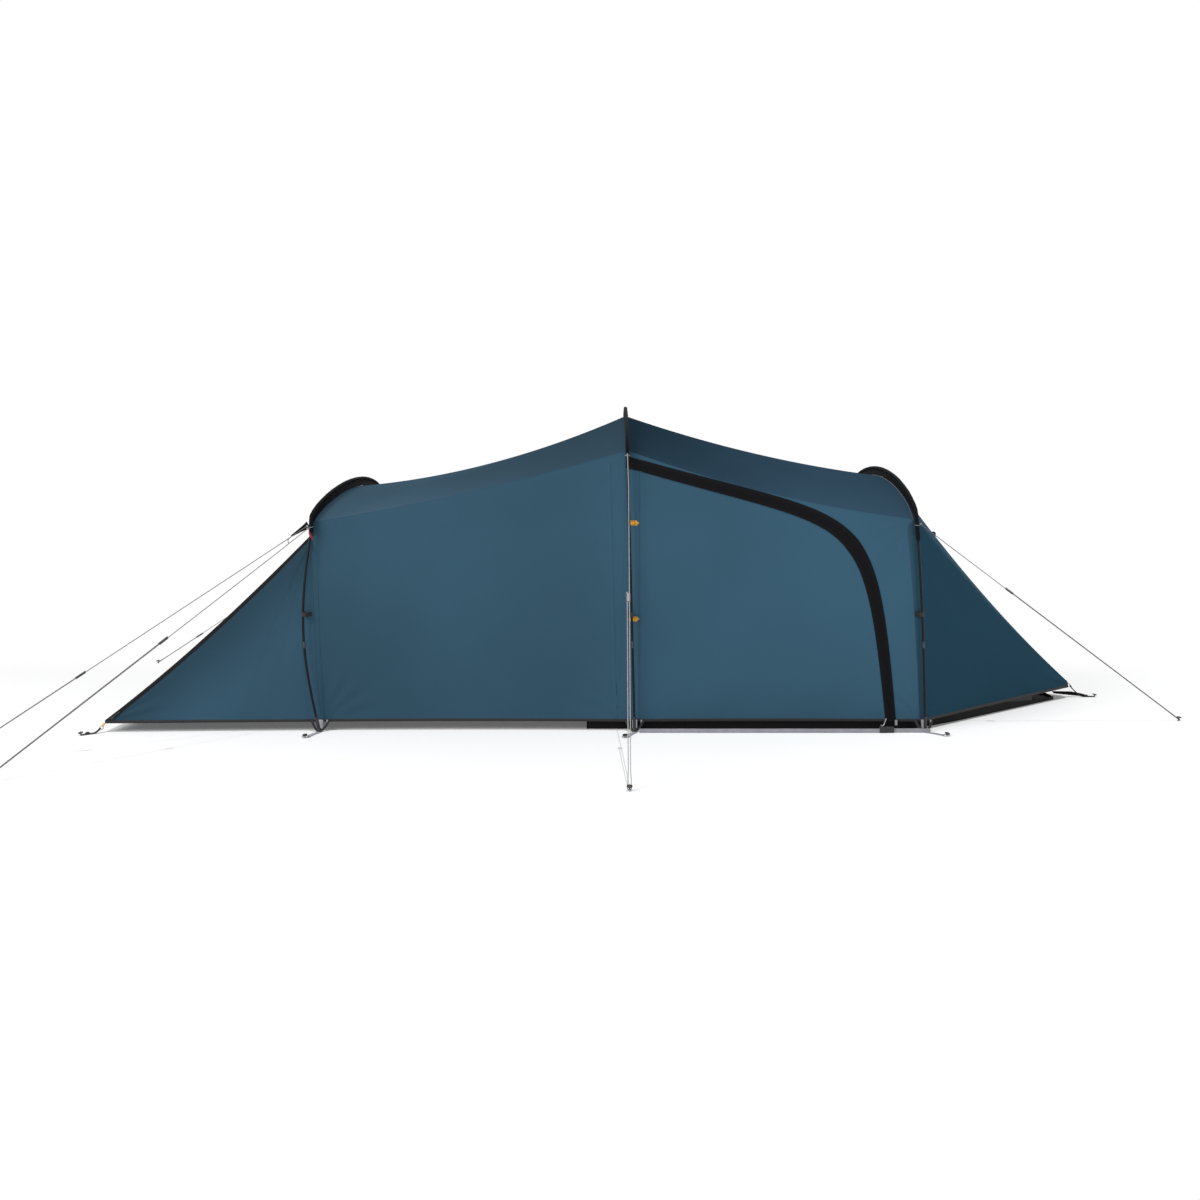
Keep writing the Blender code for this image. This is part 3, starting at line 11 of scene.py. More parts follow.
import bpy
import numpy as np
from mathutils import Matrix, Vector


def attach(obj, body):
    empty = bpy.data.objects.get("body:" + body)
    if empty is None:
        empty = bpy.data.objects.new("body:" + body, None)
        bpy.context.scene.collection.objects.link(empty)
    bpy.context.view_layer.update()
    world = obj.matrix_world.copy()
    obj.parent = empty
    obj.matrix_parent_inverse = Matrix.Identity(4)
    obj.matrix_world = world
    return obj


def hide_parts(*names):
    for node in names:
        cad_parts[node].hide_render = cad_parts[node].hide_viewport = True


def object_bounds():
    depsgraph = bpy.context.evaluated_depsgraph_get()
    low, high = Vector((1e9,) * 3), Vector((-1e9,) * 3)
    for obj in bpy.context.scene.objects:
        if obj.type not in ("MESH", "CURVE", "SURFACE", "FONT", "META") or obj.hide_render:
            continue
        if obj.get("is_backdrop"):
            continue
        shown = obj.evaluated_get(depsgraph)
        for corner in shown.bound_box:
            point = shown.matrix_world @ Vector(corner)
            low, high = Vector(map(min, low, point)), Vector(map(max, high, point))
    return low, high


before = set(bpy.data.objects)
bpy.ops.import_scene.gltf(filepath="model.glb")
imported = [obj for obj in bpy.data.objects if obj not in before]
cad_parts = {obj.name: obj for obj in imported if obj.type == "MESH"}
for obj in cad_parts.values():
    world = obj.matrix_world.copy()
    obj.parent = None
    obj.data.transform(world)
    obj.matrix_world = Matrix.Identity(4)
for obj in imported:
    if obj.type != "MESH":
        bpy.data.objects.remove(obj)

LOG = logging.getLogger("tent")
Colour = Tuple[float, float, float]
Spot = Tuple[float, float, float]
Value = Union["Sock", float, Colour]
Faces = List[Tuple[int, ...]]
Edge = Callable[[float], float]
Pair = Tuple[float, float]
Points = Sequence[Sequence[float]]
Piece = bpy.types.Object


class Side(Enum):
    """The two long sides of the tent."""

    NEAR = -1
    FAR = 1

    @property
    def word(self) -> str:
        """The side's name, as the nodes write it."""
        return self.name.lower()


class Lamp(Enum):
    """The kinds of lamp in the studio."""

    AREA = "AREA"
    SUN = "SUN"


class Body(Enum):
    """The bodies of the frame that pieces of the tent ride on."""

    TENT = "tent"
    SIDE_DOOR = "side_door"
    END_DOOR = "end_door"


def mix(a: Any, b: Any, t: float) -> Any:
    """A share of the way from one value to another."""
    return a + (b - a) * t


def clamp(value: float, low: float = 0.0, high: float = 1.0) -> float:
    """The value, kept between two limits."""
    return min(max(value, low), high)


# Shader nodes


class Sock:
    """An output socket whose arithmetic adds nodes to its material."""

    def __init__(self, graph: "Graph", socket: bpy.types.NodeSocket) -> None:
        """Wraps an output socket of one of the graph's nodes."""
        self.graph = graph
        self.socket = socket

    def _math(self, operation: str, first: Value, second: Value = 0.0) -> "Sock":
        """The result of a Math node."""
        return self.graph.node("ShaderNodeMath", {"operation": operation}, {0: first, 1: second})

    def __add__(self, other: Value) -> "Sock":
        """The sum."""
        return self._math("ADD", self, other)

    def __radd__(self, other: Value) -> "Sock":
        """The sum, reflected."""
        return self._math("ADD", other, self)

    def __sub__(self, other: Value) -> "Sock":
        """The difference."""
        return self._math("SUBTRACT", self, other)

    def __rsub__(self, other: Value) -> "Sock":
        """The difference, reflected."""
        return self._math("SUBTRACT", other, self)

    def __mul__(self, other: Value) -> "Sock":
        """The product."""
        return self._math("MULTIPLY", self, other)

    def __rmul__(self, other: Value) -> "Sock":
        """The product, reflected."""
        return self._math("MULTIPLY", other, self)

    def __truediv__(self, other: Value) -> "Sock":
        """The quotient."""
        return self._math("DIVIDE", self, other)

    def __rtruediv__(self, other: Value) -> "Sock":
        """The quotient, reflected."""
        return self._math("DIVIDE", other, self)

    def __pow__(self, other: Value) -> "Sock":
        """The power."""
        return self._math("POWER", self, other)

    def __neg__(self) -> "Sock":
        """The value with its sign turned."""
        return self._math("MULTIPLY", self, -1.0)

    def __abs__(self) -> "Sock":
        """The value without its sign."""
        return self._math("ABSOLUTE", self)

    def sine(self) -> "Sock":
        """The sine of the value in radians."""
        return self._math("SINE", self)

    def fraction(self) -> "Sock":
        """The part after the decimal point."""
        return self._math("FRACT", self)

    def above(self, limit: Value) -> "Sock":
        """One where the value is above a limit, and nought elsewhere."""
        return self._math("GREATER_THAN", self, limit)

    def top(self, other: Value) -> "Sock":
        """The larger of two values."""
        return self._math("MAXIMUM", self, other)

    def smooth(self, low: float, high: float) -> "Sock":
        """A soft step from nought at the low value to one at the high one."""
        settings = {"interpolation_type": "SMOOTHSTEP"}
        return self.graph.node("ShaderNodeMapRange", settings, {"Value": self, 1: low, 2: high})

    def line(self, centre: float, half: float) -> "Sock":
        """One within half a line's width of its centre, with soft edges."""
        return 1.0 - abs(self - centre).smooth(0.6 * half, 1.4 * half)

    def wave(self, period: float) -> "Sock":
        """A wave along the value, from nought to one, that repeats after a period."""
        return (self * (2.0 * math.pi / period)).sine() * 0.5 + 0.5

    def part(self, index: int) -> "Sock":
        """One component of a vector: 0, 1 or 2."""
        return self.graph.node("ShaderNodeSeparateXYZ", {}, {"Vector": self}, index)


class Graph:
    """A material's nodes, with the helpers that add to them."""

    def __init__(self, name: str) -> None:
        """Makes a material with a Principled shader.

        Args:
            name: The material's name.
        """
        self.material = bpy.data.materials.new(name)
        self.material.use_nodes = True
        self.tree = self.material.node_tree
        self.shader = self.tree.nodes["Principled BSDF"]

    @classmethod
    def of_tree(cls, tree: bpy.types.NodeTree) -> "Graph":
        """Wraps the nodes of something other than a material, such as the world.

        Args:
            tree: The nodes to wrap.

        Returns:
            The graph.
        """
        graph = cls.__new__(cls)
        graph.tree = tree
        return graph

    def node(self, kind: str, settings: Dict[str, Any], feeds: Dict[Any, Any], out: Any = 0) -> Sock:
        """Adds a node.

        Args:
            kind: The node's type.
            settings: Properties of the node, set before its sockets are used.
            feeds: Values or sockets for its inputs, by name or number.
            out: Which of its outputs is wanted.

        Returns:
            That output.
        """
        made = self.tree.nodes.new(kind)
        for key, value in settings.items():
            setattr(made, key, value)
        for key, value in feeds.items():
            self.feed(made.inputs[key], value)
        return Sock(self, made.outputs[out])

    def feed(self, socket: bpy.types.NodeSocket, value: Any) -> None:
        """Links a socket to another, or sets its own value.

        Args:
            socket: The input socket.
            value: The other socket, or the value.
        """
        if isinstance(value, Sock):
            self.tree.links.new(value.socket, socket)
        elif isinstance(value, tuple) and socket.type == "RGBA":
            socket.default_value = (*value, 1.0)
        else:
            socket.default_value = value

    def set(self, **values: Any) -> None:
        """Sets the shader's inputs; an underscore in a name stands for a space."""
        for key, value in values.items():
            self.feed(self.shader.inputs[key.replace("_", " ")], value)

    def blend(self, factor: Value, first: Value, second: Value) -> Sock:
        """Mixes two colours by a factor."""
        return self.node("ShaderNodeMix", {"data_type": "RGBA"}, {0: factor, 6: first, 7: second}, 2)

    def seen(self) -> Sock:
        """One for rays from the camera, from a reflection or through glass, and nought for the rest.

        Returns:
            The mask.
        """
        kinds = ("Camera", "Glossy", "Transmission")
        rays = [self.node("ShaderNodeLightPath", {}, {}, f"Is {kind} Ray") for kind in kinds]
        return rays[0].top(rays[1]).top(rays[2])

    def place(self) -> Sock:
        """The place in the object's own space, in metres."""
        return self.node("ShaderNodeTexCoord", {}, {}, "Object")

    def cloth(self) -> Sock:
        """The place on the cloth, in metres along its width and its length."""
        return self.node("ShaderNodeUVMap", {}, {})

    def edge(self) -> Sock:
        """How far the place is from the piece's nearest edge, in metres."""
        return self.node("ShaderNodeAttribute", {"attribute_name": "edge"}, {}, "Fac")

    def noise(self, scale: float, detail: float = 2.0, place: Optional[Sock] = None) -> Sock:
        """Noise around a half, its scale in features to a metre."""
        feeds = {"Vector": place or self.place(), "Scale": scale, "Detail": detail}
        return self.node("ShaderNodeTexNoise", {}, feeds)

    def stretched(self, place: Sock, scale: Spot) -> Sock:
        """A place whose axes are scaled, for a noise that is longer one way."""
        return self.node("ShaderNodeMapping", {}, {"Vector": place, "Scale": scale})

    def bump(self, height: Value, distance: float, strength: float, under: Optional[Sock] = None) -> None:
        """Feeds the shader's normal from a height, on top of another bump.

        Args:
            height: The height, from nought to one.
            distance: What a height of one is, in metres.
            strength: How strongly it shows.
            under: A normal that it adds to.
        """
        feeds: Dict[Any, Any] = {"Height": height, "Distance": distance, "Strength": strength}
        if under is not None:
            feeds["Normal"] = under
        self.set(Normal=self.node("ShaderNodeBump", {}, feeds))


# Finishes


@dataclass(frozen=True)
class Finish:
    """What a surface is made of, and the record's slot that it stands for."""

    name: str
    slot: str
    colour: Colour

    def build(self) -> bpy.types.Material:
        """Makes the material, or finds it if it is there already.

        Returns:
            The material.
        """
        found = bpy.data.materials.get(self.name)
        if found:
            return found
        graph = Graph(self.name)
        self.paint(graph)
        LOG.info("finish %s", self.name)
        return graph.material

    def paint(self, graph: Graph) -> None:
        """Fills the graph; each kind of finish has its own."""
        raise NotImplementedError

    def tone(self, factor: float, added: float = 0.0) -> Colour:
        """The finish's own colour, scaled and raised, and kept under one."""
        return tuple(min(c * factor + added, 1.0) for c in self.colour)


@dataclass(frozen=True)
class Shade:
    """How painted shade and painted light run along an axis: where that starts and ends, and the colour's
    factors there.
    """

    run: Pair
    factors: Pair
    axis: Spot = (1.0, 0.0, 0.0)


@dataclass(frozen=True)
class Fabric(Finish):
    """Coated ripstop cloth with a soft sheen and stitching along its edges."""

    roughness: float = 0.7
    sheen: float = 0.02
    thread: float = 0.0008
    ripstop: float = 0.0065
    variation: float = 0.10
    creases: float = 0.0022
    stitch_light: float = 1.25
    shade: Optional[Shade] = None
    specular: float = 0.1

    def paint(self, graph: Graph) -> None:
        """Threads, a ripstop grid, soft creases, uneven dye, painted shade and light along an axis where the
        finish gives one, and two rows of stitches.

        Args:
            graph: The material's nodes.
        """
        cloth, place, edge = graph.cloth(), graph.place(), graph.edge()
        across, along = cloth.part(0), cloth.part(1)
        turn = 2.0 * math.pi / self.thread
        threads = (across * turn).sine() * (along * turn).sine()
        cells = [abs((way / self.ripstop).fraction() - 0.5).smooth(0.42, 0.48) for way in (across, along)]
        ripstop = cells[0].top(cells[1])
        dye = graph.noise(1.1, 3.0, place)
        mottle = graph.noise(60.0, 2.0, place)
        stitch = self.stitches(edge, across + along)
        dark, light = self.tone(1.0 - self.variation), self.tone(1.0 + self.variation)
        base = graph.blend(dye.smooth(0.3, 0.7), dark, light)
        # Painted shade and light: the colour is scaled along an axis to stand in for how the lamps fall on
        # the panel.
        if self.shade:
            base = self.shaded(graph, base, place)
        base = graph.blend(0.05 * mottle + 0.06 * ripstop, base, self.tone(1.6))
        base = graph.blend(stitch * 0.5, base, self.tone(self.stitch_light))
        graph.set(Base_Color=base, Roughness=self.roughness + 0.12 * (mottle - 0.5))
        graph.set(Sheen_Weight=self.sheen, Sheen_Roughness=0.45, Sheen_Tint=self.tone(3.0, 0.1))
        graph.set(Specular_IOR_Level=self.specular)
        creased = graph.noise(7.0, 3.0, graph.stretched(place, (1.0, 1.0, 0.45)))
        feeds = {"Height": creased, "Distance": self.creases, "Strength": 0.5}
        soft = graph.node("ShaderNodeBump", {}, feeds)
        fine = 0.5 + 0.18 * threads + 0.4 * ripstop - 0.9 * stitch
        graph.bump(fine, 0.0002, 0.35, soft)

    def shaded(self, graph: Graph, base: Sock, place: Sock) -> Sock:
        """The colour made darker or lighter along an axis: painted shade and painted light that stand in for
        how the lamps fall on the panel.

        Args:
            graph: The material's nodes.
            base: The colour so far.
            place: The place in the tent's space.

        Returns:
            The colour.
        """
        first, last = self.shade.factors
        along = sum((place.part(k) * a for k, a in enumerate(self.shade.axis) if a), start=0.0)
        factor = along.smooth(*self.shade.run) * (last - first) + first
        grey = graph.node("ShaderNodeCombineXYZ", {}, {0: factor, 1: factor, 2: factor})
        return graph.node("ShaderNodeVectorMath", {"operation": "MULTIPLY"}, {0: base, 1: grey})

    def stitches(self, edge: Sock, run: Sock) -> Sock:
        """Two dotted rows of stitches beside the edge."""
        dots = (run / 0.0034).fraction().smooth(0.15, 0.3)
        return (edge.line(0.0035, 0.0005) + edge.line(0.0095, 0.0005)) * dots


@dataclass(frozen=True)
class Webbing(Finish):
    """Narrow woven tape with ribs across it and a bound edge."""

    rib: float = 0.0016
    roughness: float = 0.75
    sheen: float = 0.2

    def paint(self, graph: Graph) -> None:
        """Chevron ribs, paler crowns, darker edges and a little dirt.

        Args:
            graph: The material's nodes.
        """
        cloth, place, edge = graph.cloth(), graph.place(), graph.edge()
        across, along = cloth.part(0), cloth.part(1)
        zigzag = abs((across / 0.004).fraction() - 0.5) * 2.0
        ribs = (along + zigzag * 0.0016).wave(self.rib)
        wear = graph.noise(35.0, 4.0, place)
        rim = 1.0 - edge.smooth(0.0008, 0.0022)
        dark = self.tone(0.72)
        base = graph.blend(0.35 * ribs + 0.65 * wear.smooth(0.25, 0.7), dark, self.tone(1.22))
        base = graph.blend(rim * 0.45, base, dark)
        graph.set(Base_Color=base, Roughness=self.roughness + 0.1 * (wear - 0.5))
        graph.set(Sheen_Weight=self.sheen, Sheen_Roughness=0.5)
        graph.bump(ribs * 0.8 + rim * 0.5, 0.0004, 0.6)


@dataclass(frozen=True)
class Braid(Finish):
    """A thin braided cord."""

    radius: float = 0.0015
    pick: float = 0.0022

    def paint(self, graph: Graph) -> None:
        """Two crossing spirals of strands, with the odd darker fleck.

        Args:
            graph: The material's nodes.
        """
        cloth, place = graph.cloth(), graph.place()
        round_it = cloth.part(0) / (2.0 * math.pi * self.radius)
        along = cloth.part(1) / (4.0 * self.pick)
        right = ((round_it * 4.0 + along * 4.0) * (2.0 * math.pi)).sine()
        left = ((round_it * 4.0 - along * 4.0) * (2.0 * math.pi)).sine()
        strands = right.top(left) * 0.5 + 0.5
        fleck = graph.noise(180.0, 2.0, place).smooth(0.52, 0.62)
        graph.set(Base_Color=graph.blend(strands * (1.0 - 0.5 * fleck), self.tone(0.55), self.tone(1.3)))
        graph.set(Roughness=0.8 - 0.15 * strands, Sheen_Weight=0.4)
        graph.bump(strands, 0.0003, 0.8)


@dataclass(frozen=True)
class Plastic(Finish):
    """Moulded plastic with a fine grain and rubbed spots."""

    roughness: float = 0.42
    grain: float = 900.0

    def paint(self, graph: Graph) -> None:
        """Grain in the surface, and scuffs that are paler and rougher.

        Args:
            graph: The material's nodes.
        """
        grain, scuff = graph.noise(self.grain, 2.0), graph.noise(45.0, 5.0)
        worn = scuff.smooth(0.55, 0.72)
        graph.set(Base_Color=graph.blend(worn * 0.5, self.colour, self.tone(1.5, 0.02)))
        graph.set(Roughness=self.roughness + 0.2 * worn + 0.08 * (grain - 0.5))
        graph.bump(grain, 0.00012, 0.3)


@dataclass(frozen=True)
class Metal(Finish):
    """Drawn or cast metal with fine marks along it."""

    roughness: float = 0.3
    brushed: Spot = (900.0, 900.0, 40.0)

    def paint(self, graph: Graph) -> None:
        """Draw marks, and duller places where it was handled.

        Args:
            graph: The material's nodes.
        """
        marks = graph.noise(1.0, 3.0, graph.stretched(graph.place(), self.brushed))
        dull = graph.noise(60.0, 4.0).smooth(0.45, 0.7)
        graph.set(Base_Color=graph.blend(dull * 0.6, self.colour, self.tone(0.7)), Metallic=1.0)
        graph.set(Roughness=self.roughness + 0.25 * dull + 0.12 * (marks - 0.5))
        graph.bump(marks, 0.00015, 0.3)


@dataclass(frozen=True)
class Laminate(Finish):
    """A wound fibre pole under a glossy resin."""

    roughness: float = 0.24

    def paint(self, graph: Graph) -> None:
        """A fine spiral of fibres, with dust that dulls the gloss.

        Args:
            graph: The material's nodes.
        """
        cloth = graph.cloth()
        spiral = (cloth.part(0) * 1.2 + cloth.part(1)).wave(0.004)
        dust = graph.noise(28.0, 4.0).smooth(0.4, 0.75)
        graph.set(Base_Color=graph.blend(0.35 * spiral + 0.35 * dust, self.colour, self.tone(2.4, 0.001)))
        graph.set(Roughness=self.roughness + 0.2 * dust, Coat_Weight=0.5 - 0.3 * dust)
        graph.set(Coat_Roughness=0.12)
        graph.bump(spiral, 0.00012, 0.35)


@dataclass(frozen=True)
class ZipTeeth(Finish):
    """A nylon zip: a row of coil teeth between two narrow woven tapes."""

    pitch: float = 0.0016
    knit: float = 0.0009

    def paint(self, graph: Graph) -> None:
        """Teeth along the middle of the strip and a knitted tape beside them.

        Args:
            graph: The material's nodes.
        """
        cloth, edge = graph.cloth(), graph.edge()
        along = cloth.part(1)
        coil = edge.smooth(0.0032, 0.0042)
        teeth = along.wave(self.pitch) * coil
        knit = along.wave(self.knit) * (1.0 - coil)
        graph.set(Base_Color=graph.blend(0.7 * teeth + 0.25 * knit, self.colour, self.tone(1.8, 0.002)))
        graph.set(Roughness=0.7 - 0.2 * teeth, Sheen_Weight=0.0, Specular_IOR_Level=0.2)
        graph.bump(teeth + 0.3 * knit, 0.0006, 0.8)


BLUE, BLACK, GREY, POLE = "blue_fabric", "black_fabric", "grey_webbing", "pole_laminate"


@dataclass(frozen=True)
class FinishSet:
    """Every finish of the tent."""

    # Painted light and shade: the walls' colour is darker at the left and lighter at the right.
    blue: Fabric = Fabric(
        "cloth_blue", BLUE, (0.034, 0.090, 0.138), shade=Shade((-1.3, 1.15), (0.84, 1.20))
    )
    # Painted shade: the porch walls darken along the sloping edge and towards the pegged corner.
    end: Fabric = Fabric(
        "cloth_end_painted_shade", BLUE, (0.034, 0.088, 0.136),
        shade=Shade((-1.37, -1.09), (0.52, 1.02), (0.671, 0.0, -0.741)),
    )
    # Painted shade: a darker copy of the wall's cloth that darkens further towards the right arch, where the
    # wall turns.
    fold: Fabric = Fabric(
        "cloth_fold_painted_shade", BLUE, (0.028, 0.078, 0.118), shade=Shade((1.06, 1.135), (1.12, 0.62))
    )
    # Painted shade: the cone's cloth is a darker copy of the blue, for the side that turns away from the key
    # light.
    cone: Fabric = Fabric("cloth_cone_painted_shade", BLUE, (0.020, 0.068, 0.109), sheen=0.0, specular=0.03)
    # Painted shade: the roofs are darker copies of the blue, the left one darker towards the centre arch and
    # the right one darkest just after it.
    roof_left: Fabric = Fabric(
        "cloth_roof_left_painted_shade", "roof_fabric", (0.038, 0.074, 0.106), sheen=0.0, specular=0.0,
        shade=Shade((-1.1, 0.1), (1.20, 0.85)),
    )
    roof_right: Fabric = Fabric(
        "cloth_roof_right", "roof_fabric", (0.032, 0.070, 0.109), sheen=0.0, specular=0.0,
        shade=Shade((-0.25, 0.95), (0.49, 1.03)),
    )
    black: Fabric = Fabric("cloth_black", BLACK, (0.0045, 0.0045, 0.0055), 0.8, 0.0, stitch_light=6.0)
    inner: Fabric = Fabric("cloth_inner", BLACK, (0.10, 0.10, 0.11), ripstop=0.004)
    tub: Fabric = Fabric("cloth_tub", BLACK, (0.010, 0.010, 0.011), 0.6, 0.0, ripstop=0.010)
    binding: Webbing = Webbing("binding_black", BLACK, (0.006, 0.006, 0.007), sheen=0.03)
    grey: Webbing = Webbing("webbing_grey", GREY, (0.38, 0.375, 0.43))
    thread: Webbing = Webbing("thread_dark", BLACK, (0.030, 0.018, 0.010))
    amber: Webbing = Webbing("webbing_amber", "amber_webbing", (0.74, 0.37, 0.03))
    red: Webbing = Webbing("binding_red", BLACK, (0.30, 0.010, 0.025))
    zip: ZipTeeth = ZipTeeth("zip_black", BLACK, (0.003, 0.003, 0.0035))
    cord: Braid = Braid("cord_grey", "guy_cord", (0.36, 0.36, 0.38))
    cord_dark: Braid = Braid("cord_dark", "guy_cord", (0.13, 0.13, 0.14))
    piping: Braid = Braid("cord_piping", GREY, (0.06, 0.06, 0.07))
    toggle: Plastic = Plastic("plastic_dark_grey", GREY, (0.12, 0.12, 0.13), roughness=0.34)
    plastic: Plastic = Plastic("plastic_black", "black_plastic", (0.012, 0.012, 0.014))
    slider: Plastic = Plastic("plastic_grey", GREY, (0.22, 0.22, 0.24), roughness=0.38)
    pole: Laminate = Laminate("pole_laminate", POLE, (0.0035, 0.0035, 0.004))
    ferrule: Metal = Metal("metal_ferrule", POLE, (0.075, 0.072, 0.075), roughness=0.42)
    steel: Metal = Metal("metal_bright", GREY, (0.62, 0.62, 0.64))
    peg: Metal = Metal("metal_peg", POLE, (0.085, 0.075, 0.065), roughness=0.45)

    def slot_of(self, piece: Piece) -> str:
        """The record's slot of a piece's finish."""
        return next(f.slot for f in vars(self).values() if f.name == piece.data.materials[0].name)


FINISH = FinishSet()


# Shape of the tent


@dataclass(frozen=True)
class Arch:
    """One pole's arch: where it stands along X at foot, shoulder and apex, and its heights."""

    name: str
    foot_x: float
    shoulder_x: float
    apex_x: float
    shoulder_z: float
    ridge_z: float
    mouth_z: float
    bow: float = 0.0

    def bow_at(self, z: float) -> float:
        """How far the bare pole bends outwards at a height."""
        share = (z - 0.020) / (self.mouth_z - 0.020)
        return self.bow * math.sin(math.pi * clamp(share))

    def x_at(self, z: float) -> float:
        """X of the leaning arch at a height.

        Args:
            z: The height.

        Returns:
            X, in metres.
        """
        if z <= self.shoulder_z:
            return mix(self.foot_x, self.shoulder_x, z / self.shoulder_z)
        return mix(self.shoulder_x, self.apex_x, (z - self.shoulder_z) / (self.ridge_z - self.shoulder_z))

    def leg_x(self, rise: float) -> float:
        """X of a leg at a share of its height."""
        return self.x_at(rise * self.shoulder_z)


@dataclass(frozen=True)
class Span:
    """The cloth between two arches, with the sag of its ridge and of its shoulder seam."""

    start: Arch
    end: Arch
    ridge_sag: float
    seam_sag: float

    def heights(self, u: float) -> Pair:
        """Shoulder and ridge height at a share of the span.

        Args:
            u: Share of the span.

        Returns:
            Both heights.
        """
        dip = 4.0 * u * (1.0 - u)
        shoulder = mix(self.start.shoulder_z, self.end.shoulder_z, u) - self.seam_sag * dip
        return shoulder, mix(self.start.ridge_z, self.end.ridge_z, u) - self.ridge_sag * dip

    def seam_share(self, x: float) -> float:
        """How far x lies along the shoulder seam."""
        return clamp((x - self.start.shoulder_x) / (self.end.shoulder_x - self.start.shoulder_x))

    def share_at(self, x: float, z: float) -> float:
        """How far x lies along the span at a height.

        Args:
            x: The place along the tent.
            z: The height.

        Returns:
            The share.
        """
        rise = min(z / self.heights(self.seam_share(x))[0], 1.0)
        start, end = self.start.leg_x(rise), self.end.leg_x(rise)
        return clamp((x - start) / (end - start))


@dataclass(frozen=True)
class TentShape:
    """The tent's driving sizes and the surfaces that follow from them."""

    half: float = 0.808
    bulge: float = 0.030
    waist: float = 0.014
    power: float = 1.44
    hem: float = 0.035
    hem_band: float = 0.011
    standoff: float = 0.034
    seam_gap: float = 0.0006
    seat_gap: float = 0.0003
    left: Arch = Arch("left", -1.174, -1.206, -1.162, 0.800, 0.938, 0.756, 0.038)
    centre: Arch = Arch("centre", 0.030, 0.002, 0.000, 1.075, 1.244, 1.052)
    right: Arch = Arch("right", 1.139, 1.107, 1.100, 0.812, 0.984, 0.748)
    left_sags: Pair = (0.052, 0.020)
    right_sags: Pair = (0.030, 0.034)
    corner_x: float = -2.000
    corner_half: float = 0.850
    slope_sag: float = 0.029
    slope_cut: float = 0.985
    tip: Pair = (1.985, 0.048)
    cone_sag: float = 0.048
    cone_cut: float = 0.965
    hinge_x: float = 0.050
    zip_start_z: float = 1.018
    zip_handles: Tuple[Pair, ...] = ((0.950, 0.764), (0.914, 0.890))
    zip_foot_x: float = 1.014
    zip_bend: float = 10.0 / 18.0

    @property
    def arches(self) -> Tuple[Arch, Arch, Arch]:
        """The three arches, from left to right."""
        return self.left, self.centre, self.right

    @property
    def left_span(self) -> Span:
        """The cloth between the left and the centre arch."""
        return Span(self.left, self.centre, *self.left_sags)

    @property
    def right_span(self) -> Span:
        """The cloth between the centre and the right arch."""
        return Span(self.centre, self.right, *self.right_sags)

    def span_of(self, x: float) -> Span:
        """The span that x lies in."""
        return self.left_span if x < self.centre.shoulder_x else self.right_span

    def width(self, z: float, shoulder: float) -> float:
        """Half width of an arch at a height below its shoulder."""
        return self.half + self.bulge * math.sin(math.pi * clamp(z / shoulder))

    def seam_z(self, x: float) -> float:
        """Height of the shoulder seam over a place along the tent."""
        span = self.span_of(x)
        return span.heights(span.seam_share(x))[0]

    def wall(self, side: Side, x: float, z: float) -> Vector:
        """Point of a side wall's outer face.

        Args:
            side: The side of the tent.
            x: The place along the tent.
            z: The height.

        Returns:
            The point.
        """
        span = self.span_of(x)
        u = span.share_at(x, z)
        y = self.width(z, span.heights(u)[0]) - self.waist * 4.0 * u * (1.0 - u)
        return Vector((x, side.value * y, z))

    def roof(self, span: Span, u: float, angle: float) -> Vector:
        """Point of the roof at a share of its span and an angle of its half turn, nought at the ridge.

        Args:
            span: The two arches and the cloth between them.
            u: Share of the span.
            angle: The angle of its half turn, nought at the ridge.

        Returns:
            The point.
        """
        shoulder, ridge = span.heights(u)
        width = self.half - self.waist * 4.0 * u * (1.0 - u)
        ends = [self.crown(arch, angle).x for arch in (span.start, span.end)]
        x = mix(ends[0], ends[1], u)
        return Vector((x, width * math.sin(angle), shoulder + (ridge - shoulder) * self.lift(angle)))

    def lift(self, angle: float) -> float:
        """Share of its rise that a roof has reached at an angle."""
        return max(math.cos(angle), 0.0) ** self.power

    def crown(self, arch: Arch, angle: float) -> Vector:
        """Point of an arch's roof at an angle."""
        z = arch.shoulder_z + (arch.ridge_z - arch.shoulder_z) * self.lift(angle)
        return Vector((arch.x_at(z), self.half * math.sin(angle), z))

    def leg(self, arch: Arch, side: Side, z: float) -> Vector:
        """Point of an arch's leg at a height."""
        return Vector((arch.x_at(z), side.value * self.width(z, arch.shoulder_z), z))

    def slope(self, u: float) -> Vector:
        """Point (x, 0, z) of the porch's sloping edge, from the left arch to the pegged corner.

        Args:
            u: Share of the way down.

        Returns:
            The point.
        """
        start = Vector((self.left.x_at(self.left.mouth_z), 0.0, self.left.mouth_z))
        point = start.lerp(Vector((self.corner_x, 0.0, self.hem)), u)
        return point - Vector((0.0, 0.0, self.slope_sag * 4.0 * u * (1.0 - u)))

    def porch_y(self, u: float, z: float) -> float:
        """Half width of the porch at a share of its slope."""
        return mix(self.width(z, self.left.shoulder_z), self.corner_half, u)

    def porch_wall(self, side: Side, u: float, v: float) -> Vector:
        """Point of a porch wall, u down the slope and v up from the hem.

        Args:
            side: The side of the tent.
            u: Share of the way down the slope.
            v: Share of the way up from the hem.

        Returns:
            The point.
        """
        top = self.slope(u)
        z = mix(self.hem, top.z, v)
        lean = (self.left.x_at(z) - self.left.x_at(top.z) - self.seam_gap / 2) * (1.0 - u)
        return Vector((top.x + lean, side.value * self.porch_y(u, z), z))

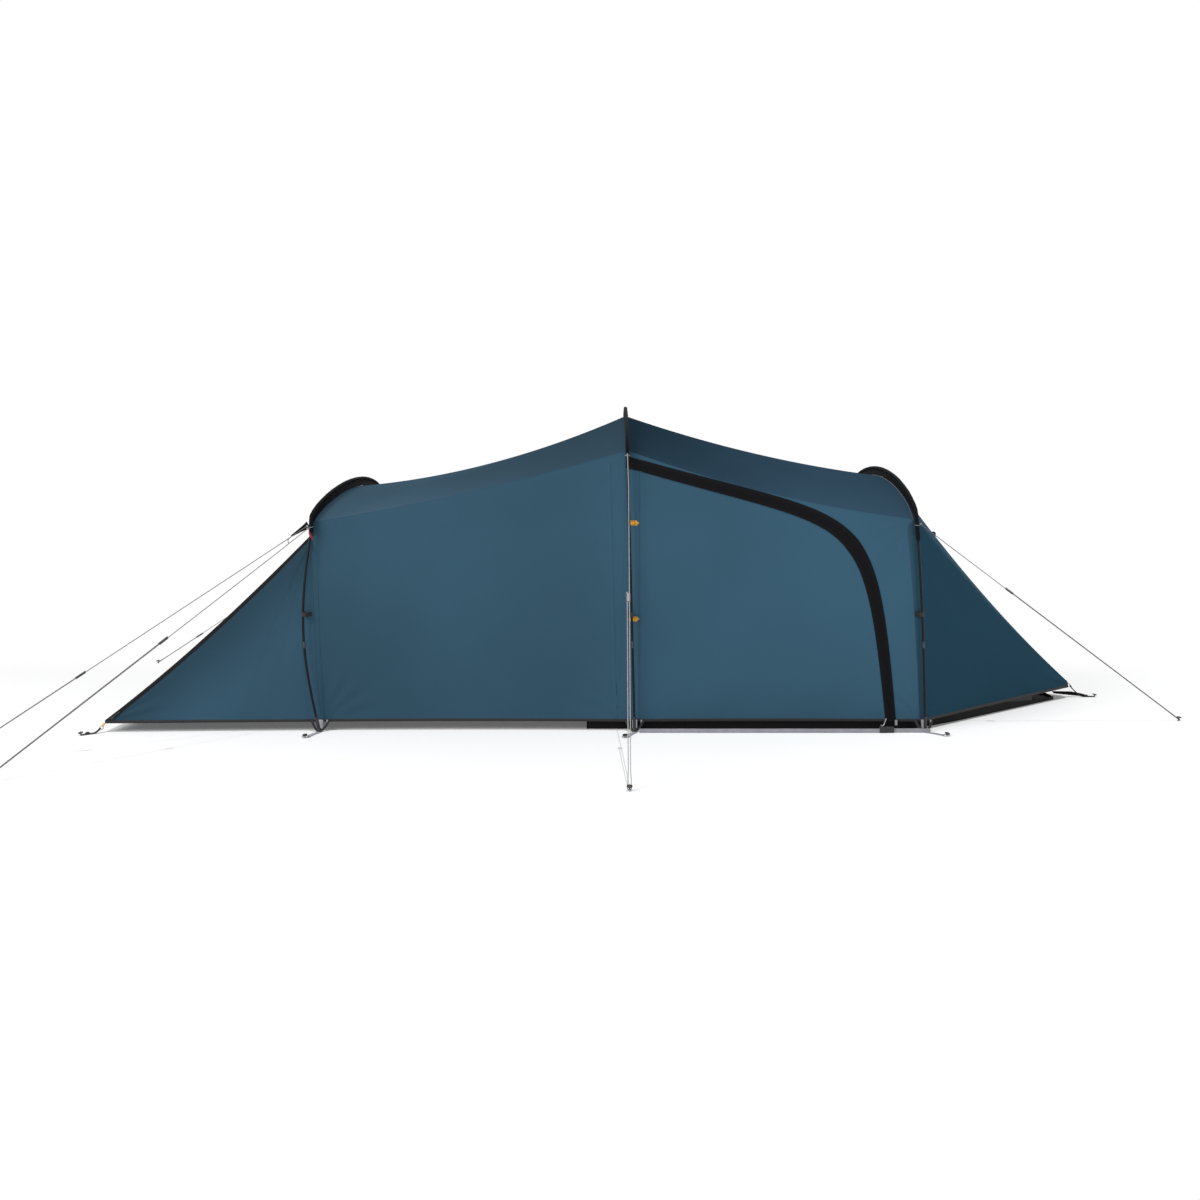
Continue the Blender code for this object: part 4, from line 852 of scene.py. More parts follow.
    def cone(self, side: Side, u: float, s: float) -> Vector:
        """Point of the cone, on a line from the right arch to the tip.

        Args:
            side: The side of the tent.
            u: Share of the way to the tip.
            s: Nought at the hem, five at the shoulder and eleven at the ridge.

        Returns:
            The point.
        """
        if s <= 5.0:
            base = self.leg(self.right, side, mix(self.hem, self.right.shoulder_z, s / 5.0))
        else:
            base = self.crown(self.right, math.radians(15.0 * (s - 5.0) - 90.0))
            base.y *= -side.value
        share = math.sin(math.pi / 2 * (s + 0.5) / 11.5)
        inward = Vector((0.0, -base.y, 0.2 * self.right.ridge_z - base.z)).normalized()
        tip = Vector((self.tip[0], 0.0, self.tip[1]))
        point = (base + Vector((self.seam_gap / 2, 0.0, 0.0))).lerp(tip, u)
        return point + inward * (self.cone_sag * 4.0 * u * (1.0 - u) * share)

    def zip_line(self, t: float, aside: float = 0.0) -> Pair:
        """Point (x, z) of the side door's zip, from the hinge to the hem.

        Args:
            t: Share of the way from the hinge to the hem.
            aside: How far the point is moved towards the frame.

        Returns:
            X and z.
        """
        line = [(self.hinge_x, self.zip_start_z), *self.zip_handles, (self.zip_foot_x, self.hem)]

        def at(t: float) -> Vector:
            """Point of the curve."""
            a, b, c, d = (Vector(p) for p in line)
            return a * (1 - t) ** 3 + b * (3 * t * (1 - t) ** 2) + c * (3 * t**2 * (1 - t)) + d * t**3

        tangent = (at(min(t + 0.01, 1.0)) - at(max(t - 0.01, 0.0))).normalized()
        moved = at(t) + Vector((-tangent.y, tangent.x)) * aside
        return moved.x, moved.y


SHAPE = TentShape()


# Meshes


def unit(vectors: np.ndarray) -> np.ndarray:
    """Vectors scaled to a length of one."""
    return vectors / np.maximum(np.linalg.norm(vectors, axis=-1, keepdims=True), 1e-12)


def grid_of(point: Callable[[float, float], Sequence[float]], rows: int, columns: int) -> np.ndarray:
    """Points of a surface, a function of two shares, at even steps of the one and the other."""
    shares = [c / columns for c in range(columns + 1)]
    return np.array([[tuple(point(r / rows, share)) for share in shares] for r in range(rows + 1)], float)


def grid_normals(grid: np.ndarray, outward: np.ndarray) -> np.ndarray:
    """Unit normals of a grid, turned the way that the outward vectors point.

    Args:
        grid: Points of the surface.
        outward: Vectors that point outwards.

    Returns:
        One vector for each point.
    """
    along, across = np.gradient(grid, axis=0), np.gradient(grid, axis=1)
    normals = unit(np.cross(along, across))
    sign = np.sign((normals * outward).sum())
    return normals * (sign if sign else 1.0)


def run_lengths(grid: np.ndarray, axis: int) -> np.ndarray:
    """How far each grid point lies along its row or column, in metres.

    Args:
        grid: Points of the surface.
        axis: Nought for runs down the columns, one for runs along the rows.

    Returns:
        A length for each point.
    """
    steps = np.linalg.norm(np.diff(grid, axis=axis), axis=-1)
    pad = [(0, 0), (0, 0)]
    pad[axis] = (1, 0)
    return np.cumsum(np.pad(steps, pad), axis=axis)


def edge_distance(along: np.ndarray, across: np.ndarray) -> np.ndarray:
    """How far each grid point is from the nearest edge, from its runs along and across."""
    return np.minimum(np.minimum(along, along[-1:] - along), np.minimum(across, across[:, -1:] - across))


def from_middle(grid: np.ndarray) -> np.ndarray:
    """Vectors from the line through the tent's middle to each grid point."""
    return grid * (0.0, 1.0, 1.0) - (0.0, 0.0, 0.3)


def face_list(rows: np.ndarray) -> Faces:
    """Rows of point numbers as the faces of a mesh."""
    return [tuple(row) for row in rows.tolist()]


def numbers_of(grid: np.ndarray, first: int = 0) -> np.ndarray:
    """The number of each grid point, in rows, when the points are listed row by row."""
    rows, columns = grid.shape[:2]
    return first + np.arange(rows * columns).reshape(rows, columns)


def ring_quads(number: np.ndarray) -> np.ndarray:
    """Four-sided faces between closed rings of points, one ring to a row."""
    turned = np.roll(number, -1, axis=1)
    return np.stack([number[:-1], turned[:-1], turned[1:], number[1:]], -1).reshape(-1, 4)


def capped_faces(grid: np.ndarray) -> Faces:
    """Faces of a solid made of rings of points and closed at both ends."""
    number = numbers_of(grid)
    return face_list(ring_quads(number)) + [tuple(number[0, ::-1].tolist()), tuple(number[-1].tolist())]


def make_object(name: str, points: np.ndarray, faces: Faces, finish: Finish) -> Piece:
    """Makes a smooth object of points and faces.

    Args:
        name: The piece's name.
        points: Its points.
        faces: Its faces, as numbers of points.
        finish: What it is made of.

    Returns:
        The object, in the scene.
    """
    mesh = bpy.data.meshes.new(name)
    mesh.from_pydata(points.tolist(), [], faces)
    mesh.validate()
    mesh.materials.append(finish.build())
    mesh.shade_smooth()
    mesh.set_sharp_from_angle(angle=math.radians(50))
    made = bpy.data.objects.new(name, mesh)
    bpy.context.scene.collection.objects.link(made)
    return made


def put_attributes(obj: Piece, uv: np.ndarray, edge: np.ndarray) -> None:
    """Writes a place on the cloth and the distance to its edge for each point.

    Args:
        obj: The object.
        uv: Two numbers for each point, in metres.
        edge: One number for each point, in metres.
    """
    mesh = obj.data
    corners = np.zeros(len(mesh.loops), np.int32)
    mesh.loops.foreach_get("vertex_index", corners)
    layer = mesh.uv_layers.new(name="UVMap")
    layer.data.foreach_set("uv", uv[corners].astype(np.float32).ravel())
    attribute = mesh.attributes.new("edge", "FLOAT", "POINT")
    attribute.data.foreach_set("value", edge.astype(np.float32))


@dataclass(frozen=True)
class Cloth:
    """A sheet of cloth made from a grid: two layers that close round its rim."""

    thickness: float = 0.0007

    def make(
        self, name: str, grid: np.ndarray, finish: Finish, outward: Optional[Spot] = None
    ) -> Piece:
        """Makes the sheet.

        Args:
            name: The piece's name.
            grid: Points of its outer face.
            finish: What it is made of.
            outward: The way its outer face looks; away from the tent's middle if left out.

        Returns:
            The object.
        """
        away = from_middle(grid) if outward is None else np.array(outward) + 0 * grid
        normals = grid_normals(grid, away)
        inner = grid - normals * self.thickness
        points = np.concatenate([grid.reshape(-1, 3), inner.reshape(-1, 3)])
        number = numbers_of(grid)
        corners = [number[:-1, :-1], number[:-1, 1:], number[1:, 1:], number[1:, :-1]]
        quads = np.stack(corners, -1).reshape(-1, 4)
        flip = (np.cross(np.gradient(grid, axis=0), np.gradient(grid, axis=1)) * normals).sum() > 0
        outer_faces = quads[:, ::-1] if flip else quads
        inner_faces = (quads if flip else quads[:, ::-1]) + number.size
        rim = np.concatenate([number[0, :-1], number[:-1, -1], number[-1, :0:-1], number[:0:-1, 0]])
        ahead = np.roll(rim, -1)
        sides = np.stack([rim, ahead, ahead + number.size, rim + number.size], -1)
        sides = sides if flip else sides[:, ::-1]
        faces = face_list(np.concatenate([outer_faces, inner_faces, sides]))
        made = make_object(name, points, faces, finish)
        self.dress(made, grid)
        return made

    def dress(self, made: Piece, grid: np.ndarray) -> None:
        """Gives the sheet its place on the cloth and its distance to the edge.

        Args:
            made: The sheet.
            grid: Points of the surface.
        """
        along, across = run_lengths(grid, 0), run_lengths(grid, 1)
        uv, edge = np.stack([across, along], -1).reshape(-1, 2), edge_distance(along, across).reshape(-1)
        put_attributes(made, np.concatenate([uv, uv]), np.concatenate([edge, edge]))


def grid_area(grid: np.ndarray) -> float:
    """Area of a grid, from the diagonals of its cells."""
    first, second = grid[1:, 1:] - grid[:-1, :-1], grid[1:, :-1] - grid[:-1, 1:]
    return float(np.linalg.norm(np.cross(first, second), axis=-1).sum() / 2)


def flat_size(grid: np.ndarray) -> Tuple[Pair, float]:
    """Width, length and area of the cut of a taut sheet, measured over its grid.

    Args:
        grid: Points of the surface.

    Returns:
        Width and length, and the area.
    """
    along, across = run_lengths(grid, 0)[-1].max(), run_lengths(grid, 1)[:, -1].max()
    size = (round(float(across), 3), round(float(along), 3))
    return size, min(round(grid_area(grid), 4), round(size[0] * size[1], 4))


@dataclass(frozen=True)
class Sweep:
    """A closed solid made by carrying a profile along a path."""

    up: Spot = (0.0, 0.0, 1.0)

    def frames(self, path: np.ndarray) -> Tuple[np.ndarray, np.ndarray]:
        """Side and up vectors at each point of a path.

        Args:
            path: Points of the path.

        Returns:
            The side vectors and the up vectors.
        """
        tangent = unit(np.gradient(path, axis=0))
        side = unit(np.cross(tangent, np.array(self.up) + 0 * path))
        return side, unit(np.cross(side, tangent))

    def make(
        self,
        name: str,
        path: np.ndarray,
        profile: Union[np.ndarray, Callable[[int], np.ndarray]],
        finish: Finish,
        frames: Optional[Tuple[np.ndarray, np.ndarray]] = None,
    ) -> Piece:
        """Makes the solid.

        Args:
            name: The piece's name.
            path: Points of the path.
            profile: (side, up) offsets in metres, or a function of the step that gives them.
            finish: What it is made of.
            frames: Side and up vectors, worked out from the path if left out.

        Returns:
            The object.
        """
        path = np.array(path, float)
        side, above = frames or self.frames(path)
        rings = []
        for i in range(len(path)):
            outline = np.array(profile(i) if callable(profile) else profile, float)
            rings.append(path[i] + side[i] * outline[:, :1] + above[i] * outline[:, 1:])
        grid = np.array(rings)
        made = make_object(name, grid.reshape(-1, 3), capped_faces(grid), finish)
        closed = np.concatenate([grid, grid[:, :1]], axis=1)
        around, along = run_lengths(closed, 1)[:, :-1], run_lengths(grid, 0)
        outline = np.array(profile(0) if callable(profile) else profile, float)
        width = np.abs(outline[:, 0]).max()
        edge = width - np.abs(outline[:, 0]) + 0 * along
        put_attributes(made, np.stack([around, along], -1).reshape(-1, 2), edge.reshape(-1))
        fix_normals(made)
        return made


def fix_normals(obj: Piece) -> None:
    """Turns a closed object's faces outwards.

    Args:
        obj: The object.
    """
    mesh = obj.data
    mesh.calc_loop_triangles()
    points = np.array([v.co for v in mesh.vertices], float)
    corners = np.array([t.vertices for t in mesh.loop_triangles])
    a, b, c = (points[corners[:, k]] for k in range(3))
    if (a * np.cross(b, c)).sum() < 0:
        mesh.flip_normals()


def circle(radius: float, count: int = 12) -> np.ndarray:
    """Points of a circle."""
    turns = np.arange(count) * (2.0 * math.pi / count)
    return radius * np.stack([np.cos(turns), np.sin(turns)], -1)


def tape(width: float, thickness: float, segments: int = 4) -> np.ndarray:
    """Profile of a flat tape, split across its width, lying on its path.

    Args:
        width: Its width.
        thickness: Its thickness.
        segments: Parts that its width is split into.

    Returns:
        Points of the profile.
    """
    across = np.linspace(-width / 2, width / 2, segments + 1)
    low = np.stack([across, 0 * across], -1)
    high = np.stack([across[::-1], thickness + 0 * across], -1)
    return np.concatenate([low, high])


def smooth_path(points: Points, steps: int) -> np.ndarray:
    """Points on a smooth curve through the given ones.

    Args:
        points: The points to pass through.
        steps: Steps from one point to the next.

    Returns:
        Points of the curve.
    """
    spots = np.array(points, float)
    spots = np.concatenate([2 * spots[:1] - spots[1:2], spots, 2 * spots[-1:] - spots[-2:-1]])
    found = []
    for a, b, c, d in zip(spots, spots[1:], spots[2:], spots[3:]):
        for k in range(steps):
            t = k / steps
            bend = (2 * a - 5 * b + 4 * c - d) * t**2
            found.append(b + ((c - a) * t + bend + (3 * b - 3 * c + d - a) * t**3) / 2)
    return np.array(found + [spots[-2]])


def tube_frames(path: np.ndarray) -> Tuple[np.ndarray, np.ndarray]:
    """Side and up vectors along a free path, carried on without twist.

    Args:
        path: Points of the path.

    Returns:
        The side vectors and the up vectors.
    """
    tangent = unit(np.gradient(path, axis=0))
    side = unit(np.cross(tangent[0], (0.3, 0.2, 1.0) if abs(tangent[0][2]) < 0.9 else (1.0, 0.0, 0.2)))
    sides = [side]
    for t in tangent[1:]:
        side = unit(sides[-1] - t * (sides[-1] @ t))
        sides.append(side)
    sides = np.array(sides)
    return sides, unit(np.cross(sides, tangent))


def tube(
    name: str, path: np.ndarray, radius: Union[float, np.ndarray], finish: Finish, count: int = 10
) -> Piece:
    """Makes a round tube along a path.

    Args:
        name: The piece's name.
        path: Points of its centre line.
        radius: Its radius, or one for each point.
        finish: What it is made of.
        count: Corners of its section.

    Returns:
        The object.
    """
    path = np.array(path, float)
    radii = np.zeros(len(path)) + radius
    return Sweep().make(name, path, lambda i: circle(radii[i], count), finish, tube_frames(path))


def closed_tube(name: str, path: Points, radius: float, finish: Finish, count: int = 8) -> Piece:
    """Makes a ring: a round tube along a closed path.

    Args:
        name: The piece's name.
        path: Points of its centre line, the last joined to the first.
        radius: Radius of the tube.
        finish: What it is made of.
        count: Corners of its section.

    Returns:
        The object.
    """
    path = np.array(path, float)
    tangent = unit(np.roll(path, -1, 0) - np.roll(path, 1, 0))
    out = path - path.mean(0)
    side = unit(out - tangent * (out * tangent).sum(-1, keepdims=True))
    above = unit(np.cross(side, tangent))
    outline = circle(radius, count)
    grid = path[:, None] + side[:, None] * outline[None, :, :1] + above[:, None] * outline[None, :, 1:]
    number = numbers_of(grid)
    faces = face_list(ring_quads(np.concatenate([number, number[:1]])))
    made = make_object(name, grid.reshape(-1, 3), faces, finish)
    along = run_lengths(grid, 0)
    around = np.arange(count) * (2.0 * math.pi * radius / count) + 0 * along
    put_attributes(made, np.stack([around, along], -1).reshape(-1, 2), 0.01 + 0 * along.reshape(-1))
    fix_normals(made)
    return made


LOOP_POINTS = 24


def loop_path(centre: Spot, across: Spot, up: Spot, halves: Pair, power: float = 2.0) -> np.ndarray:
    """Points of a rounded loop.

    Args:
        centre: Its middle.
        across: Unit vector of its first axis.
        up: Unit vector of its second axis.
        halves: Its half width and half height.
        power: Two for an ellipse, more for a rounded rectangle.

    Returns:
        The points.
    """
    turns = np.arange(LOOP_POINTS) * (2.0 * math.pi / LOOP_POINTS) + 0.01
    cosine, sine = np.cos(turns), np.sin(turns)
    a = halves[0] * np.sign(cosine) * np.abs(cosine) ** (2.0 / power)
    b = halves[1] * np.sign(sine) * np.abs(sine) ** (2.0 / power)
    return np.array(centre) + a[:, None] * np.array(across) + b[:, None] * np.array(up)


def hollow(name: str, outer: np.ndarray, inner: np.ndarray, finish: Finish, blind: bool = False) -> Piece:
    """Makes a wall between two stacks of rings.

    Args:
        name: The piece's name.
        outer: Rings of the outside, as rings by points by three.
        inner: Rings of the inside, with as many points to a ring.
        finish: What it is made of.
        blind: Whether the far end is closed.

    Returns:
        The object.
    """
    outer, inner = np.array(outer, float), np.array(inner, float)
    first = numbers_of(outer)
    second = numbers_of(inner, first.size)
    faces = face_list(ring_quads(first)) + face_list(ring_quads(second)[:, ::-1])
    for row, flip in ((0, True), (-1, False)):
        a, b = first[row], second[row]
        if row == -1 and blind:
            faces += [tuple(a.tolist()), tuple(b[::-1].tolist())]
            continue
        quads = np.stack([a, b, np.roll(b, -1), np.roll(a, -1)], -1)
        faces += face_list(quads if flip else quads[:, ::-1])
    points = np.concatenate([outer.reshape(-1, 3), inner.reshape(-1, 3)])
    made = make_object(name, points, faces, finish)
    put_attributes(made, points[:, (0, 2)], 0.01 + 0 * points[:, 0])
    fix_normals(made)
    return made


def turned(name: str, foot: Vector, axis: Vector, profile: Sequence[Pair], finish: Finish) -> Piece:
    """Makes a round piece from distances along its axis, each with its radius."""
    path = np.array([tuple(foot + axis * distance) for distance, _ in profile])
    return tube(name, path, np.array([radius for _, radius in profile]), finish, 20)


def resampled(points: Points, count: int) -> np.ndarray:
    """Points at even steps along a line.

    Args:
        points: The points to pass through.
        count: How many points are wanted.

    Returns:
        The points.
    """
    line = np.array(points, float)
    run = np.concatenate([[0.0], np.cumsum(np.linalg.norm(np.diff(line, axis=0), axis=1))])
    steps = np.linspace(0.0, run[-1], count)
    return np.stack([np.interp(steps, run, line[:, k]) for k in range(line.shape[1])], -1)


def strap(name: str, path: Points, size: Pair, up: Any, finish: Finish, floor: float = 0.0) -> Piece:
    """Makes a flat strap that lies on a smooth path.

    Args:
        name: The piece's name.
        path: Points that it passes through.
        size: Its width and thickness.
        up: The way its upper face looks, or one such vector for each end.
        finish: What it is made of.
        floor: The lowest height that its underside may have.

    Returns:
        The object.
    """
    line = smooth_path(path, 8)
    line[:, 2] = np.maximum(line[:, 2], floor)
    ends = np.array(up, float)
    if ends.ndim == 1:
        ends = np.stack([ends, ends])
    share = np.clip(np.linspace(0.0, 1.6, len(line)), 0.0, 1.0)[:, None]
    tangent = unit(np.gradient(line, axis=0))
    side = unit(np.cross(tangent, mix(ends[:1], ends[1:], share)))
    return Sweep().make(name, line, tape(*size, 6), finish, (side, unit(np.cross(side, tangent))))


# Pieces of the tent

PUCKER_EDGE = (0.013, 0.03)  # where folds start, from a panel's edge, and how soon they are full


@dataclass(frozen=True)
class Pucker:
    """Small folds that run out from a point where the cloth is pulled."""

    centre: Spot
    reach: float
    depth: float
    rays: float
    phase: float = 0.0

    def lift(self, grid: np.ndarray) -> np.ndarray:
        """How far the folds raise each point of a wall's grid.

        Args:
            grid: Points of the surface.

        Returns:
            A height for each point.
        """
        away = grid - np.array(self.centre)
        far = np.linalg.norm(away, axis=-1)
        angle = np.arctan2(away[..., 2], away[..., 0])
        fade = np.exp(-((far / self.reach) ** 2)) * (far / (far + 0.03))
        return self.depth * fade * np.sin(self.rays * angle + self.phase)


def puckered(grid: np.ndarray, puckers: Sequence[Pucker]) -> np.ndarray:
    """A grid with folds raised on it, its rim left where it is.

    Args:
        grid: Points of the surface.
        puckers: The folds.

    Returns:
        The folded grid.
    """
    if not puckers:
        return grid
    lift = sum(p.lift(grid) for p in puckers)
    edge = edge_distance(run_lengths(grid, 0), run_lengths(grid, 1))
    start, full = PUCKER_EDGE
    shown = np.clip((edge - start) / full, 0.0, 1.0)
    return grid + grid_normals(grid, from_middle(grid)) * (lift * shown)[..., None]


class Assembly:
    """A group of pieces, with the steps that every piece needs."""

    def adopt(self, piece: Piece, *nodes: str, body: Body = Body.TENT) -> Piece:
        """Puts a piece on its body and hides the nodes that it stands for; the slot of its finish is looked
        up but not kept.

        Args:
            piece: The piece.
            nodes: Nodes that it replaces.
            body: The body that it rides on.

        Returns:
            The piece.
        """
        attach(piece, body.value)
        FINISH.slot_of(piece)
        if nodes:
            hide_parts(*nodes)
        LOG.info("piece %s rides %s", piece.name, body.value)
        return piece

    def declare(
        self, piece: Piece, grid: np.ndarray, rests: Sequence[str],
        with_pieces: Sequence[Piece] = (), held: str = "stretched",
    ) -> None:
        """Works out the size and area of a panel's cut from its grid, and keeps neither."""
        flat, area = flat_size(grid)

    def finish_node(self, node: str, finish: Finish) -> None:
        """Gives a node of the frame that stays in sight its material.

        Args:
            node: The node's name.
            finish: What it is made of.
        """
        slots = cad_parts[node].data.materials
        slots.clear()
        slots.append(finish.build())
        LOG.info("node %s is finished with %s", node, finish.name)

    def build(self) -> None:
        """Makes the assembly's main pieces."""
        raise NotImplementedError

    def dress(self) -> None:
        """Adds the assembly's small pieces."""


@dataclass
class Fly(Assembly):
    """Walls and roofs of the outer tent."""

    shape: TentShape = SHAPE
    columns: int = 96
    rows: int = 64
    binding: float = 0.0034
    seam_width: float = 0.010

    def build(self) -> None:
        """Walls, roofs and the frame of the side door."""
        shape, gap = self.shape, self.shape.seam_gap / 2
        left, centre, right = shape.arches
        near, far = Side.NEAR, Side.FAR
        self.wall("wall_near_left", near, lambda r: left.leg_x(r) + gap, lambda r: shape.hinge_x - gap)
        self.wall("wall_far_left", far, lambda r: left.leg_x(r) + gap, lambda r: centre.leg_x(r) - gap)
        self.wall("wall_far_right", far, lambda r: centre.leg_x(r) + gap, lambda r: right.leg_x(r) - gap)
        self.roof("roof_left", shape.left_span)
        self.roof("roof_right", shape.right_span)
        self.door_frame()

    def puckers(self, side: Side) -> List[Pucker]:
        """Folds at the feet and shoulders of the arches on one side.

        Args:
            side: The side of the tent.

        Returns:
            The folds.
        """
        found = []
        for arch in self.shape.arches:
            foot = tuple(self.shape.leg(arch, side, self.shape.hem))
            top = tuple(self.shape.leg(arch, side, arch.shoulder_z))
            found.append(Pucker(foot, 0.17, 0.0040, 17.0, 0.6))
            found.append(Pucker(top, 0.14, 0.0010, 15.0, 0.2))
        return found

    def wall(self, node: str, side: Side, start: Edge, end: Edge) -> None:
        """A side wall between two edges.

        Args:
            node: The node's name.
            side: The side of the tent.
            start: X of the left edge, as a function of the share of its height.
            end: X of the right edge, in the same way.
        """
        shape = self.shape

        def point(u: float, v: float) -> Vector:
            """Point of the wall, u along it and v up from the hem.

            Args:
                u: Share along it.
                v: Share across it.

            Returns:
                The point.
            """
            seam = shape.seam_z(mix(start(1.0), end(1.0), u))
            z = mix(shape.hem, seam - shape.seam_gap / 2, v)
            return shape.wall(side, mix(start(z / seam), end(z / seam), u), z)

        grid = grid_of(point, self.columns, self.rows)
        piece = Cloth().make(f"{node}_cloth", puckered(grid, self.puckers(side)), FINISH.blue)
        self.adopt(piece, node)
        hem = self.hem_binding(f"{node}_hem", grid[:, 0], side)
        self.declare(piece, grid, ["sleeve_left", "sleeve_centre"], [hem])

    def hem_binding(
        self, name: str, line: np.ndarray, side: Side, body: Body = Body.TENT
    ) -> Piece:
        """The black tape folded round a hem.

        Args:
            name: The piece's name.
            line: Points of the cloth's lower edge.
            side: The side of the tent that it is on.
            body: The body that it rides on.

        Returns:
            The piece.
        """
        half, tall = self.binding / 2, self.shape.hem_band
        right = [(half * 0.6, 0.0), (half, 0.0008), (half, tall - 0.0006), (half * 0.7, tall)]
        profile = [(-half, 0.0008), (-half * 0.6, 0.0), *right, (-half * 0.7, tall), (-half, tall - 0.0006)]
        path = line + np.array((0.0, -side.value * half * 0.3, -0.0006))
        piece = Sweep().make(name, path, np.array(profile), FINISH.binding)
        return self.adopt(piece, body=body)

    def roof(self, node: str, span: Span) -> None:
        """The roof between two arches, from shoulder seam to shoulder seam.

        Args:
            node: The node's name.
            span: The two arches and the cloth between them.
        """
        shape, inset = self.shape, self.shape.seam_gap / 2

        def point(u: float, v: float) -> Vector:
            """Point of the roof, u along it and v across it.

            Args:
                u: Share along it.
                v: Share across it.

            Returns:
                The point.
            """
            found = shape.roof(span, u, math.pi * (v - 0.5))
            found.x += inset * (1.0 - 2.0 * u)
            return found

        grid = grid_of(point, self.columns, self.rows)
        finish = FINISH.roof_left if span.start is shape.left else FINISH.roof_right
        piece = self.adopt(Cloth().make(f"{node}_cloth", grid, finish), node)
        tapes = [self.seam_tape(f"{node}_seam_{side.word}", span, side) for side in Side]
        self.declare(piece, grid, ["sleeve_left", "sleeve_centre", "sleeve_right"], tapes)

    def seam_tape(self, name: str, span: Span, side: Side) -> Piece:
        """The felled seam between a roof and a wall, a narrow doubled strip.

        Args:
            name: The piece's name.
            span: The two arches and the cloth between them.
            side: The side of the tent.

        Returns:
            The piece.
        """
        angle, off = side.value * math.pi / 2, Vector((0.0, side.value * 0.0002, -self.seam_width / 2))
        line = np.array([tuple(self.shape.roof(span, k / 60, angle) + off) for k in range(61)])
        frames = Sweep((0.0, side.value, 0.0)).frames(line)
        return self.adopt(Sweep().make(name, line, tape(self.seam_width, 0.0006), FINISH.blue, frames))

    def door_frame(self) -> None:
        """The near wall between the side door's zip, the shoulder seam and the right arch."""
        shape, gap = self.shape, self.shape.seam_gap / 2

        def point(t: float, k: float) -> Vector:
            """Point of the frame, t along the zip and k from it to the outer edge.

            Args:
                t: Share along the zip.
                k: Share across it.

            Returns:
                The point.
            """
            inner = shape.zip_line(t, gap)
            if t <= shape.zip_bend:
                x = mix(shape.hinge_x - gap, shape.right.shoulder_x - gap, t / shape.zip_bend)
                outer = (x, shape.seam_z(x) - gap)
            else:
                share = (t - shape.zip_bend) / (1 - shape.zip_bend)
                z = mix(shape.right.shoulder_z - gap, shape.hem, share)
                outer = (shape.right.x_at(z) - gap, z)
            if t == 0.0:
                inner = (outer[0], inner[1])
            return shape.wall(Side.NEAR, mix(inner[0], outer[0], k), mix(inner[1], outer[1], k))

        grid = grid_of(point, 144, 24)
        folded = puckered(grid, self.puckers(Side.NEAR))
        piece = self.adopt(Cloth().make("wall_near_right_cloth", folded, FINISH.blue), "wall_near_right")
        hem = self.hem_binding("wall_near_right_hem", grid[-1], Side.NEAR)
        self.declare(piece, grid, ["sleeve_centre", "sleeve_right"], [hem])


@dataclass
class SideDoor(Fly):
    """The zipped door in the near wall, and the cover over its zip."""

    flap_top: float = 0.044
    flap_bend: float = 0.058
    flap_foot: float = 0.040
    flap_clearance: float = 0.0007

    def build(self) -> None:
        """The door's cloth and its hem."""
        shape = self.shape
        edge = -shape.seam_gap / 2
        hinge = shape.hinge_x - edge
        start = (hinge, shape.zip_line(0.0, edge)[1])
        foot, corner = (shape.zip_line(1.0, edge)[0], shape.hem), (hinge, shape.hem)

        def point(u: float, v: float) -> Vector:
            """Point of the door, u from the hinge and v from the hem.

            Args:
                u: Share along it.
                v: Share across it.

            Returns:
                The point.
            """
            low = np.array(mix(np.array(corner), np.array(foot), u))
            top = np.array(start if u == 0 else shape.zip_line(shape.zip_bend * u, edge))
            left = mix(np.array(corner), np.array(start), v)
            right = np.array(shape.zip_line(mix(1.0, shape.zip_bend, v), edge))
            bend = np.array(shape.zip_line(shape.zip_bend, edge))
            ruled = mix(low, top, v) + mix(left, right, u)
            flat = mix(mix(np.array(corner), np.array(foot), u), mix(np.array(start), bend, u), v)
            x, z = ruled - flat
            return shape.wall(Side.NEAR, x, z)

        grid = grid_of(point, 96, 72)
        puckers = [Pucker((0.03, -0.81, 0.035), 0.13, 0.0022, 19.0, 0.6)]
        piece = Cloth().make("side_door_cloth", puckered(grid, puckers), FINISH.blue)
        self.adopt(piece, "side_door", body=Body.SIDE_DOOR)
        hem = self.hem_binding("side_door_hem", grid[:, 0], Side.NEAR, Body.SIDE_DOOR)
        self.declare(piece, grid, ["wall_near_left"], [hem])

    def flap_width(self, t: float) -> float:
        """Width of the cover: narrow at both ends and widest at the bend.

        Args:
            t: Share along the zip.

        Returns:
            The width.
        """
        bend = self.shape.zip_bend
        end = self.flap_top if t < bend else self.flap_foot
        away = abs(t - bend) / (bend if t < bend else 1 - bend)
        return mix(self.flap_bend, end, away**0.8)

    def dress(self) -> None:
        """The cover over the zip, with the two halves of the zip under it."""
        shape = self.shape

        def point(t: float, k: float) -> Vector:
            """Point of the cover, t along the zip and k across it.

            Args:
                t: Share along the zip.
                k: Share across it.

            Returns:
                The point.
            """
            x, z = shape.zip_line(t, self.flap_width(t) * (k - 0.5))
            x = shape.hinge_x + shape.seam_gap / 2 if t == 0.0 else x
            z = shape.hem + shape.seat_gap if t == 1.0 else z
            crown = self.flap_clearance + 0.0012 + 0.0016 * math.sin(math.pi * k)
            return shape.wall(Side.NEAR, x, z) - Vector((0.0, crown, 0.0))

        grid = grid_of(point, 160, 14)
        piece = Cloth(0.0009).make("door_zip_flap_cloth", grid, FINISH.black)
        self.adopt(piece, "door_zip_flap", body=Body.SIDE_DOOR)
        self.declare(piece, grid, ["side_door_cloth"], held="hung")


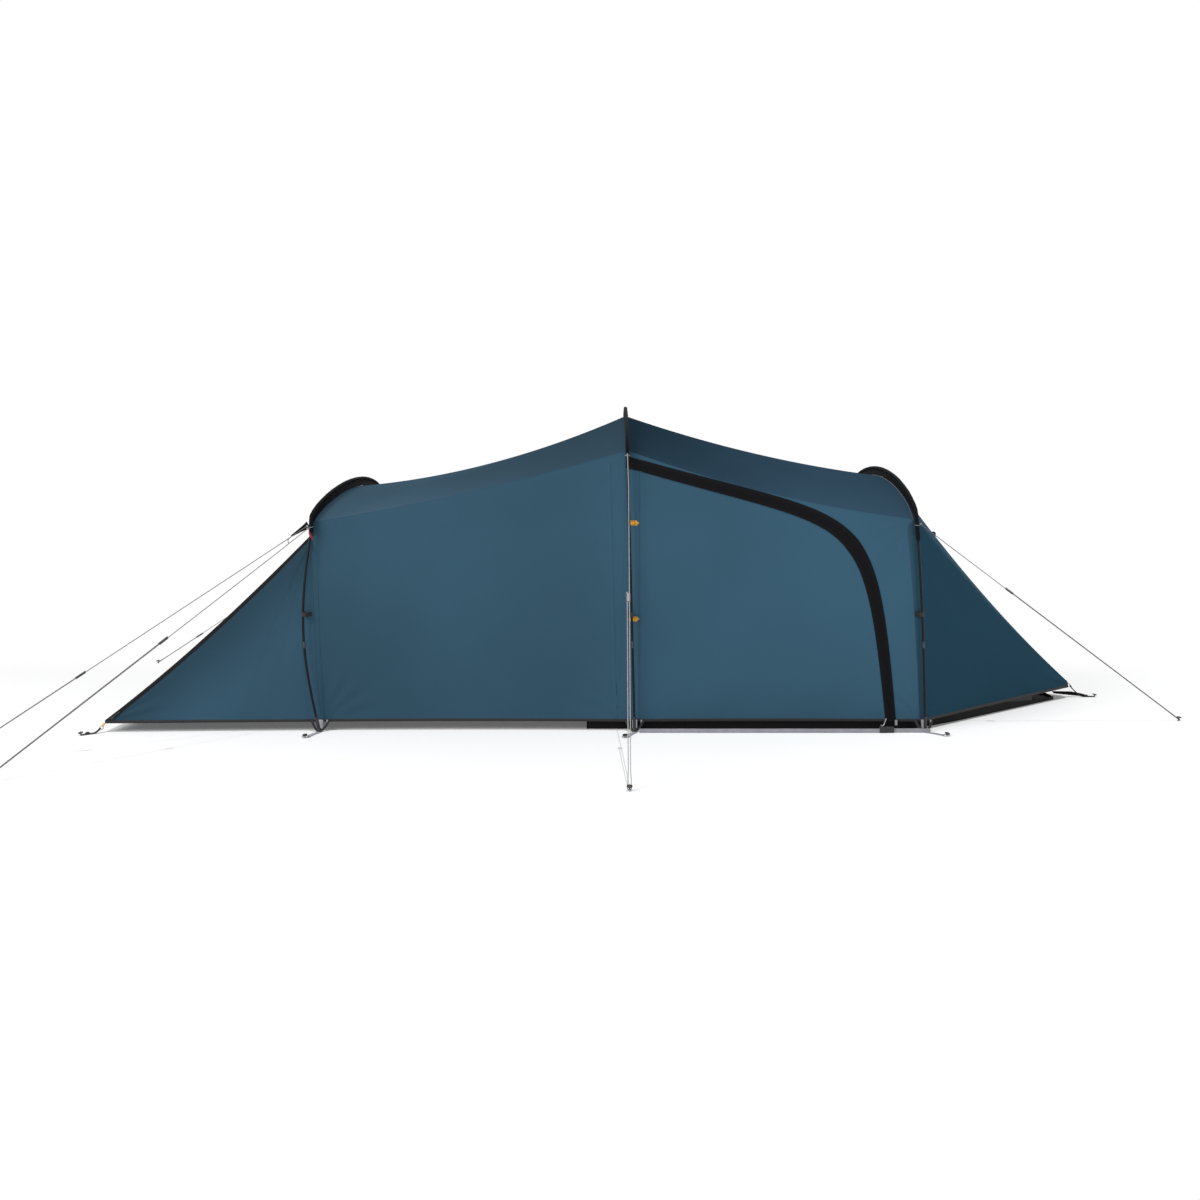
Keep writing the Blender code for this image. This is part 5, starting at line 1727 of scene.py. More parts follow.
@dataclass
class Porch(Fly):
    """The pegged porch at the left end, with its sloping door."""

    trim: float = 0.0068
    zip_thickness: float = 0.0011
    zip_tape: float = 0.0003
    trim_steps: int = 80

    def build(self) -> None:
        """Two walls, the gable and the door."""
        for side in Side:
            self.end_wall(side)
        self.gable()
        self.door()

    def end_wall(self, side: Side) -> None:
        """A triangular wall between the left arch, the slope and the ground.

        Args:
            side: The side of the tent.
        """
        shape = self.shape
        cut = shape.slope_cut
        grid = grid_of(lambda u, v: shape.porch_wall(side, cut * u, v), self.columns, self.rows)
        foot = tuple(shape.leg(shape.left, side, shape.hem))
        corner = (shape.corner_x, side.value * shape.corner_half, shape.hem)
        puckers = [Pucker(foot, 0.10, 0.0016, 17.0, 0.9), Pucker(corner, 0.20, 0.0030, 23.0, 0.4)]
        piece = Cloth().make(f"end_wall_{side.word}_cloth", puckered(grid, puckers), FINISH.end)
        self.adopt(piece, f"end_wall_{side.word}")
        hem = self.hem_binding(f"end_wall_{side.word}_hem", grid[:, 0], side)
        trim = self.slope_trim(f"end_zip_wall_{side.word}", side, False)
        self.declare(piece, grid, ["sleeve_left", f"corner_strap_{side.word}"], [hem, trim])

    def slope_trim(self, name: str, side: Side, on_door: bool) -> Piece:
        """One half of the porch's zip, along the slope, flat on the wall or on the door.

        Args:
            name: The piece's name.
            side: The side of the tent.
            on_door: Whether it is the door's half; otherwise it is the wall's.

        Returns:
            The piece.
        """
        shape, width = self.shape, 2 * self.trim
        path, sides, ups = [], [], []
        outward = Vector((0.0, side.value, 0.0))
        for k in range(self.trim_steps + 1):
            u = shape.slope_cut * k / self.trim_steps
            here = shape.slope(u)
            down = (shape.slope(u + 0.004) - here).normalized()
            out = Vector((down.z, 0.0, -down.x))
            spot = Vector((here.x, side.value * (shape.porch_y(u, here.z) + 0.0001), here.z))
            if on_door:
                path.append(spot + out * 0.0008 - Vector((0.0, side.value * width / 2, 0.0)))
            else:
                path.append(spot - out * (width / 2 - 0.0012))
            sides.append(outward if on_door else out)
            ups.append(out if on_door else outward)
        profile = tape(width, self.zip_thickness if on_door else self.zip_tape, 8)
        piece = Sweep().make(name, np.array(path), profile, FINISH.zip, (np.array(sides), np.array(ups)))
        return self.adopt(piece, body=Body.END_DOOR if on_door else Body.TENT)

    def gable(self) -> None:
        """The upright panel under the left arch, above the door."""
        shape = self.shape
        foot_x = shape.left.x_at(shape.left.mouth_z)

        def point(u: float, v: float) -> Vector:
            """Point of the panel, u across it and v up.

            Args:
                u: Share along it.
                v: Share across it.

            Returns:
                The point.
            """
            top = shape.crown(shape.left, math.pi * (u - 0.5))
            found = Vector((foot_x, top.y, shape.left.mouth_z)).lerp(top, v)
            return found - Vector((shape.seam_gap / 2 + 0.0012, 0.0, 0.0))

        grid = grid_of(point, 96, 20)
        piece = self.adopt(Cloth().make("end_gable_cloth", grid, FINISH.blue, (-1.0, 0.0, 0.0)), "end_gable")
        self.declare(piece, grid, ["sleeve_left"])

    def door(self) -> None:
        """The sloping door, hung from its top edge."""
        shape = self.shape

        def point(u: float, v: float) -> Vector:
            """Point of the door, u down the slope and v across it.

            Args:
                u: Share along it.
                v: Share across it.

            Returns:
                The point.
            """
            here = shape.slope(shape.slope_cut * u)
            half = shape.porch_y(shape.slope_cut * u, here.z) - 0.0018
            start = (0.0006, 0.0012) if u == 0.0 else (0.0, 0.0)
            return Vector((here.x - start[0], mix(-half, half, v), here.z - start[1]))

        grid = grid_of(point, self.columns, self.rows)
        piece = Cloth().make("end_door_cloth", grid, FINISH.blue, (-1.0, 0.0, 1.0))
        self.adopt(piece, "end_door", body=Body.END_DOOR)
        trims = [self.slope_trim(f"end_zip_door_{side.word}", side, True) for side in Side]
        self.declare(piece, grid, ["end_gable_cloth"], trims)


@dataclass
class Cone(Fly):
    """The two halves of the cone at the right end; the hood over its vent is made by VentHood."""

    def build(self) -> None:
        """The two halves of the cone."""
        shape = self.shape
        for side in Side:
            grid = grid_of(lambda u, v: shape.cone(side, shape.cone_cut * u, 11.0 * v), 80, 88)
            grid[:, -1, 1] = side.value * shape.seam_gap / 2
            tip = (shape.tip[0], 0.0, shape.tip[1])
            foot = tuple(shape.leg(shape.right, side, shape.hem))
            puckers = [Pucker(tip, 0.22, 0.0026, 19.0, 0.3), Pucker(foot, 0.12, 0.0018, 17.0, 0.4)]
            piece = Cloth().make(f"cone_{side.word}_cloth", puckered(grid, puckers), FINISH.cone)
            self.adopt(piece, f"cone_{side.word}")
            hem = self.hem_binding(f"cone_{side.word}_hem", grid[:, 0], side)
            self.declare(piece, grid, ["sleeve_right", "tip_strap"], [hem])


@dataclass(frozen=True)
class GuyLine:
    """One guy: its arch and side, the height of its start, its peg and its tensioner's share."""

    name: str
    arch: Arch
    side: Side
    start_z: float
    peg: Pair
    share: float


GUY_LINES = (
    GuyLine("left_front_near", SHAPE.left, Side.NEAR, 0.790, (-2.290, -1.510), 0.65),
    GuyLine("left_side_near", SHAPE.left, Side.NEAR, 0.780, (-2.050, -1.730), 0.49),
    GuyLine("centre_near", SHAPE.centre, Side.NEAR, 1.063, (0.0, -1.830), 0.48),
    GuyLine("right_near", SHAPE.right, Side.NEAR, 0.798, (2.210, -0.600), 0.336),
    GuyLine("left_front_far", SHAPE.left, Side.FAR, 0.790, (-2.450, 1.110), 0.81),
    GuyLine("left_side_far", SHAPE.left, Side.FAR, 0.780, (-2.050, 1.730), 0.49),
    GuyLine("centre_far", SHAPE.centre, Side.FAR, 1.063, (0.0, 1.830), 0.48),
    GuyLine("right_far", SHAPE.right, Side.FAR, 0.798, (2.000, 1.500), 0.40),
)


@dataclass
class PoleSet(Assembly):
    """The three poles with their ferrules and foot caps, and the sleeves over them."""

    shape: TentShape = SHAPE
    radius: float = 0.0045
    ferrule_radius: float = 0.0055
    ferrule_z: float = 0.325
    ferrule_length: float = 0.022
    cap_radius: float = 0.00625
    cap_length: float = 0.055
    foot_z: float = 0.003125
    clip_z: float = 0.452
    bore: float = 0.00521
    rim: float = 0.00681
    fin: float = 0.0012
    tab: Pair = (0.017, 0.0016)
    tab_ways: Tuple[float, float, float] = (1.0, -0.55, -0.8)

    def outline(self, arch: Arch, heights: Sequence[float], roof_steps: int) -> np.ndarray:
        """Points of the canopy's section at an arch, from foot to foot.

        Args:
            arch: The pole's arch.
            heights: Heights of the points on each leg.
            roof_steps: Steps over the roof.

        Returns:
            The points.
        """
        near = [self.shape.leg(arch, Side.NEAR, z) for z in heights]
        far = [self.shape.leg(arch, Side.FAR, z) for z in reversed(heights)]
        crown = [self.shape.crown(arch, math.pi * (k / roof_steps - 0.5)) for k in range(roof_steps + 1)]
        return np.array([tuple(p) for p in near + crown + far])

    def inward(self, outline: np.ndarray) -> np.ndarray:
        """Unit vectors square to an outline, in the YZ plane and turned inwards.

        Args:
            outline: Points of the outline.

        Returns:
            One vector for each point.
        """
        found = []
        middle = 0.3 * outline[:, 2].max()
        for i in range(len(outline)):
            step = outline[min(i + 1, len(outline) - 1)] - outline[max(i - 1, 0)]
            normal = unit(np.array((0.0, -step[2], step[1])))
            inner = np.array((0.0, -outline[i][1], middle - outline[i][2]))
            found.append(normal if normal @ inner > 0 else -normal)
        return np.array(found)

    def line(self, arch: Arch, heights: Sequence[float], roof_steps: int) -> np.ndarray:
        """The pole's centre line.

        Args:
            arch: The pole's arch.
            heights: Heights of the points on each leg.
            roof_steps: Steps over the roof.

        Returns:
            Points of the line.
        """
        outline = self.outline(arch, heights, roof_steps)
        line = outline - self.inward(outline) * self.shape.standoff
        line[:, 0] -= [arch.bow_at(z) for z in outline[:, 2]]
        for end, above in ((0, 1), (-1, -2)):
            low, high = line[end].copy(), line[above]
            line[end] = high + (low - high) * ((high[2] - self.foot_z) / (high[2] - low[2]))
        return line

    def stations(self, arch: Arch) -> List[float]:
        """Heights on a leg at which the frame's own pole has its points.

        Args:
            arch: The pole's arch.

        Returns:
            The heights.
        """
        foot, ferrule = self.foot_z, self.ferrule_z
        cap_end = foot + self.cap_length + 0.0015
        found = [foot, 0.020, foot + self.cap_length, cap_end]
        found += [mix(cap_end, ferrule, k / 3) for k in (1, 2)] + [ferrule - 0.0015, ferrule]
        found += [ferrule + self.ferrule_length, ferrule + self.ferrule_length + 0.0015]
        found += [self.clip_z - 0.018, self.clip_z + 0.018]
        found += [mix(self.clip_z, arch.mouth_z, k / 4) for k in (2, 3)]
        return found + [arch.mouth_z, mix(arch.mouth_z, arch.shoulder_z, 0.6)]

    def at(self, arch: Arch, side: Side, z: float) -> Vector:
        """Centre of a pole's leg at a height.

        Args:
            arch: The pole's arch.
            side: The side of the tent.
            z: The height.

        Returns:
            The point.
        """
        line = self.line(arch, self.stations(arch), 12)
        half = line[: len(line) // 2]
        x, y = (float(np.interp(z, half[:, 2], half[:, k])) for k in (0, 1))
        return Vector((x, side.value * abs(y), z))

    def fine_heights(self, arch: Arch) -> List[float]:
        """Heights on a leg at which the finished pole has its points."""
        low = [self.foot_z] + [0.03 + 0.02 * k for k in range(int((arch.mouth_z - 0.03) / 0.02))]
        return low + [arch.mouth_z] + [mix(arch.mouth_z, arch.shoulder_z, k / 4) for k in (1, 2, 3)]

    def build(self) -> None:
        """Poles and sleeves."""
        for arch in self.shape.arches:
            heights = self.fine_heights(arch)
            line = self.line(arch, heights, 72)
            piece = tube(f"pole_{arch.name}_tube", line, self.radius, FINISH.pole, 14)
            self.adopt(piece, f"pole_{arch.name}")
            self.sleeve(arch, heights, line)

    def sleeve(self, arch: Arch, heights: List[float], line: np.ndarray) -> None:
        """The sleeve over a pole: a tube of cloth and the fin that is sewn along the canopy.

        Args:
            arch: The pole's arch.
            heights: Heights of the points on each leg.
            line: Points of the pole's centre line.
        """
        first = heights.index(arch.mouth_z)
        covered = slice(first, len(line) - first)
        inward = self.inward(self.outline(arch, heights, 72))[covered]
        line = line[covered]
        turns = np.radians(np.linspace(28.0, 332.0, 19))
        outer = [(self.rim * math.cos(a), self.rim * math.sin(a)) for a in turns]
        fin_end = self.shape.standoff - 0.0006
        legs = [(1.35 * self.rim, -self.fin), (0.5 * fin_end, -0.7 * self.fin), (fin_end, -self.fin)]
        legs += [(fin_end, self.fin), (0.5 * fin_end, 0.7 * self.fin), (1.35 * self.rim, self.fin)]
        outer = np.array(outer + legs)
        inner = np.array([(self.bore * math.cos(a), self.bore * math.sin(a)) for a in
                          np.radians(np.linspace(20.0, 340.0, len(outer)))])
        above = np.zeros_like(inward) + (1.0, 0.0, 0.0)
        rings = []
        for i, (point, side, up) in enumerate(zip(line, inward, above)):
            wave = 0.0004 * math.sin(i * 1.9) + 0.0003 * math.sin(i * 0.77 + 1.0)
            profile = np.concatenate([outer + (0.0, wave), inner])
            rings.append(point + side * profile[:, :1] + up * profile[:, 1:])
        grid = np.array(rings)
        steps, count = grid.shape[0], len(outer)
        faces = []
        for i in range(count):
            j = (i + 1) % count
            for r in range(0, (steps - 1) * 2 * count, 2 * count):
                s = r + 2 * count
                faces.append((r + i, r + j, s + j, s + i))
                faces.append((r + count + j, r + count + i, s + count + i, s + count + j))
            end = (steps - 1) * 2 * count
            faces.append((j, i, count + i, count + j))
            faces.append((end + i, end + j, end + count + j, end + count + i))
        piece = make_object(f"sleeve_{arch.name}_cloth", grid.reshape(-1, 3), faces, FINISH.black)
        fix_normals(piece)
        along = np.repeat(run_lengths(line[:, None], 0), 2 * count, axis=1)
        across = np.concatenate([np.linspace(0, 0.1, count), np.linspace(0, 0.033, count)]) + 0 * along
        edge = np.minimum(along, along[-1:] - along)
        put_attributes(piece, np.stack([across, along], -1).reshape(-1, 2), edge.reshape(-1))
        self.adopt(piece, f"sleeve_{arch.name}")

    def dress(self) -> None:
        """Ferrules, foot caps and the clips' finish."""
        for arch in self.shape.arches:
            for side in Side:
                self.fittings(arch, side)
                self.finish_node(f"clip_{arch.name}_{side.word}", FINISH.plastic)

    def clip_tab(self, arch: Arch, side: Side) -> None:
        """The black tab of webbing that ties a clip to the wall's seam.

        Args:
            arch: The pole's arch.
            side: The side of the tent.
        """
        pole = self.at(arch, side, self.clip_z)
        sign, way = side.value, self.tab_ways[SHAPE.arches.index(arch)]
        wall_y = abs(SHAPE.leg(arch, side, self.clip_z).y)
        reach = abs(pole.y) - wall_y
        spots = [
            (pole.x + way * 0.004, pole.y + sign * 0.0072, self.clip_z),
            (pole.x + way * 0.014, pole.y + sign * 0.0035, self.clip_z - 0.0005),
            (pole.x + way * 0.020, pole.y - sign * 0.45 * reach, self.clip_z - 0.0010),
            (pole.x + way * 0.026, sign * (wall_y + 0.0032), self.clip_z - 0.0015),
        ]
        tag = f"{arch.name}_{side.word}"
        self.adopt(strap(f"clip_tab_{tag}", spots, self.tab, (0.0, sign, 0.0), FINISH.binding))

    def fittings(self, arch: Arch, side: Side) -> None:
        """The metal ferrule and the foot cap of one leg.

        Args:
            arch: The pole's arch.
            side: The side of the tent.
        """
        self.clip_tab(arch, side)
        tag = f"{arch.name}_{side.word}"
        low, high = self.ferrule_z, self.ferrule_z + self.ferrule_length
        places = [low - 0.001, low, low + 0.002, mix(low, high, 0.5), high - 0.002, high, high + 0.001]
        radii = [self.radius, 0.98 * self.ferrule_radius, self.ferrule_radius, 0.97 * self.ferrule_radius]
        radii += radii[:3][::-1]
        path = np.array([tuple(self.at(arch, side, z)) for z in places])
        self.adopt(tube(f"ferrule_{tag}", path, np.array(radii) + 0.0001, FINISH.ferrule, 18))
        places = [self.foot_z, self.foot_z + 0.001]
        places += [self.foot_z + self.cap_length * k / 5 for k in range(1, 6)]
        places += [self.foot_z + self.cap_length + 0.0012]
        radii = [0.8, 0.98, 1.0, 0.97, 1.0, 0.97, 1.0, 0.76]
        path = np.array([tuple(self.at(arch, side, z)) for z in places])
        sizes = np.array(radii) * self.cap_radius
        self.adopt(tube(f"foot_cap_{tag}", path, sizes, FINISH.plastic, 18))


PEG_LEAN = 0.25
PEG_PROFILE = (
    (-0.002, 0.0026), (0.006, 0.0026), (0.009, 0.0030), (0.0095, 0.0085),
    (0.0112, 0.0096), (0.0132, 0.0092), (0.0146, 0.0060), (0.0150, 0.0015),
)
TOGGLE_PROFILE = (
    (-0.0080, 0.0022), (-0.0068, 0.0042), (-0.0030, 0.0052),
    (0.0030, 0.0052), (0.0068, 0.0042), (0.008, 0.0022),
)


@dataclass
class Pegged(Assembly):
    """An assembly with pieces that are pegged to the ground."""

    def peg(self, name: str, foot: Vector, along: Vector) -> Piece:
        """The head and upper shank of a driven peg, leaning away from the pull."""
        lean = Vector((along.x, along.y, 0.0)).normalized() * PEG_LEAN + Vector((0.0, 0.0, 1.0))
        return turned(name, foot, lean.normalized(), PEG_PROFILE, FINISH.peg)


@dataclass
class Guys(Pegged):
    """The guy lines with their knots, tensioners and pegs."""

    poles: PoleSet
    diameter: float = 0.003
    spacing: float = 0.0075
    loop: float = 0.006
    spread: float = 0.070
    ground_z: float = 0.004
    knot_back: float = 0.020
    start_knot: float = 0.008

    def build(self) -> None:
        """Every guy, from its sleeve to its peg and back to its tensioner."""
        for line in GUY_LINES:
            self.guy(line)

    def ends(self, line: GuyLine) -> Tuple[Vector, Vector]:
        """Start on the sleeve and end in the peg's loop.

        Args:
            line: The guy.

        Returns:
            Both points.
        """
        axis = self.poles.at(line.arch, line.side, line.start_z)
        last = Vector((*line.peg, self.ground_z))
        along = (last - axis).normalized()
        out = self.poles.rim + self.diameter / 2 * abs(along.z) + SHAPE.seat_gap
        return axis + Vector((along.x, along.y, 0.0)).normalized() * out, last

    def guy(self, line: GuyLine) -> None:
        """One guy with its pieces.

        Args:
            line: The guy.
        """
        first, last = self.ends(line)
        along, length = (last - first).normalized(), (last - first).length
        aside = along.cross(Vector((0.0, 0.0, 1.0))).normalized()
        half, reached, spread = self.spacing / 2, line.share * length, length - self.spread

        def at(distance: float, shift: float) -> Tuple[float, ...]:
            """Point at a distance down the guy, moved to one side."""
            return tuple(first + along * distance + aside * shift)

        neck, middle = length - self.loop - self.spread / 2, (half + self.loop) / 2
        path = [at(0.0, 0.0)] + [at(reached * k / 4, -half) for k in range(1, 5)]
        path += [at(mix(reached, spread, k / 3), -half) for k in range(1, 4)] + [at(neck, -middle)]
        for k in range(9):
            turn = math.pi * k / 8
            path.append(at(length - self.loop + self.loop * math.sin(turn), -self.loop * math.cos(turn)))
        path += [at(neck, middle)] + [at(mix(spread, reached, k / 3), half) for k in range(4)]
        path = np.array(path)
        finish = FINISH.cord if line.arch is SHAPE.centre else FINISH.cord_dark
        cord = tube(f"guy_{line.name}_cord", path, self.diameter / 2, finish, 8)
        self.adopt(cord, f"guy_{line.name}")
        peg = self.peg(f"guy_peg_{line.name}", Vector((*line.peg, 0.0)) - along * self.loop, along)
        self.adopt(peg)
        knot = self.knot(f"guy_knot_{line.name}", Vector(at(reached - self.knot_back, half)), along, aside)
        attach(knot, f"tensioner_{line.name}")
        start = self.adopt(self.knot(f"guy_start_{line.name}", first + along * self.start_knot, along, aside))
        tuple(first)
        moulded = FINISH.plastic if line.arch is SHAPE.left else FINISH.toggle
        self.finish_node(f"tensioner_{line.name}", moulded)

    def knot(self, name: str, centre: Vector, along: Vector, aside: Vector) -> Piece:
        """A small stopper knot of the same cord.

        Args:
            name: The piece's name.
            centre: Its middle.
            along: The way that the cord runs.
            aside: Unit vector square to the cord.

        Returns:
            The piece.
        """
        up = along.cross(aside)
        path = []
        for k in range(41):
            t = 2.0 * math.pi * k / 41
            across = (math.sin(t) + 2.0 * math.sin(2 * t)) * 0.0011
            over = (math.cos(t) - 2.0 * math.cos(2 * t)) * 0.0011
            path.append(tuple(centre + aside * across + up * over + along * (-math.sin(3 * t) * 0.0016)))
        piece = tube(name, np.array(path), 0.0014, FINISH.cord, 8)
        return piece


@dataclass
class Feet(Pegged):
    """Webbing under the poles' feet, with the cups that the poles stand in, rings and pegs."""

    poles: PoleSet
    width: float = 0.020
    thickness: float = 0.0022
    cup_wall: float = 0.0018
    cup_gap: float = 0.0006
    brace: Pair = (0.009, 0.0012)
    tab: Pair = (0.006, 0.0015)
    tab_heights: Tuple[float, ...] = (0.043, 0.037, 0.030, 0.022)
    ring: Pair = (0.0125, 0.0095)
    ring_wire: float = 0.0015
    pegs: Tuple[Pair, ...] = ((-1.200, 0.958), (-0.006, 0.958), (1.200, 0.925))

    def build(self) -> None:
        """The pieces at each pole's two feet."""
        for arch, peg in zip(SHAPE.arches, self.pegs):
            for side in Side:
                self.web(arch, side, peg)
                self.cup(arch, side)
                self.fittings(arch, side, peg)

    def hem_y(self, arch: Arch) -> float:
        """Half width at which the webbing lies on the hem."""
        return SHAPE.width(SHAPE.hem, arch.shoulder_z) + SHAPE.seat_gap + self.thickness

    def web(self, arch: Arch, side: Side, peg: Pair) -> None:
        """The grey webbing from the hem, under the pole's foot, to the peg.

        Args:
            arch: The pole's arch.
            side: The side of the tent.
            peg: X and half width of its peg.
        """
        foot, sign, hem_y = self.poles.at(arch, side, self.poles.foot_z), side.value, self.hem_y(arch)
        cup_y = abs(foot.y)
        spots = [
            (foot.x, sign * hem_y, SHAPE.hem + 0.7 * SHAPE.hem_band),
            (foot.x, sign * (hem_y + self.thickness), SHAPE.hem / 2),
            (foot.x, sign * mix(hem_y, cup_y, 0.4), 0.0),
            (foot.x, sign * mix(cup_y, peg[1], 0.12), 0.0),
            (mix(foot.x, peg[0], 0.4), sign * mix(cup_y, peg[1], 0.4), 0.0),
            (peg[0], sign * peg[1], 0.0),
        ]
        tag = f"{arch.name}_{side.word}"
        ends = ((0.0, sign, 0.2), (0.0, 0.0, 1.0))
        size = (self.width, self.thickness)
        piece = strap(f"foot_strap_{tag}_web", spots, size, ends, FINISH.grey, 0.0001)
        self.adopt(piece, f"foot_strap_{tag}")

    def cup(self, arch: Arch, side: Side) -> None:
        """The moulded cup round the pole's foot.

        Args:
            arch: The pole's arch.
            side: The side of the tent.
        """
        foot, tag = self.poles.at(arch, side, self.poles.foot_z), f"{arch.name}_{side.word}"
        bore = self.poles.cap_radius + self.cup_gap
        rim = bore + self.cup_wall
        low = self.thickness + 0.0001
        heights = [low, low + 0.001, 0.010, 0.0140, 0.0152]
        outside = [rim + 0.0012, rim + 0.0008, rim, rim + 0.0003, rim - 0.0005]

        def rings(radii: Sequence[float]) -> np.ndarray:
            """Rings round the foot, one at each height."""
            stack = zip(radii, heights)
            return np.array([[(foot.x + x, foot.y + y, z) for x, y in circle(r, 32)] for r, z in stack])

        self.adopt(hollow(f"foot_cup_{tag}", rings(outside), rings([bore] * len(heights)), FINISH.plastic))

    def fittings(self, arch: Arch, side: Side, peg: Pair) -> None:
        """The black braces, the hem's tab, the ring and the peg of one foot.

        Args:
            arch: The pole's arch.
            side: The side of the tent.
            peg: X and half width of its peg.
        """
        foot, tag = self.poles.at(arch, side, self.poles.foot_z), f"{arch.name}_{side.word}"
        sign, hem_y, cup_y = side.value, self.hem_y(arch), abs(foot.y)
        for word, way in (("left", -1.0), ("right", 1.0)):
            spots = [
                (foot.x + way * 0.009, sign * (cup_y - 0.008), 0.0045),
                (foot.x + way * 0.020, sign * mix(cup_y, hem_y, 0.6), 0.016),
                (foot.x + way * 0.034, sign * (hem_y + 0.0006), 0.040),
            ]
            name = f"foot_brace_{tag}_{word}"
            self.adopt(strap(name, spots, self.brace, (0.0, sign, 0.3), FINISH.binding))
        tab_x = foot.x + 0.010 + self.width / 2 + 0.006
        spots = [(tab_x, sign * (hem_y + 0.0022), z) for z in self.tab_heights]
        self.adopt(strap(f"foot_tab_{tag}", spots, self.tab, (0.0, sign, 0.1), FINISH.grey))
        centre = (peg[0], sign * (peg[1] - 0.002), self.thickness + 0.0022)
        path = loop_path(centre, (1.0, 0.0, 0.0), (0.0, 1.0, 0.0), self.ring, 3.0)
        self.adopt(closed_tube(f"foot_ring_{tag}", path, self.ring_wire, FINISH.steel))
        lean = Vector((mix(foot.x, peg[0], 1.5) - foot.x, sign * 0.08, -0.1)).normalized()
        self.adopt(self.peg(f"foot_peg_{tag}", Vector((peg[0], sign * peg[1], 0.0)), lean))


@dataclass
class Corners(Pegged):
    """The pegged corners of the porch and the pegged tip of the cone."""

    reach: float = 0.090
    loop_share: float = 0.13
    ring: Pair = (0.0062, 0.0062)
    ring_wire: float = 0.0013
    loop_thickness: float = 0.0030
    tie_size: Pair = (0.0120, 0.0032)
    corner_width: float = 0.011
    tip_width: float = 0.014
    toggle_height: float = 0.0050
    under_thickness: float = 0.0030

    def build(self) -> None:
        """Loop, ring, tie, toggle and peg at each place."""
        run = self.reach / math.sqrt(2.0)
        for side in Side:
            start = SHAPE.slope(SHAPE.slope_cut).x - SHAPE.seat_gap - 0.0011
            out = SHAPE.porch_y(SHAPE.slope_cut, SHAPE.hem)
            sizes = [(0.0, SHAPE.hem), (0.15, SHAPE.hem / 2), (0.45, 0.0), (1.0, 0.0)]
            spots = [(start - s * run, side.value * (out + s * run), z) for s, z in sizes]
            self.tie(f"corner_{side.word}", spots, f"corner_strap_{side.word}", self.corner_width)
        ridge = SHAPE.cone(Side.NEAR, SHAPE.cone_cut, 11.0)
        start = ridge.x + SHAPE.seat_gap
        steps = [(0.0, ridge.z - 0.0006), (0.027, ridge.z / 2), (0.072, 0.0), (0.126, 0.0)]
        self.tie("tip", [(start + s, 0.0, z) for s, z in steps], "tip_strap", self.tip_width)
        tail = Vector((start + 0.112, 0.0, 0.0030))

        def point(u: float, v: float) -> Vector:
            """Point of the triangle of webbing under the tip, u towards the peg and v up.

            Args:
                u: Share along it.
                v: Share across it.

            Returns:
                The point.
            """
            top = Vector((start + mix(-0.060, 0.062, u), 0.0, mix(0.026, 0.024, u)))
            low = Vector((start + mix(-0.052, 0.100, u), 0.0, mix(0.016, 0.0004, u)))
            edge = mix(low, top, v)
            return edge.lerp(tail, clamp((u - 0.7) / 0.3) * v * 0.9)

        grid = grid_of(point, 24, 8)
        under = Cloth(self.under_thickness).make("tip_under_strap", grid, FINISH.black, (0.0, -1.0, 0.0))
        self.adopt(under)
        self.declare(under, grid, ["tip_tie"])

    def tie(self, name: str, spots: Sequence[Spot], node: str, width: float) -> None:
        """The pieces between a corner of the cloth and its peg, along the strap's route.

        Args:
            name: What the pieces' names start with.
            spots: Points of the route, from the cloth to the ground.
            node: The node that stands for them in the frame.
            width: Width of the amber loop.
        """
        line = resampled(smooth_path(spots, 8), 41)
        line[:, 2] = np.maximum(line[:, 2], 0.0002)
        split = int(40 * self.loop_share)
        size = (width, self.loop_thickness)
        loop = strap(f"{name}_loop", line[: split + 1], size, (0.0, -0.2, 1.0), FINISH.amber)
        self.adopt(loop, node)
        along = unit(line[split + 1] - line[split])
        middle = line[split] + along * self.ring[0]
        middle[2] = max(middle[2], self.ring[1] + 0.0016)
        flat = unit(np.array((along[0], along[1], 0.0)))
        path = loop_path(tuple(middle), tuple(flat), (0.0, 0.0, 1.0), self.ring, 2.6)
        self.adopt(closed_tube(f"{name}_ring", path, self.ring_wire, FINISH.slider))
        lifted = [line[k] + (0, 0, 0.0012) for k in range(split + 6, 41, 4)]
        tie = np.array([middle + flat * 0.004] + lifted)
        self.adopt(strap(f"{name}_tie", tie, self.tie_size, (0.0, 0.0, 1.0), FINISH.binding, 0.0001))
        spot = Vector(line[31]) + Vector((0.0, 0.0, 0.0010))
        ahead = Vector(unit(line[33] - line[29]))
        lift = Vector((0.0, 0.0, self.toggle_height))
        self.adopt(turned(f"{name}_toggle", spot + lift, ahead, TOGGLE_PROFILE, FINISH.plastic))
        end = Vector(line[40])
        self.adopt(self.peg(f"{name}_peg", Vector((end.x, end.y, 0.0)), ahead))


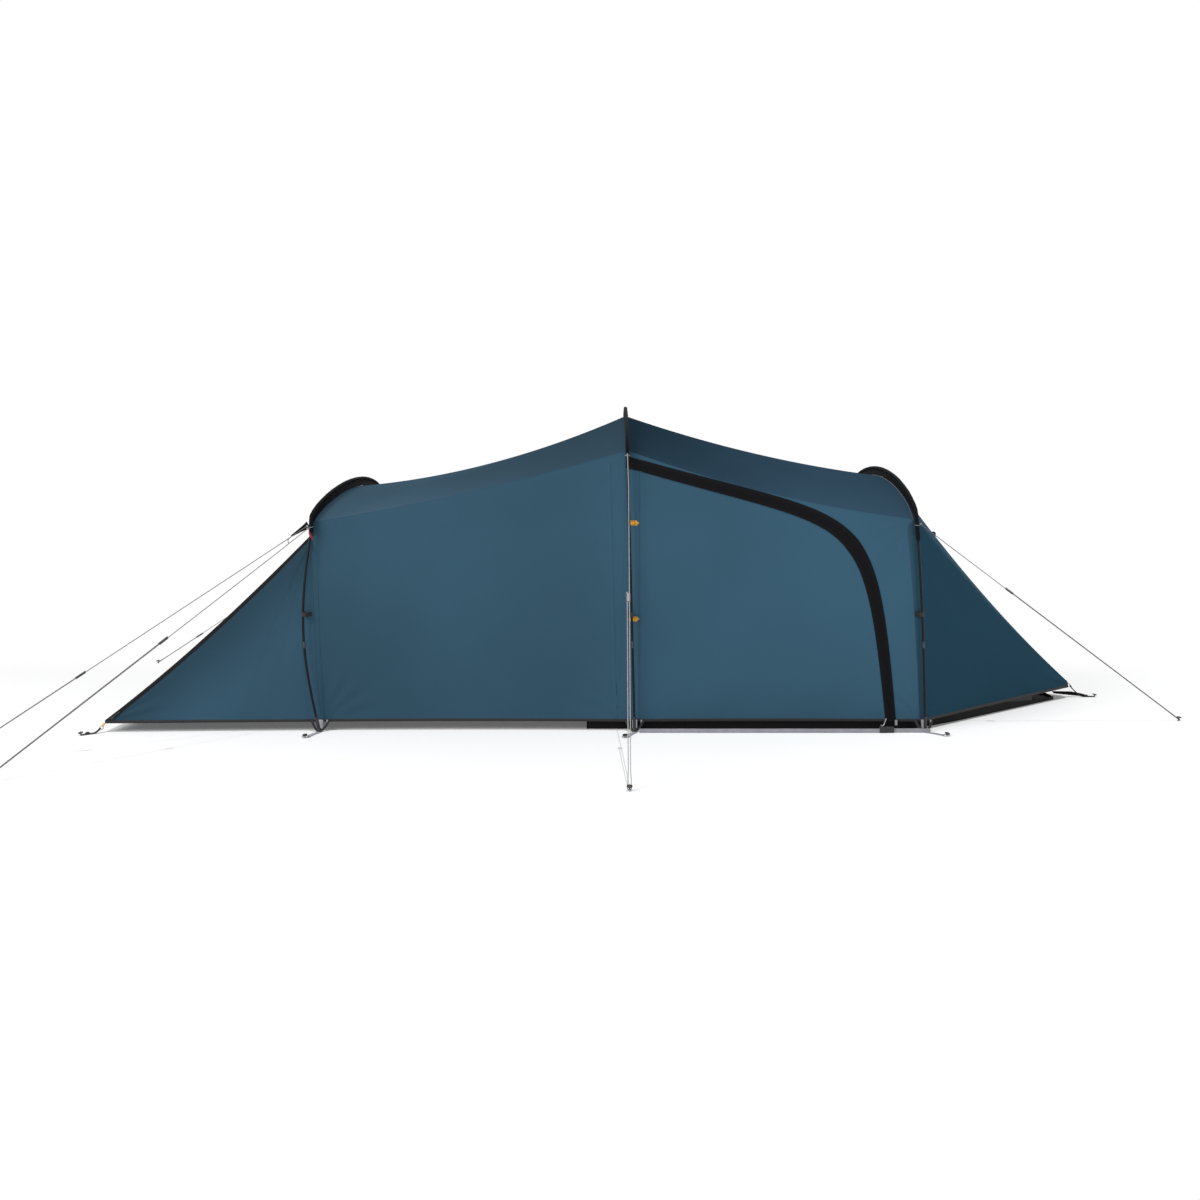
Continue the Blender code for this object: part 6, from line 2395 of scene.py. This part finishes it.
@dataclass
class GroundStrap(Assembly):
    """The strap along the ground under the side door, with its buckle and the hook above it."""

    y: float = -SHAPE.half - 0.054
    low: float = 0.0005
    height: float = 0.016
    half: float = 0.0009
    steps: int = 90
    hook_at: Pair = (0.992, 0.044)
    hook_wire: float = 0.0013
    hook_bends: Tuple[Spot, ...] = (
        (0.004, -0.003, 0.046), (0.001, -0.0046, 0.038), (-0.003, -0.0055, 0.028),
        (-0.008, -0.006, 0.020), (-0.014, -0.006, 0.018), (-0.017, -0.006, 0.023),
    )
    tab_x: float = 1.034
    tab_heights: Tuple[float, ...] = (0.041, 0.036, 0.028, 0.020)
    start_x: float = SHAPE.centre.foot_x + 0.0125 + 0.0044
    buckle_x: float = SHAPE.right.foot_x - 0.154
    plug_length: float = 0.024
    socket_length: float = 0.030
    buckle_height: float = 0.024
    tongue: Tuple[float, float, float] = (0.020, 0.013, 0.004)
    socket_y: Tuple[float, float, float] = (-0.8655, -0.8525, -0.8565)

    def web(self, name: str, ends: Pair, y: float, wave: float) -> Piece:
        """A strap that stands on its edge, with a slow wave between its ends.

        Args:
            name: The piece's name.
            ends: X of its two ends.
            y: Its place across the tent.
            wave: How far it bends sideways.

        Returns:
            The piece.
        """
        places = [k / self.steps for k in range(self.steps + 1)]
        path = [(mix(*ends, place), y, self.low) for place in places]
        lean = [wave * math.sin(math.pi * k / self.steps) * math.sin(k * 0.31) for k in range(self.steps + 1)]

        def profile(k: int) -> np.ndarray:
            """Section of the strap at a step.

            Args:
                k: Step along the strap.

            Returns:
                Points of the section.
            """
            rise = np.linspace(0.0, self.height, 7)
            bow = lean[k] * rise / self.height
            front = np.stack([-self.half + bow, rise], -1)
            back = np.stack([self.half + bow, rise], -1)[::-1]
            return np.concatenate([front, back])

        return Sweep().make(name, np.array(path), profile, FINISH.grey)

    def build(self) -> None:
        """Strap, socket, plug's finish and the short strap to the right foot."""
        ends = (self.start_x, self.buckle_x - self.plug_length / 3)
        self.adopt(self.web("ground_strap_web", ends, self.y, 0.0010), "ground_strap")
        self.socket()
        ends = (self.buckle_x + self.socket_length - 0.001, SHAPE.right.foot_x + 0.016)
        self.adopt(self.web("buckle_web", ends, self.socket_y[2], 0.0))
        self.finish_node("buckle_plug", FINISH.plastic)

    def socket(self) -> None:
        """The buckle's socket: a rounded shell, open towards the plug."""
        front, back, middle_y = self.socket_y
        middle_z = self.low + self.buckle_height / 2
        outer, inner = [], []
        shares = (0.0, 0.04, 0.3, 0.5, 0.7, 0.95, 1.0)
        pinch = (0.94, 1.0, 0.97, 0.92, 0.97, 1.0, 0.90)
        deep = (self.tongue[0] + 0.0004) / self.socket_length
        for share, slim in zip(shares, pinch):
            x = self.buckle_x + self.socket_length * share
            halves = ((back - front) / 2 * slim, self.buckle_height / 2 * slim)
            outer.append(loop_path((x, (front + back) / 2, middle_z), (0, 1, 0), (0, 0, 1), halves, 5.0))
            x = self.buckle_x + self.socket_length * share * deep
            halves = (self.tongue[2] / 2 + 0.0004, self.tongue[1] / 2 + 0.0004)
            inner.append(loop_path((x, middle_y, middle_z), (0, 1, 0), (0, 0, 1), halves, 8.0))
        self.adopt(hollow("buckle_socket_shell", np.array(outer), np.array(inner), FINISH.plastic, True))

    def dress(self) -> None:
        """The hook on the door's hem over the buckle, and the tab beside it."""
        top = SHAPE.wall(Side.NEAR, *self.hook_at)
        path = [(top.x + x, top.y + y, z) for x, y, z in self.hook_bends]
        hook = tube("door_hook", smooth_path(path, 5), self.hook_wire, FINISH.steel, 10)
        self.adopt(hook, body=Body.SIDE_DOOR)
        side = SHAPE.wall(Side.NEAR, self.tab_x, SHAPE.hem)
        spots = [(side.x, side.y - 0.0026, z) for z in self.tab_heights]
        self.adopt(strap("frame_tab", spots, (0.009, 0.0015), (0.0, -1.0, 0.1), FINISH.grey))


@dataclass
class TieBacks(Assembly):
    """The two amber tabs that hold the side door when it is rolled up."""

    length: float = 0.038
    half: float = 0.010
    pocket_half: float = 0.0084
    stitched: Pair = (0.0098, 0.0080)
    stitch_shares: Pair = (1.0, 0.84)
    stitch: float = 0.0004
    thickness: float = 0.0022
    upper_z: float = 0.797
    clip_z: float = 0.452
    clip_height: float = 0.018

    def build(self) -> None:
        """Both tabs."""
        lower = self.clip_z - (self.clip_height + 2 * self.half) / 2 - 0.002
        for word, z in (("upper", self.upper_z), ("lower", lower)):
            self.tab(word, z)

    def tab(self, word: str, z: float) -> None:
        """One tab: a pointed strap, the pocket sewn on it and its stitches.

        Args:
            word: Which tab it is.
            z: Height of its middle.
        """
        end = SHAPE.hinge_x - SHAPE.seam_gap / 2 - self.thickness
        places = [end - self.length * (1.0 - k / 24) for k in range(25)]
        y = SHAPE.wall(Side.NEAR, end, z).y - SHAPE.seat_gap - 0.0002
        frames = (np.zeros((25, 3)) + (0.0, 0.0, 1.0), np.zeros((25, 3)) + (0.0, -1.0, 0.0))

        def profile(k: int) -> np.ndarray:
            """Section of the tab, narrower towards its point."""
            taper = clamp((end - places[k]) / self.half, 0.06, 1.0)
            return tape(2 * self.half * taper, self.thickness, 6)

        path = np.array([(x, y, z) for x in places])
        web = Sweep().make(f"tie_back_{word}_web", path, profile, FINISH.amber, frames)
        self.adopt(web, f"tie_back_{word}")
        pocket = path[1:15] + (0.0, -self.thickness, 0.0)

        def crown(k: int) -> np.ndarray:
            """Section of the pocket, a little raised along its middle.

            Args:
                k: Step along the pocket.

            Returns:
                Points of the section.
            """
            across = np.linspace(-self.pocket_half, self.pocket_half, 9)
            bow = np.cos(across / self.pocket_half * math.pi / 2)
            high = np.stack([across, 0.0006 + 0.0011 * bow * math.sin(math.pi * (k + 1) / 15)], -1)
            return np.concatenate([np.stack([across, 0 * across], -1), high[::-1]])

        name, lying = f"tie_back_{word}_pocket", (frames[0][:14], frames[1][:14])
        self.adopt(Sweep().make(name, pocket, crown, FINISH.amber, lying))
        middle = (float(pocket[:, 0].mean()), y - self.thickness - 0.0007, z)
        for number, share in enumerate(self.stitch_shares):
            halves = (self.stitched[0] * share, self.stitched[1] * share)
            loop = loop_path(middle, (1, 0, 0), (0, 0, 1), halves, 9.0)
            self.adopt(closed_tube(f"tie_back_{word}_stitch_{number}", loop, self.stitch, FINISH.thread))


@dataclass
class VentHood(Fly):
    """The small hood over the vent in the cone's ridge."""

    start_u: float = 0.226
    end_u: float = 0.285
    reach: Pair = (0.25, 0.48)
    rise: float = 0.055
    thickness: float = 0.0012
    mesh_thickness: float = 0.0006
    edge_radius: float = 0.0014
    lean: Pair = (0.3, 0.95)

    def build(self) -> None:
        """The hood's cloth, its wire edge and the mesh behind it."""

        def point(u: float, v: float) -> Vector:
            """Point of the hood, u down the ridge and v across it."""
            share = 2.0 * v - 1.0
            lean = Vector((self.lean[0], 0.0, self.lean[1]))
            return self.skin(u, v) + lean * (0.001 + self.rise * u * (1.0 - share**4))

        grid = grid_of(point, 24, 40)
        hood = self.adopt(Cloth(self.thickness).make("vent_hood_cloth", grid, FINISH.black), "vent_hood")
        edge = self.adopt(tube("vent_hood_edge", grid[-1], self.edge_radius, FINISH.plastic, 8))
        flat = grid_of(lambda u, v: self.skin(mix(-0.04, 1.12, u), mix(-0.08, 1.08, v)), 12, 40)
        base = self.adopt(Cloth(self.mesh_thickness).make("vent_mesh", flat, FINISH.black))
        self.declare(hood, grid, ["cone_near_cloth", "cone_far_cloth"], [edge, base])

    def skin(self, u: float, v: float) -> Vector:
        """Point just above the cone round the vent.

        Args:
            u: Share along it.
            v: Share across it.

        Returns:
            The point.
        """
        share = 2.0 * v - 1.0
        side = Side.NEAR if share < 0 else Side.FAR
        spread = mix(*self.reach, u)
        base = SHAPE.cone(side, mix(self.start_u, self.end_u, u), 11.0 - spread * abs(share))
        return base + Vector((self.lean[0], 0.2 * side.value, self.lean[1])) * 0.0018


@dataclass
class InnerTent(Fly):
    """The hung inner tent: a tub floor and the canopy above it, with a doorway in front."""

    front_x: float = SHAPE.centre.foot_x - 0.185
    rear_x: float = SHAPE.tip[0] - 0.105
    canopy_rear_x: float = SHAPE.tip[0] - 0.235
    floor_inset: float = 0.035
    inner_inset: float = 0.055
    tub_height: float = 0.10
    tub_wall: float = 0.0016
    tub_lean: float = 0.006
    door_half: float = 0.31
    door_height: float = 0.78
    sill: float = 0.05
    thickness: float = 0.0009
    tub_tip: Pair = (0.95, 0.012)

    def width_at(self, x: float, inset: float) -> float:
        """Half width of the floor at a place along the tent.

        Args:
            x: The place along the tent.
            inset: How far it is set in from the walls.

        Returns:
            The half width.
        """
        taper = SHAPE.half / (SHAPE.tip[0] - SHAPE.right.foot_x)
        places = [mix(self.front_x, SHAPE.right.shoulder_x, k / 3) for k in range(3)]
        places += [mix(SHAPE.right.shoulder_x, self.rear_x, k / 4) for k in range(5)]
        widths = [min(SHAPE.half - inset, (SHAPE.tip[0] - p) * taper - inset) for p in places]
        return float(np.interp(x, places, widths))

    def edge_height(self, x: float) -> float:
        """Height of the tub's edge, lower towards the tip."""
        start, low = self.tub_tip
        fall = clamp((x - start) / (self.rear_x - start))
        return mix(self.tub_height, low, fall * fall * (3.0 - 2.0 * fall))

    def section(self, x: float) -> List[Pair]:
        """Half outline (y, z) of the canopy, from the tub's edge to the ridge.

        Args:
            x: The place along the tent.

        Returns:
            Points of the outline.
        """
        span = SHAPE.span_of(x)
        shoulder, ridge = span.heights(span.seam_share(x))
        width = SHAPE.half
        if x > SHAPE.right.apex_x:
            u = (x - SHAPE.right.apex_x) / (SHAPE.tip[0] - SHAPE.right.apex_x)
            shoulder = mix(SHAPE.right.shoulder_z, SHAPE.tip[1], u)
            ridge = mix(SHAPE.right.ridge_z, SHAPE.tip[1], u) - SHAPE.cone_sag * 4 * u * (1 - u)
            width = SHAPE.half * (1 - u)
        low = self.edge_height(x) + SHAPE.seat_gap
        shoulder = max(shoulder - 1.3 * self.inner_inset, 1.2 * low)
        ridge = max(ridge - 1.6 * self.inner_inset, 1.2 * shoulder)
        rim = self.width_at(x, self.floor_inset + self.tub_lean)
        reach = min(rim, max(width - self.inner_inset, self.inner_inset / 2))
        side = [(mix(rim, reach, k / 10), mix(low, shoulder, k / 10)) for k in range(10)]
        turns, rise = [math.pi / 2 * (1 - k / 20) for k in range(21)], ridge - shoulder
        return side + [(reach * math.sin(a), shoulder + rise * SHAPE.lift(a)) for a in turns]

    def build(self) -> None:
        """Tub, canopy, front panel and hangers."""
        self.tub()
        places = np.linspace(self.front_x, self.canopy_rear_x, 57)
        rows = []
        for x in places:
            half = self.section(float(x))
            rows.append([(x, -y, z) for y, z in half] + [(x, y, z) for y, z in reversed(half[:-1])])
        grid = np.array(rows)
        canopy = Cloth(self.thickness).make("inner_canopy_cloth", grid, FINISH.inner)
        self.adopt(canopy, "inner_canopy")
        hangers = [self.hanger(k) for k in (1, 3)]
        self.declare(canopy, grid, ["inner_tub"], hangers, "hung")
        self.front()

    def ring(self, inset: float, share: float, shrink: float) -> List[Spot]:
        """Points round the tub at a share of its edge's height.

        Args:
            inset: How far it is set in from the walls.
            share: Share of the edge's height.
            shrink: How far both ends are drawn in.

        Returns:
            The points.
        """
        places = np.linspace(self.front_x + shrink, self.rear_x - shrink, 60)
        near = [(x, -self.width_at(float(x), inset), share * self.edge_height(float(x))) for x in places]
        across = [mix(-1.0, 1.0, k / 12) for k in range(1, 12)]
        rear = [(near[-1][0], -near[-1][1] * a, near[-1][2]) for a in across]
        front = [(near[0][0], near[0][1] * a, near[0][2]) for a in across]
        return near + rear + [(x, -y, z) for x, y, z in reversed(near)] + front

    def tub(self) -> None:
        """The tub floor with its upstanding edge."""
        wall = self.tub_wall
        insets = [self.floor_inset + self.tub_lean * k / 5 for k in range(6)]
        rings = [self.ring(inset, k / 5, 0.0) for k, inset in enumerate(insets)]
        inner = [self.ring(insets[k] + wall, max(k / 5, 0.02), wall) for k in range(5, -1, -1)]
        grid = np.array(rings + inner)
        grid[0, :, 2] = 0.0002
        points = grid.reshape(-1, 3)
        piece = make_object("inner_tub", points, capped_faces(grid), FINISH.tub)
        put_attributes(piece, points[:, :2], 0.05 + 0 * points[:, 0])
        fix_normals(piece)
        self.adopt(piece, "inner_floor")
        width = 2 * (self.width_at(self.front_x, self.floor_inset) + self.tub_height)

    def hanger(self, step: int) -> Piece:
        """A tab that hangs the canopy's ridge from the roof.

        Args:
            step: Which quarter of the way it hangs at.

        Returns:
            The piece.
        """
        x = mix(self.front_x, SHAPE.right.apex_x, step / 4)
        span = SHAPE.span_of(x)
        ridge = span.heights((x - span.start.apex_x) / (span.end.apex_x - span.start.apex_x))[1]
        low = self.section(x)[-1][1] - 0.0005
        spots = [(x, 0.0, mix(low, ridge - 0.0022, k / 4)) for k in range(5)]
        piece = strap(f"inner_hanger_{step}", spots, (0.012, 0.0014), (1.0, 0.0, 0.0), FINISH.binding)
        return self.adopt(piece)

    def front(self) -> None:
        """The panel round the doorway, with its binding."""
        half = self.section(self.front_x)
        x, low, sill = self.front_x - 0.0004, half[0][1], self.tub_height + self.sill
        rise = self.door_height
        around = [(0.0001, low), *half, *[(-y, z) for y, z in reversed(half[:-1])], (-0.0001, low)]
        arc = [math.pi * k / 24 for k in range(25)]
        door = [(0.0001, sill), (self.door_half, sill)]
        door += [(self.door_half * math.cos(a), sill + rise * (0.45 + 0.55 * math.sin(a))) for a in arc]
        door += [(-self.door_half, sill), (-0.0001, sill)]
        outer, inner = resampled(around, 161), resampled(door, 161)
        grid = np.array([[(x, *mix(inner[i], outer[i], k / 8)) for k in range(9)] for i in range(161)])
        panel = Cloth(self.thickness).make("inner_front_cloth", grid, FINISH.inner, (-1.0, 0.0, 0.0))
        self.adopt(panel)
        loop = resampled(door, 161)[:-1]
        path = np.array([(x - 0.0012, y, z) for y, z in loop])
        binding = self.adopt(closed_tube("inner_door_binding", path, 0.0016, FINISH.binding))
        size = (round(float(np.ptp(outer[:, 0])), 3), round(float(np.ptp(outer[:, 1])), 3))
        round(grid_area(grid), 3)


@dataclass
class Trims(Fly):
    """Small pieces sewn on the outer tent: bindings, flaps, folds, piping and guy loops."""

    fold_foot: float = 0.047
    collar_radius: float = 0.0079
    collar_turn: float = 125.0
    loop_levels: Tuple[float, float, float] = (0.790, 0.783, 1.056)
    loop_half: float = 0.0092
    wire: float = 0.0013
    hook_bends: Tuple[Pair, ...] = (
        (0.088, 0.0026), (0.096, 0.0050), (0.099, 0.0110),
        (0.1015, 0.0160), (0.0985, 0.0190), (0.0955, 0.0170),
    )

    def patch(
        self, name: str, side: Side, edges: Tuple[Edge, Edge], heights: Tuple[Edge, Edge], lift: float,
        finish: Finish, wall: str = "wall_near_right_cloth",
    ) -> None:
        """A piece of cloth that lies on a wall.

        Args:
            name: The piece's name.
            side: The side of the tent.
            edges: Left and right edge, as functions of the height.
            heights: Lower and upper edge, as functions of the share along it.
            lift: How far it stands off the wall.
            finish: What it is made of.
            wall: The wall that it lies on.
        """

        def point(u: float, v: float) -> Vector:
            """Point of the patch, u along it and v up.

            Args:
                u: Share along it.
                v: Share across it.

            Returns:
                The point.
            """
            z = mix(heights[0](u), heights[1](u), v)
            found = SHAPE.wall(side, mix(edges[0](z), edges[1](z), u), z)
            found.y += side.value * (lift + 0.0004 * math.sin(math.pi * u))
            return found

        grid = grid_of(point, 12, 64)
        piece = self.adopt(Cloth(0.0005).make(name, grid, finish))
        self.declare(piece, grid, [wall])

    def build(self) -> None:
        """Flaps, folds, a painted shade strip by the right arch, the pieces at the sleeves' mouths and the
        sliders' finish.
        """

        def foot(u: float) -> float:
            """Height of the folds' lower edge."""
            return self.fold_foot

        near = Side.NEAR
        left, centre, right = SHAPE.arches
        self.patch(
            "door_flap_head", near, (lambda z: -0.003, lambda z: 0.0494),
            (lambda u: mix(1.0077, 0.9960, u), lambda u: mix(1.0538, 1.0400, u)), 0.0016, FINISH.black,
        )
        # This strip is painted shade where the wall turns round the right arch.
        self.patch(
            "fold_right_painted_shade", near,
            (lambda z: right.x_at(z) - mix(0.012, 0.032, clamp(z / 0.8)), lambda z: right.x_at(z) - 0.001),
            (foot, lambda u: mix(0.770, 0.812, u**0.5)), 0.0006, FINISH.fold,
        )
        self.patch(
            "fold_centre", near, (lambda z: 0.031 + 0.006 * z, lambda z: 0.0440 + 0.002 * z),
            (foot, lambda u: 0.990), 0.0008, FINISH.blue,
        )
        self.patch(
            "fold_centre_left", near, (lambda z: centre.x_at(z) - 0.080, lambda z: centre.x_at(z) - 0.066),
            (foot, lambda u: 1.030), 0.0008, FINISH.blue, "wall_near_left_cloth",
        )
        for side in Side:
            self.patch(
                f"fold_left_{side.word}", side,
                (lambda z: left.x_at(z) - 0.0040, lambda z: left.x_at(z) + 0.016),
                (lambda u: 0.0455, lambda u: 0.690), 0.0010, FINISH.blue, f"wall_{side.word}_left_cloth",
            )
        self.mouths()
        for side in Side:
            self.finish_node(f"zip_slider_{side.word}", FINISH.plastic)

    def collar(self, name: str, centre: Vector, low: Edge, high: Edge, finish: Finish) -> None:
        """A band of cloth round the outside of a bare pole at its sleeve's mouth.

        Args:
            name: The piece's name.
            centre: Middle of the pole.
            low: Height of its lower edge, as a function of the angle.
            high: Height of its upper edge.
            finish: What it is made of.
        """

        def point(u: float, v: float) -> Tuple[float, float, float]:
            """Point of the band, u round the pole and v up.

            Args:
                u: Share along it.
                v: Share across it.

            Returns:
                The point.
            """
            angle = math.radians(mix(-self.collar_turn, self.collar_turn, u))
            x, y = self.collar_radius * math.sin(angle), -self.collar_radius * math.cos(angle)
            return centre.x + x, centre.y + y, mix(low(angle), high(angle), v)

        grid = grid_of(point, 32, 8)
        piece = self.adopt(Cloth(0.0007).make(name, grid, finish, (0.0, -1.0, 0.0)))
        self.declare(piece, grid, [f"sleeve_{name.rpartition('_')[2]}_cloth"])

    def guy_webbing(self, poles: PoleSet) -> None:
        """The black webbing and hook at the start of each front guy of the left arch.

        Args:
            poles: The poles.
        """
        for line in GUY_LINES:
            if "front" not in line.name:
                continue
            axis = poles.at(line.arch, line.side, line.start_z)
            along = (Vector((*line.peg, 0.004)) - axis).normalized()
            aside = along.cross(Vector((0.0, 0.0, 1.0))).normalized()
            up = aside.cross(along)
            first = axis + Vector((along.x, along.y, 0.0)).normalized() * (poles.rim + 0.0030)

            def point(u: float, v: float) -> Vector:
                """Point of the webbing, u along the guy and v across it.

                Args:
                    u: Share along it.
                    v: Share across it.

                Returns:
                    The point.
                """
                tall = mix(0.015, 0.0032, u**0.7)
                spot = first + along * mix(-0.002, 0.078, u)
                return spot + up * (tall * (2.0 * v - 1.0)) + aside * 0.0024

            grid = grid_of(point, 24, 8)
            web = self.adopt(Cloth(0.0016).make(f"guy_web_{line.name}", grid, FINISH.black, tuple(aside)))
            self.declare(web, grid, ["sleeve_left_cloth"])
            spots = [tuple(first + along * a - up * b) for a, b in self.hook_bends]
            self.adopt(tube(f"guy_hook_{line.name}", smooth_path(spots, 5), 0.0014, FINISH.toggle, 10))

    def mouths(self) -> None:
        """Bindings and flaps at the mouths of the near sleeves, and the piping of the right one."""
        poles = PoleSet()
        left, right = SHAPE.left, SHAPE.right
        z = left.mouth_z
        centre = poles.at(left, Side.NEAR, z)
        self.collar("mouth_binding_left", centre, lambda a: z - 0.012 - 0.014 * math.sin(a),
                    lambda a: z + 0.004 - 0.014 * math.sin(a), FINISH.red)
        self.guy_webbing(poles)
        top = right.mouth_z
        centre = poles.at(right, Side.NEAR, top)
        self.collar("mouth_flap_right", centre, lambda a: top - 0.026 + 0.024 * abs(a) / 2.2,
                    lambda a: top + 0.012, FINISH.black)
        crown = []
        for k in range(121):
            angle = math.pi * (k / 120 - 0.5)
            spot = SHAPE.crown(right, angle)
            out = Vector((0.0, math.sin(angle), max(math.cos(angle), 0.1))).normalized()
            crown.append(tuple(spot + out * 0.0016 - Vector((0.0085, 0.0, 0.0))))
        for arch, level in zip((right, left, SHAPE.centre), self.loop_levels):
            for side in Side:
                spot = poles.at(arch, side, level)
                middle = (spot.x, spot.y + side.value * 0.0020, level)
                ring = loop_path(middle, (1, 0, 0), (0, 1, 0.15), (self.loop_half, self.loop_half))
                self.adopt(closed_tube(f"guy_loop_{arch.name}_{side.word}", ring, self.wire, FINISH.slider))
        self.adopt(tube("sleeve_right_piping", np.array(crown), 0.0014, FINISH.piping, 8))


# Stage


@dataclass
class Studio:
    """Floor, lights, world and camera."""

    lens: float = 40.56
    eye: Spot = (-0.045, -6.0, 0.954)
    shift: Pair = (-0.0125, -0.0983)
    sun: float = 1.25
    sky: float = 0.33
    key: float = 310.0
    floor_colour: float = 0.80
    floor_seen: Pair = (1.03, 1.32)
    floor_lift: float = 0.12
    fade: Pair = (3.0, 4.4)
    beside: Spot = (0.69, 0.723, 1.370)
    floor_half: float = 60.0

    def build(self) -> None:
        """Everything round the tent."""
        bpy.context.scene.view_settings.view_transform = "Standard"
        self.camera()
        self.lights()
        self.world()
        self.floor()

    def camera(self) -> None:
        """The camera at the photograph's angle."""
        data = bpy.data.cameras.new("camera")
        data.lens, data.sensor_width = self.lens, 36.0
        data.shift_x, data.shift_y = self.shift
        made = bpy.data.objects.new("camera", data)
        made.location = self.eye
        made.rotation_euler = (math.pi / 2, 0.0, 0.0)
        bpy.context.scene.collection.objects.link(made)
        bpy.context.scene.camera = made

    def lamp(self, name: str, kind: Lamp, place: Spot, aim: Spot, energy: float, size: float) -> None:
        """Adds a lamp that looks at a point.

        Args:
            name: The lamp's name.
            kind: What kind of lamp it is.
            place: Where it stands.
            aim: What it looks at.
            energy: Its power, or a sun's strength.
            size: An area's side in metres, or a sun's angle in radians.
        """
        data = bpy.data.lights.new(name, kind.value)
        data.energy = energy
        if kind is Lamp.AREA:
            data.size = size
        else:
            data.angle = size
        made = bpy.data.objects.new(name, data)
        made.location = place
        made.rotation_mode = "QUATERNION"
        made.rotation_quaternion = (Vector(aim) - Vector(place)).to_track_quat("-Z", "Y")
        bpy.context.scene.collection.objects.link(made)

    def lights(self) -> None:
        """A high sun for the guys' shadows and a large soft key from the front left."""
        self.lamp("sun", Lamp.SUN, (0.2, -1.2, 4.0), (0.0, 0.0, 0.0), self.sun, math.radians(0.4))
        self.lamp("key", Lamp.AREA, (-5.0, -5.6, 4.2), (0.0, 0.0, 0.4), self.key, 4.0)

    def world(self) -> None:
        """An even sky that the camera and reflections see as white."""
        world = bpy.data.worlds.new("sky")
        bpy.context.scene.world = world
        world.use_nodes = True
        graph = Graph.of_tree(world.node_tree)
        seen = graph.seen()
        paint = world.node_tree.nodes["Background"]
        paint.inputs["Color"].default_value = (1.0, 1.0, 1.0, 1.0)
        graph.feed(paint.inputs["Strength"], self.sky + seen * (1.0 - self.sky))

    def floor(self) -> None:
        """A pale matt floor that turns into the white background away from the tent."""
        graph = Graph("floor")
        seen, place = graph.seen(), graph.place()
        grain = graph.noise(3.0, 2.0)
        pale = graph.blend(grain, (self.floor_colour,) * 3, (self.floor_colour * 1.01,) * 3)
        x, y = place.part(0), place.part(1)
        bright = graph.blend(x.smooth(-1.2, 2.9), *((level,) * 3 for level in self.floor_seen))
        graph.set(Base_Color=graph.blend(seen, pale, bright), Roughness=0.9)
        graph.shader.inputs["Specular IOR Level"].default_value = 0.0
        a, b, c = self.beside
        beside = (x * a - y * b - c).smooth(0.12, 0.34) * y.smooth(-0.53, -0.42)
        far = ((x * x * 0.8 + y * y * 1.6) ** 0.5).smooth(*self.fade).top(y.smooth(0.5, 1.3)).top(beside)
        far = far.top(self.floor_lift)
        white = graph.node("ShaderNodeEmission", {}, {"Color": (1.0, 1.0, 1.0), "Strength": 1.0})
        shader = Sock(graph, graph.shader.outputs[0])
        both = graph.node("ShaderNodeMixShader", {}, {0: far * seen, 1: shader, 2: white})
        graph.feed(graph.tree.nodes["Material Output"].inputs["Surface"], both)
        half = self.floor_half
        mesh = bpy.data.meshes.new("floor")
        corners = [(-half, -half, 0), (half, -half, 0), (half, half, 0), (-half, half, 0)]
        mesh.from_pydata(corners, [], [(0, 1, 2, 3)])
        mesh.materials.append(graph.material)
        made = bpy.data.objects.new("floor", mesh)
        bpy.context.scene.collection.objects.link(made)
        made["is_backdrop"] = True


def write_sizes(before: Tuple[Vector, Vector]) -> None:
    """Works out the corners of the frame's box and of the visual model's box, and keeps neither.

    Args:
        before: Lowest and highest corner of the frame.
    """
    corners = [*before, *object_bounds()]
    [[float(c) for c in corner] for corner in corners]


def main() -> None:
    """Builds the stage and every assembly."""
    logging.basicConfig(level=logging.INFO)
    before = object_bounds()
    Studio().build()
    poles = PoleSet()
    outer = [Guys(poles), poles, Fly(), SideDoor(), Porch(), Cone(), VentHood()]
    rest = [InnerTent(), Feet(poles), Corners(), GroundStrap(), TieBacks(), Trims()]
    for assembly in outer + rest:
        assembly.build()
        assembly.dress()
        LOG.info("built %s", type(assembly).__name__)
    write_sizes(before)


if __name__ == "__main__":
    main()
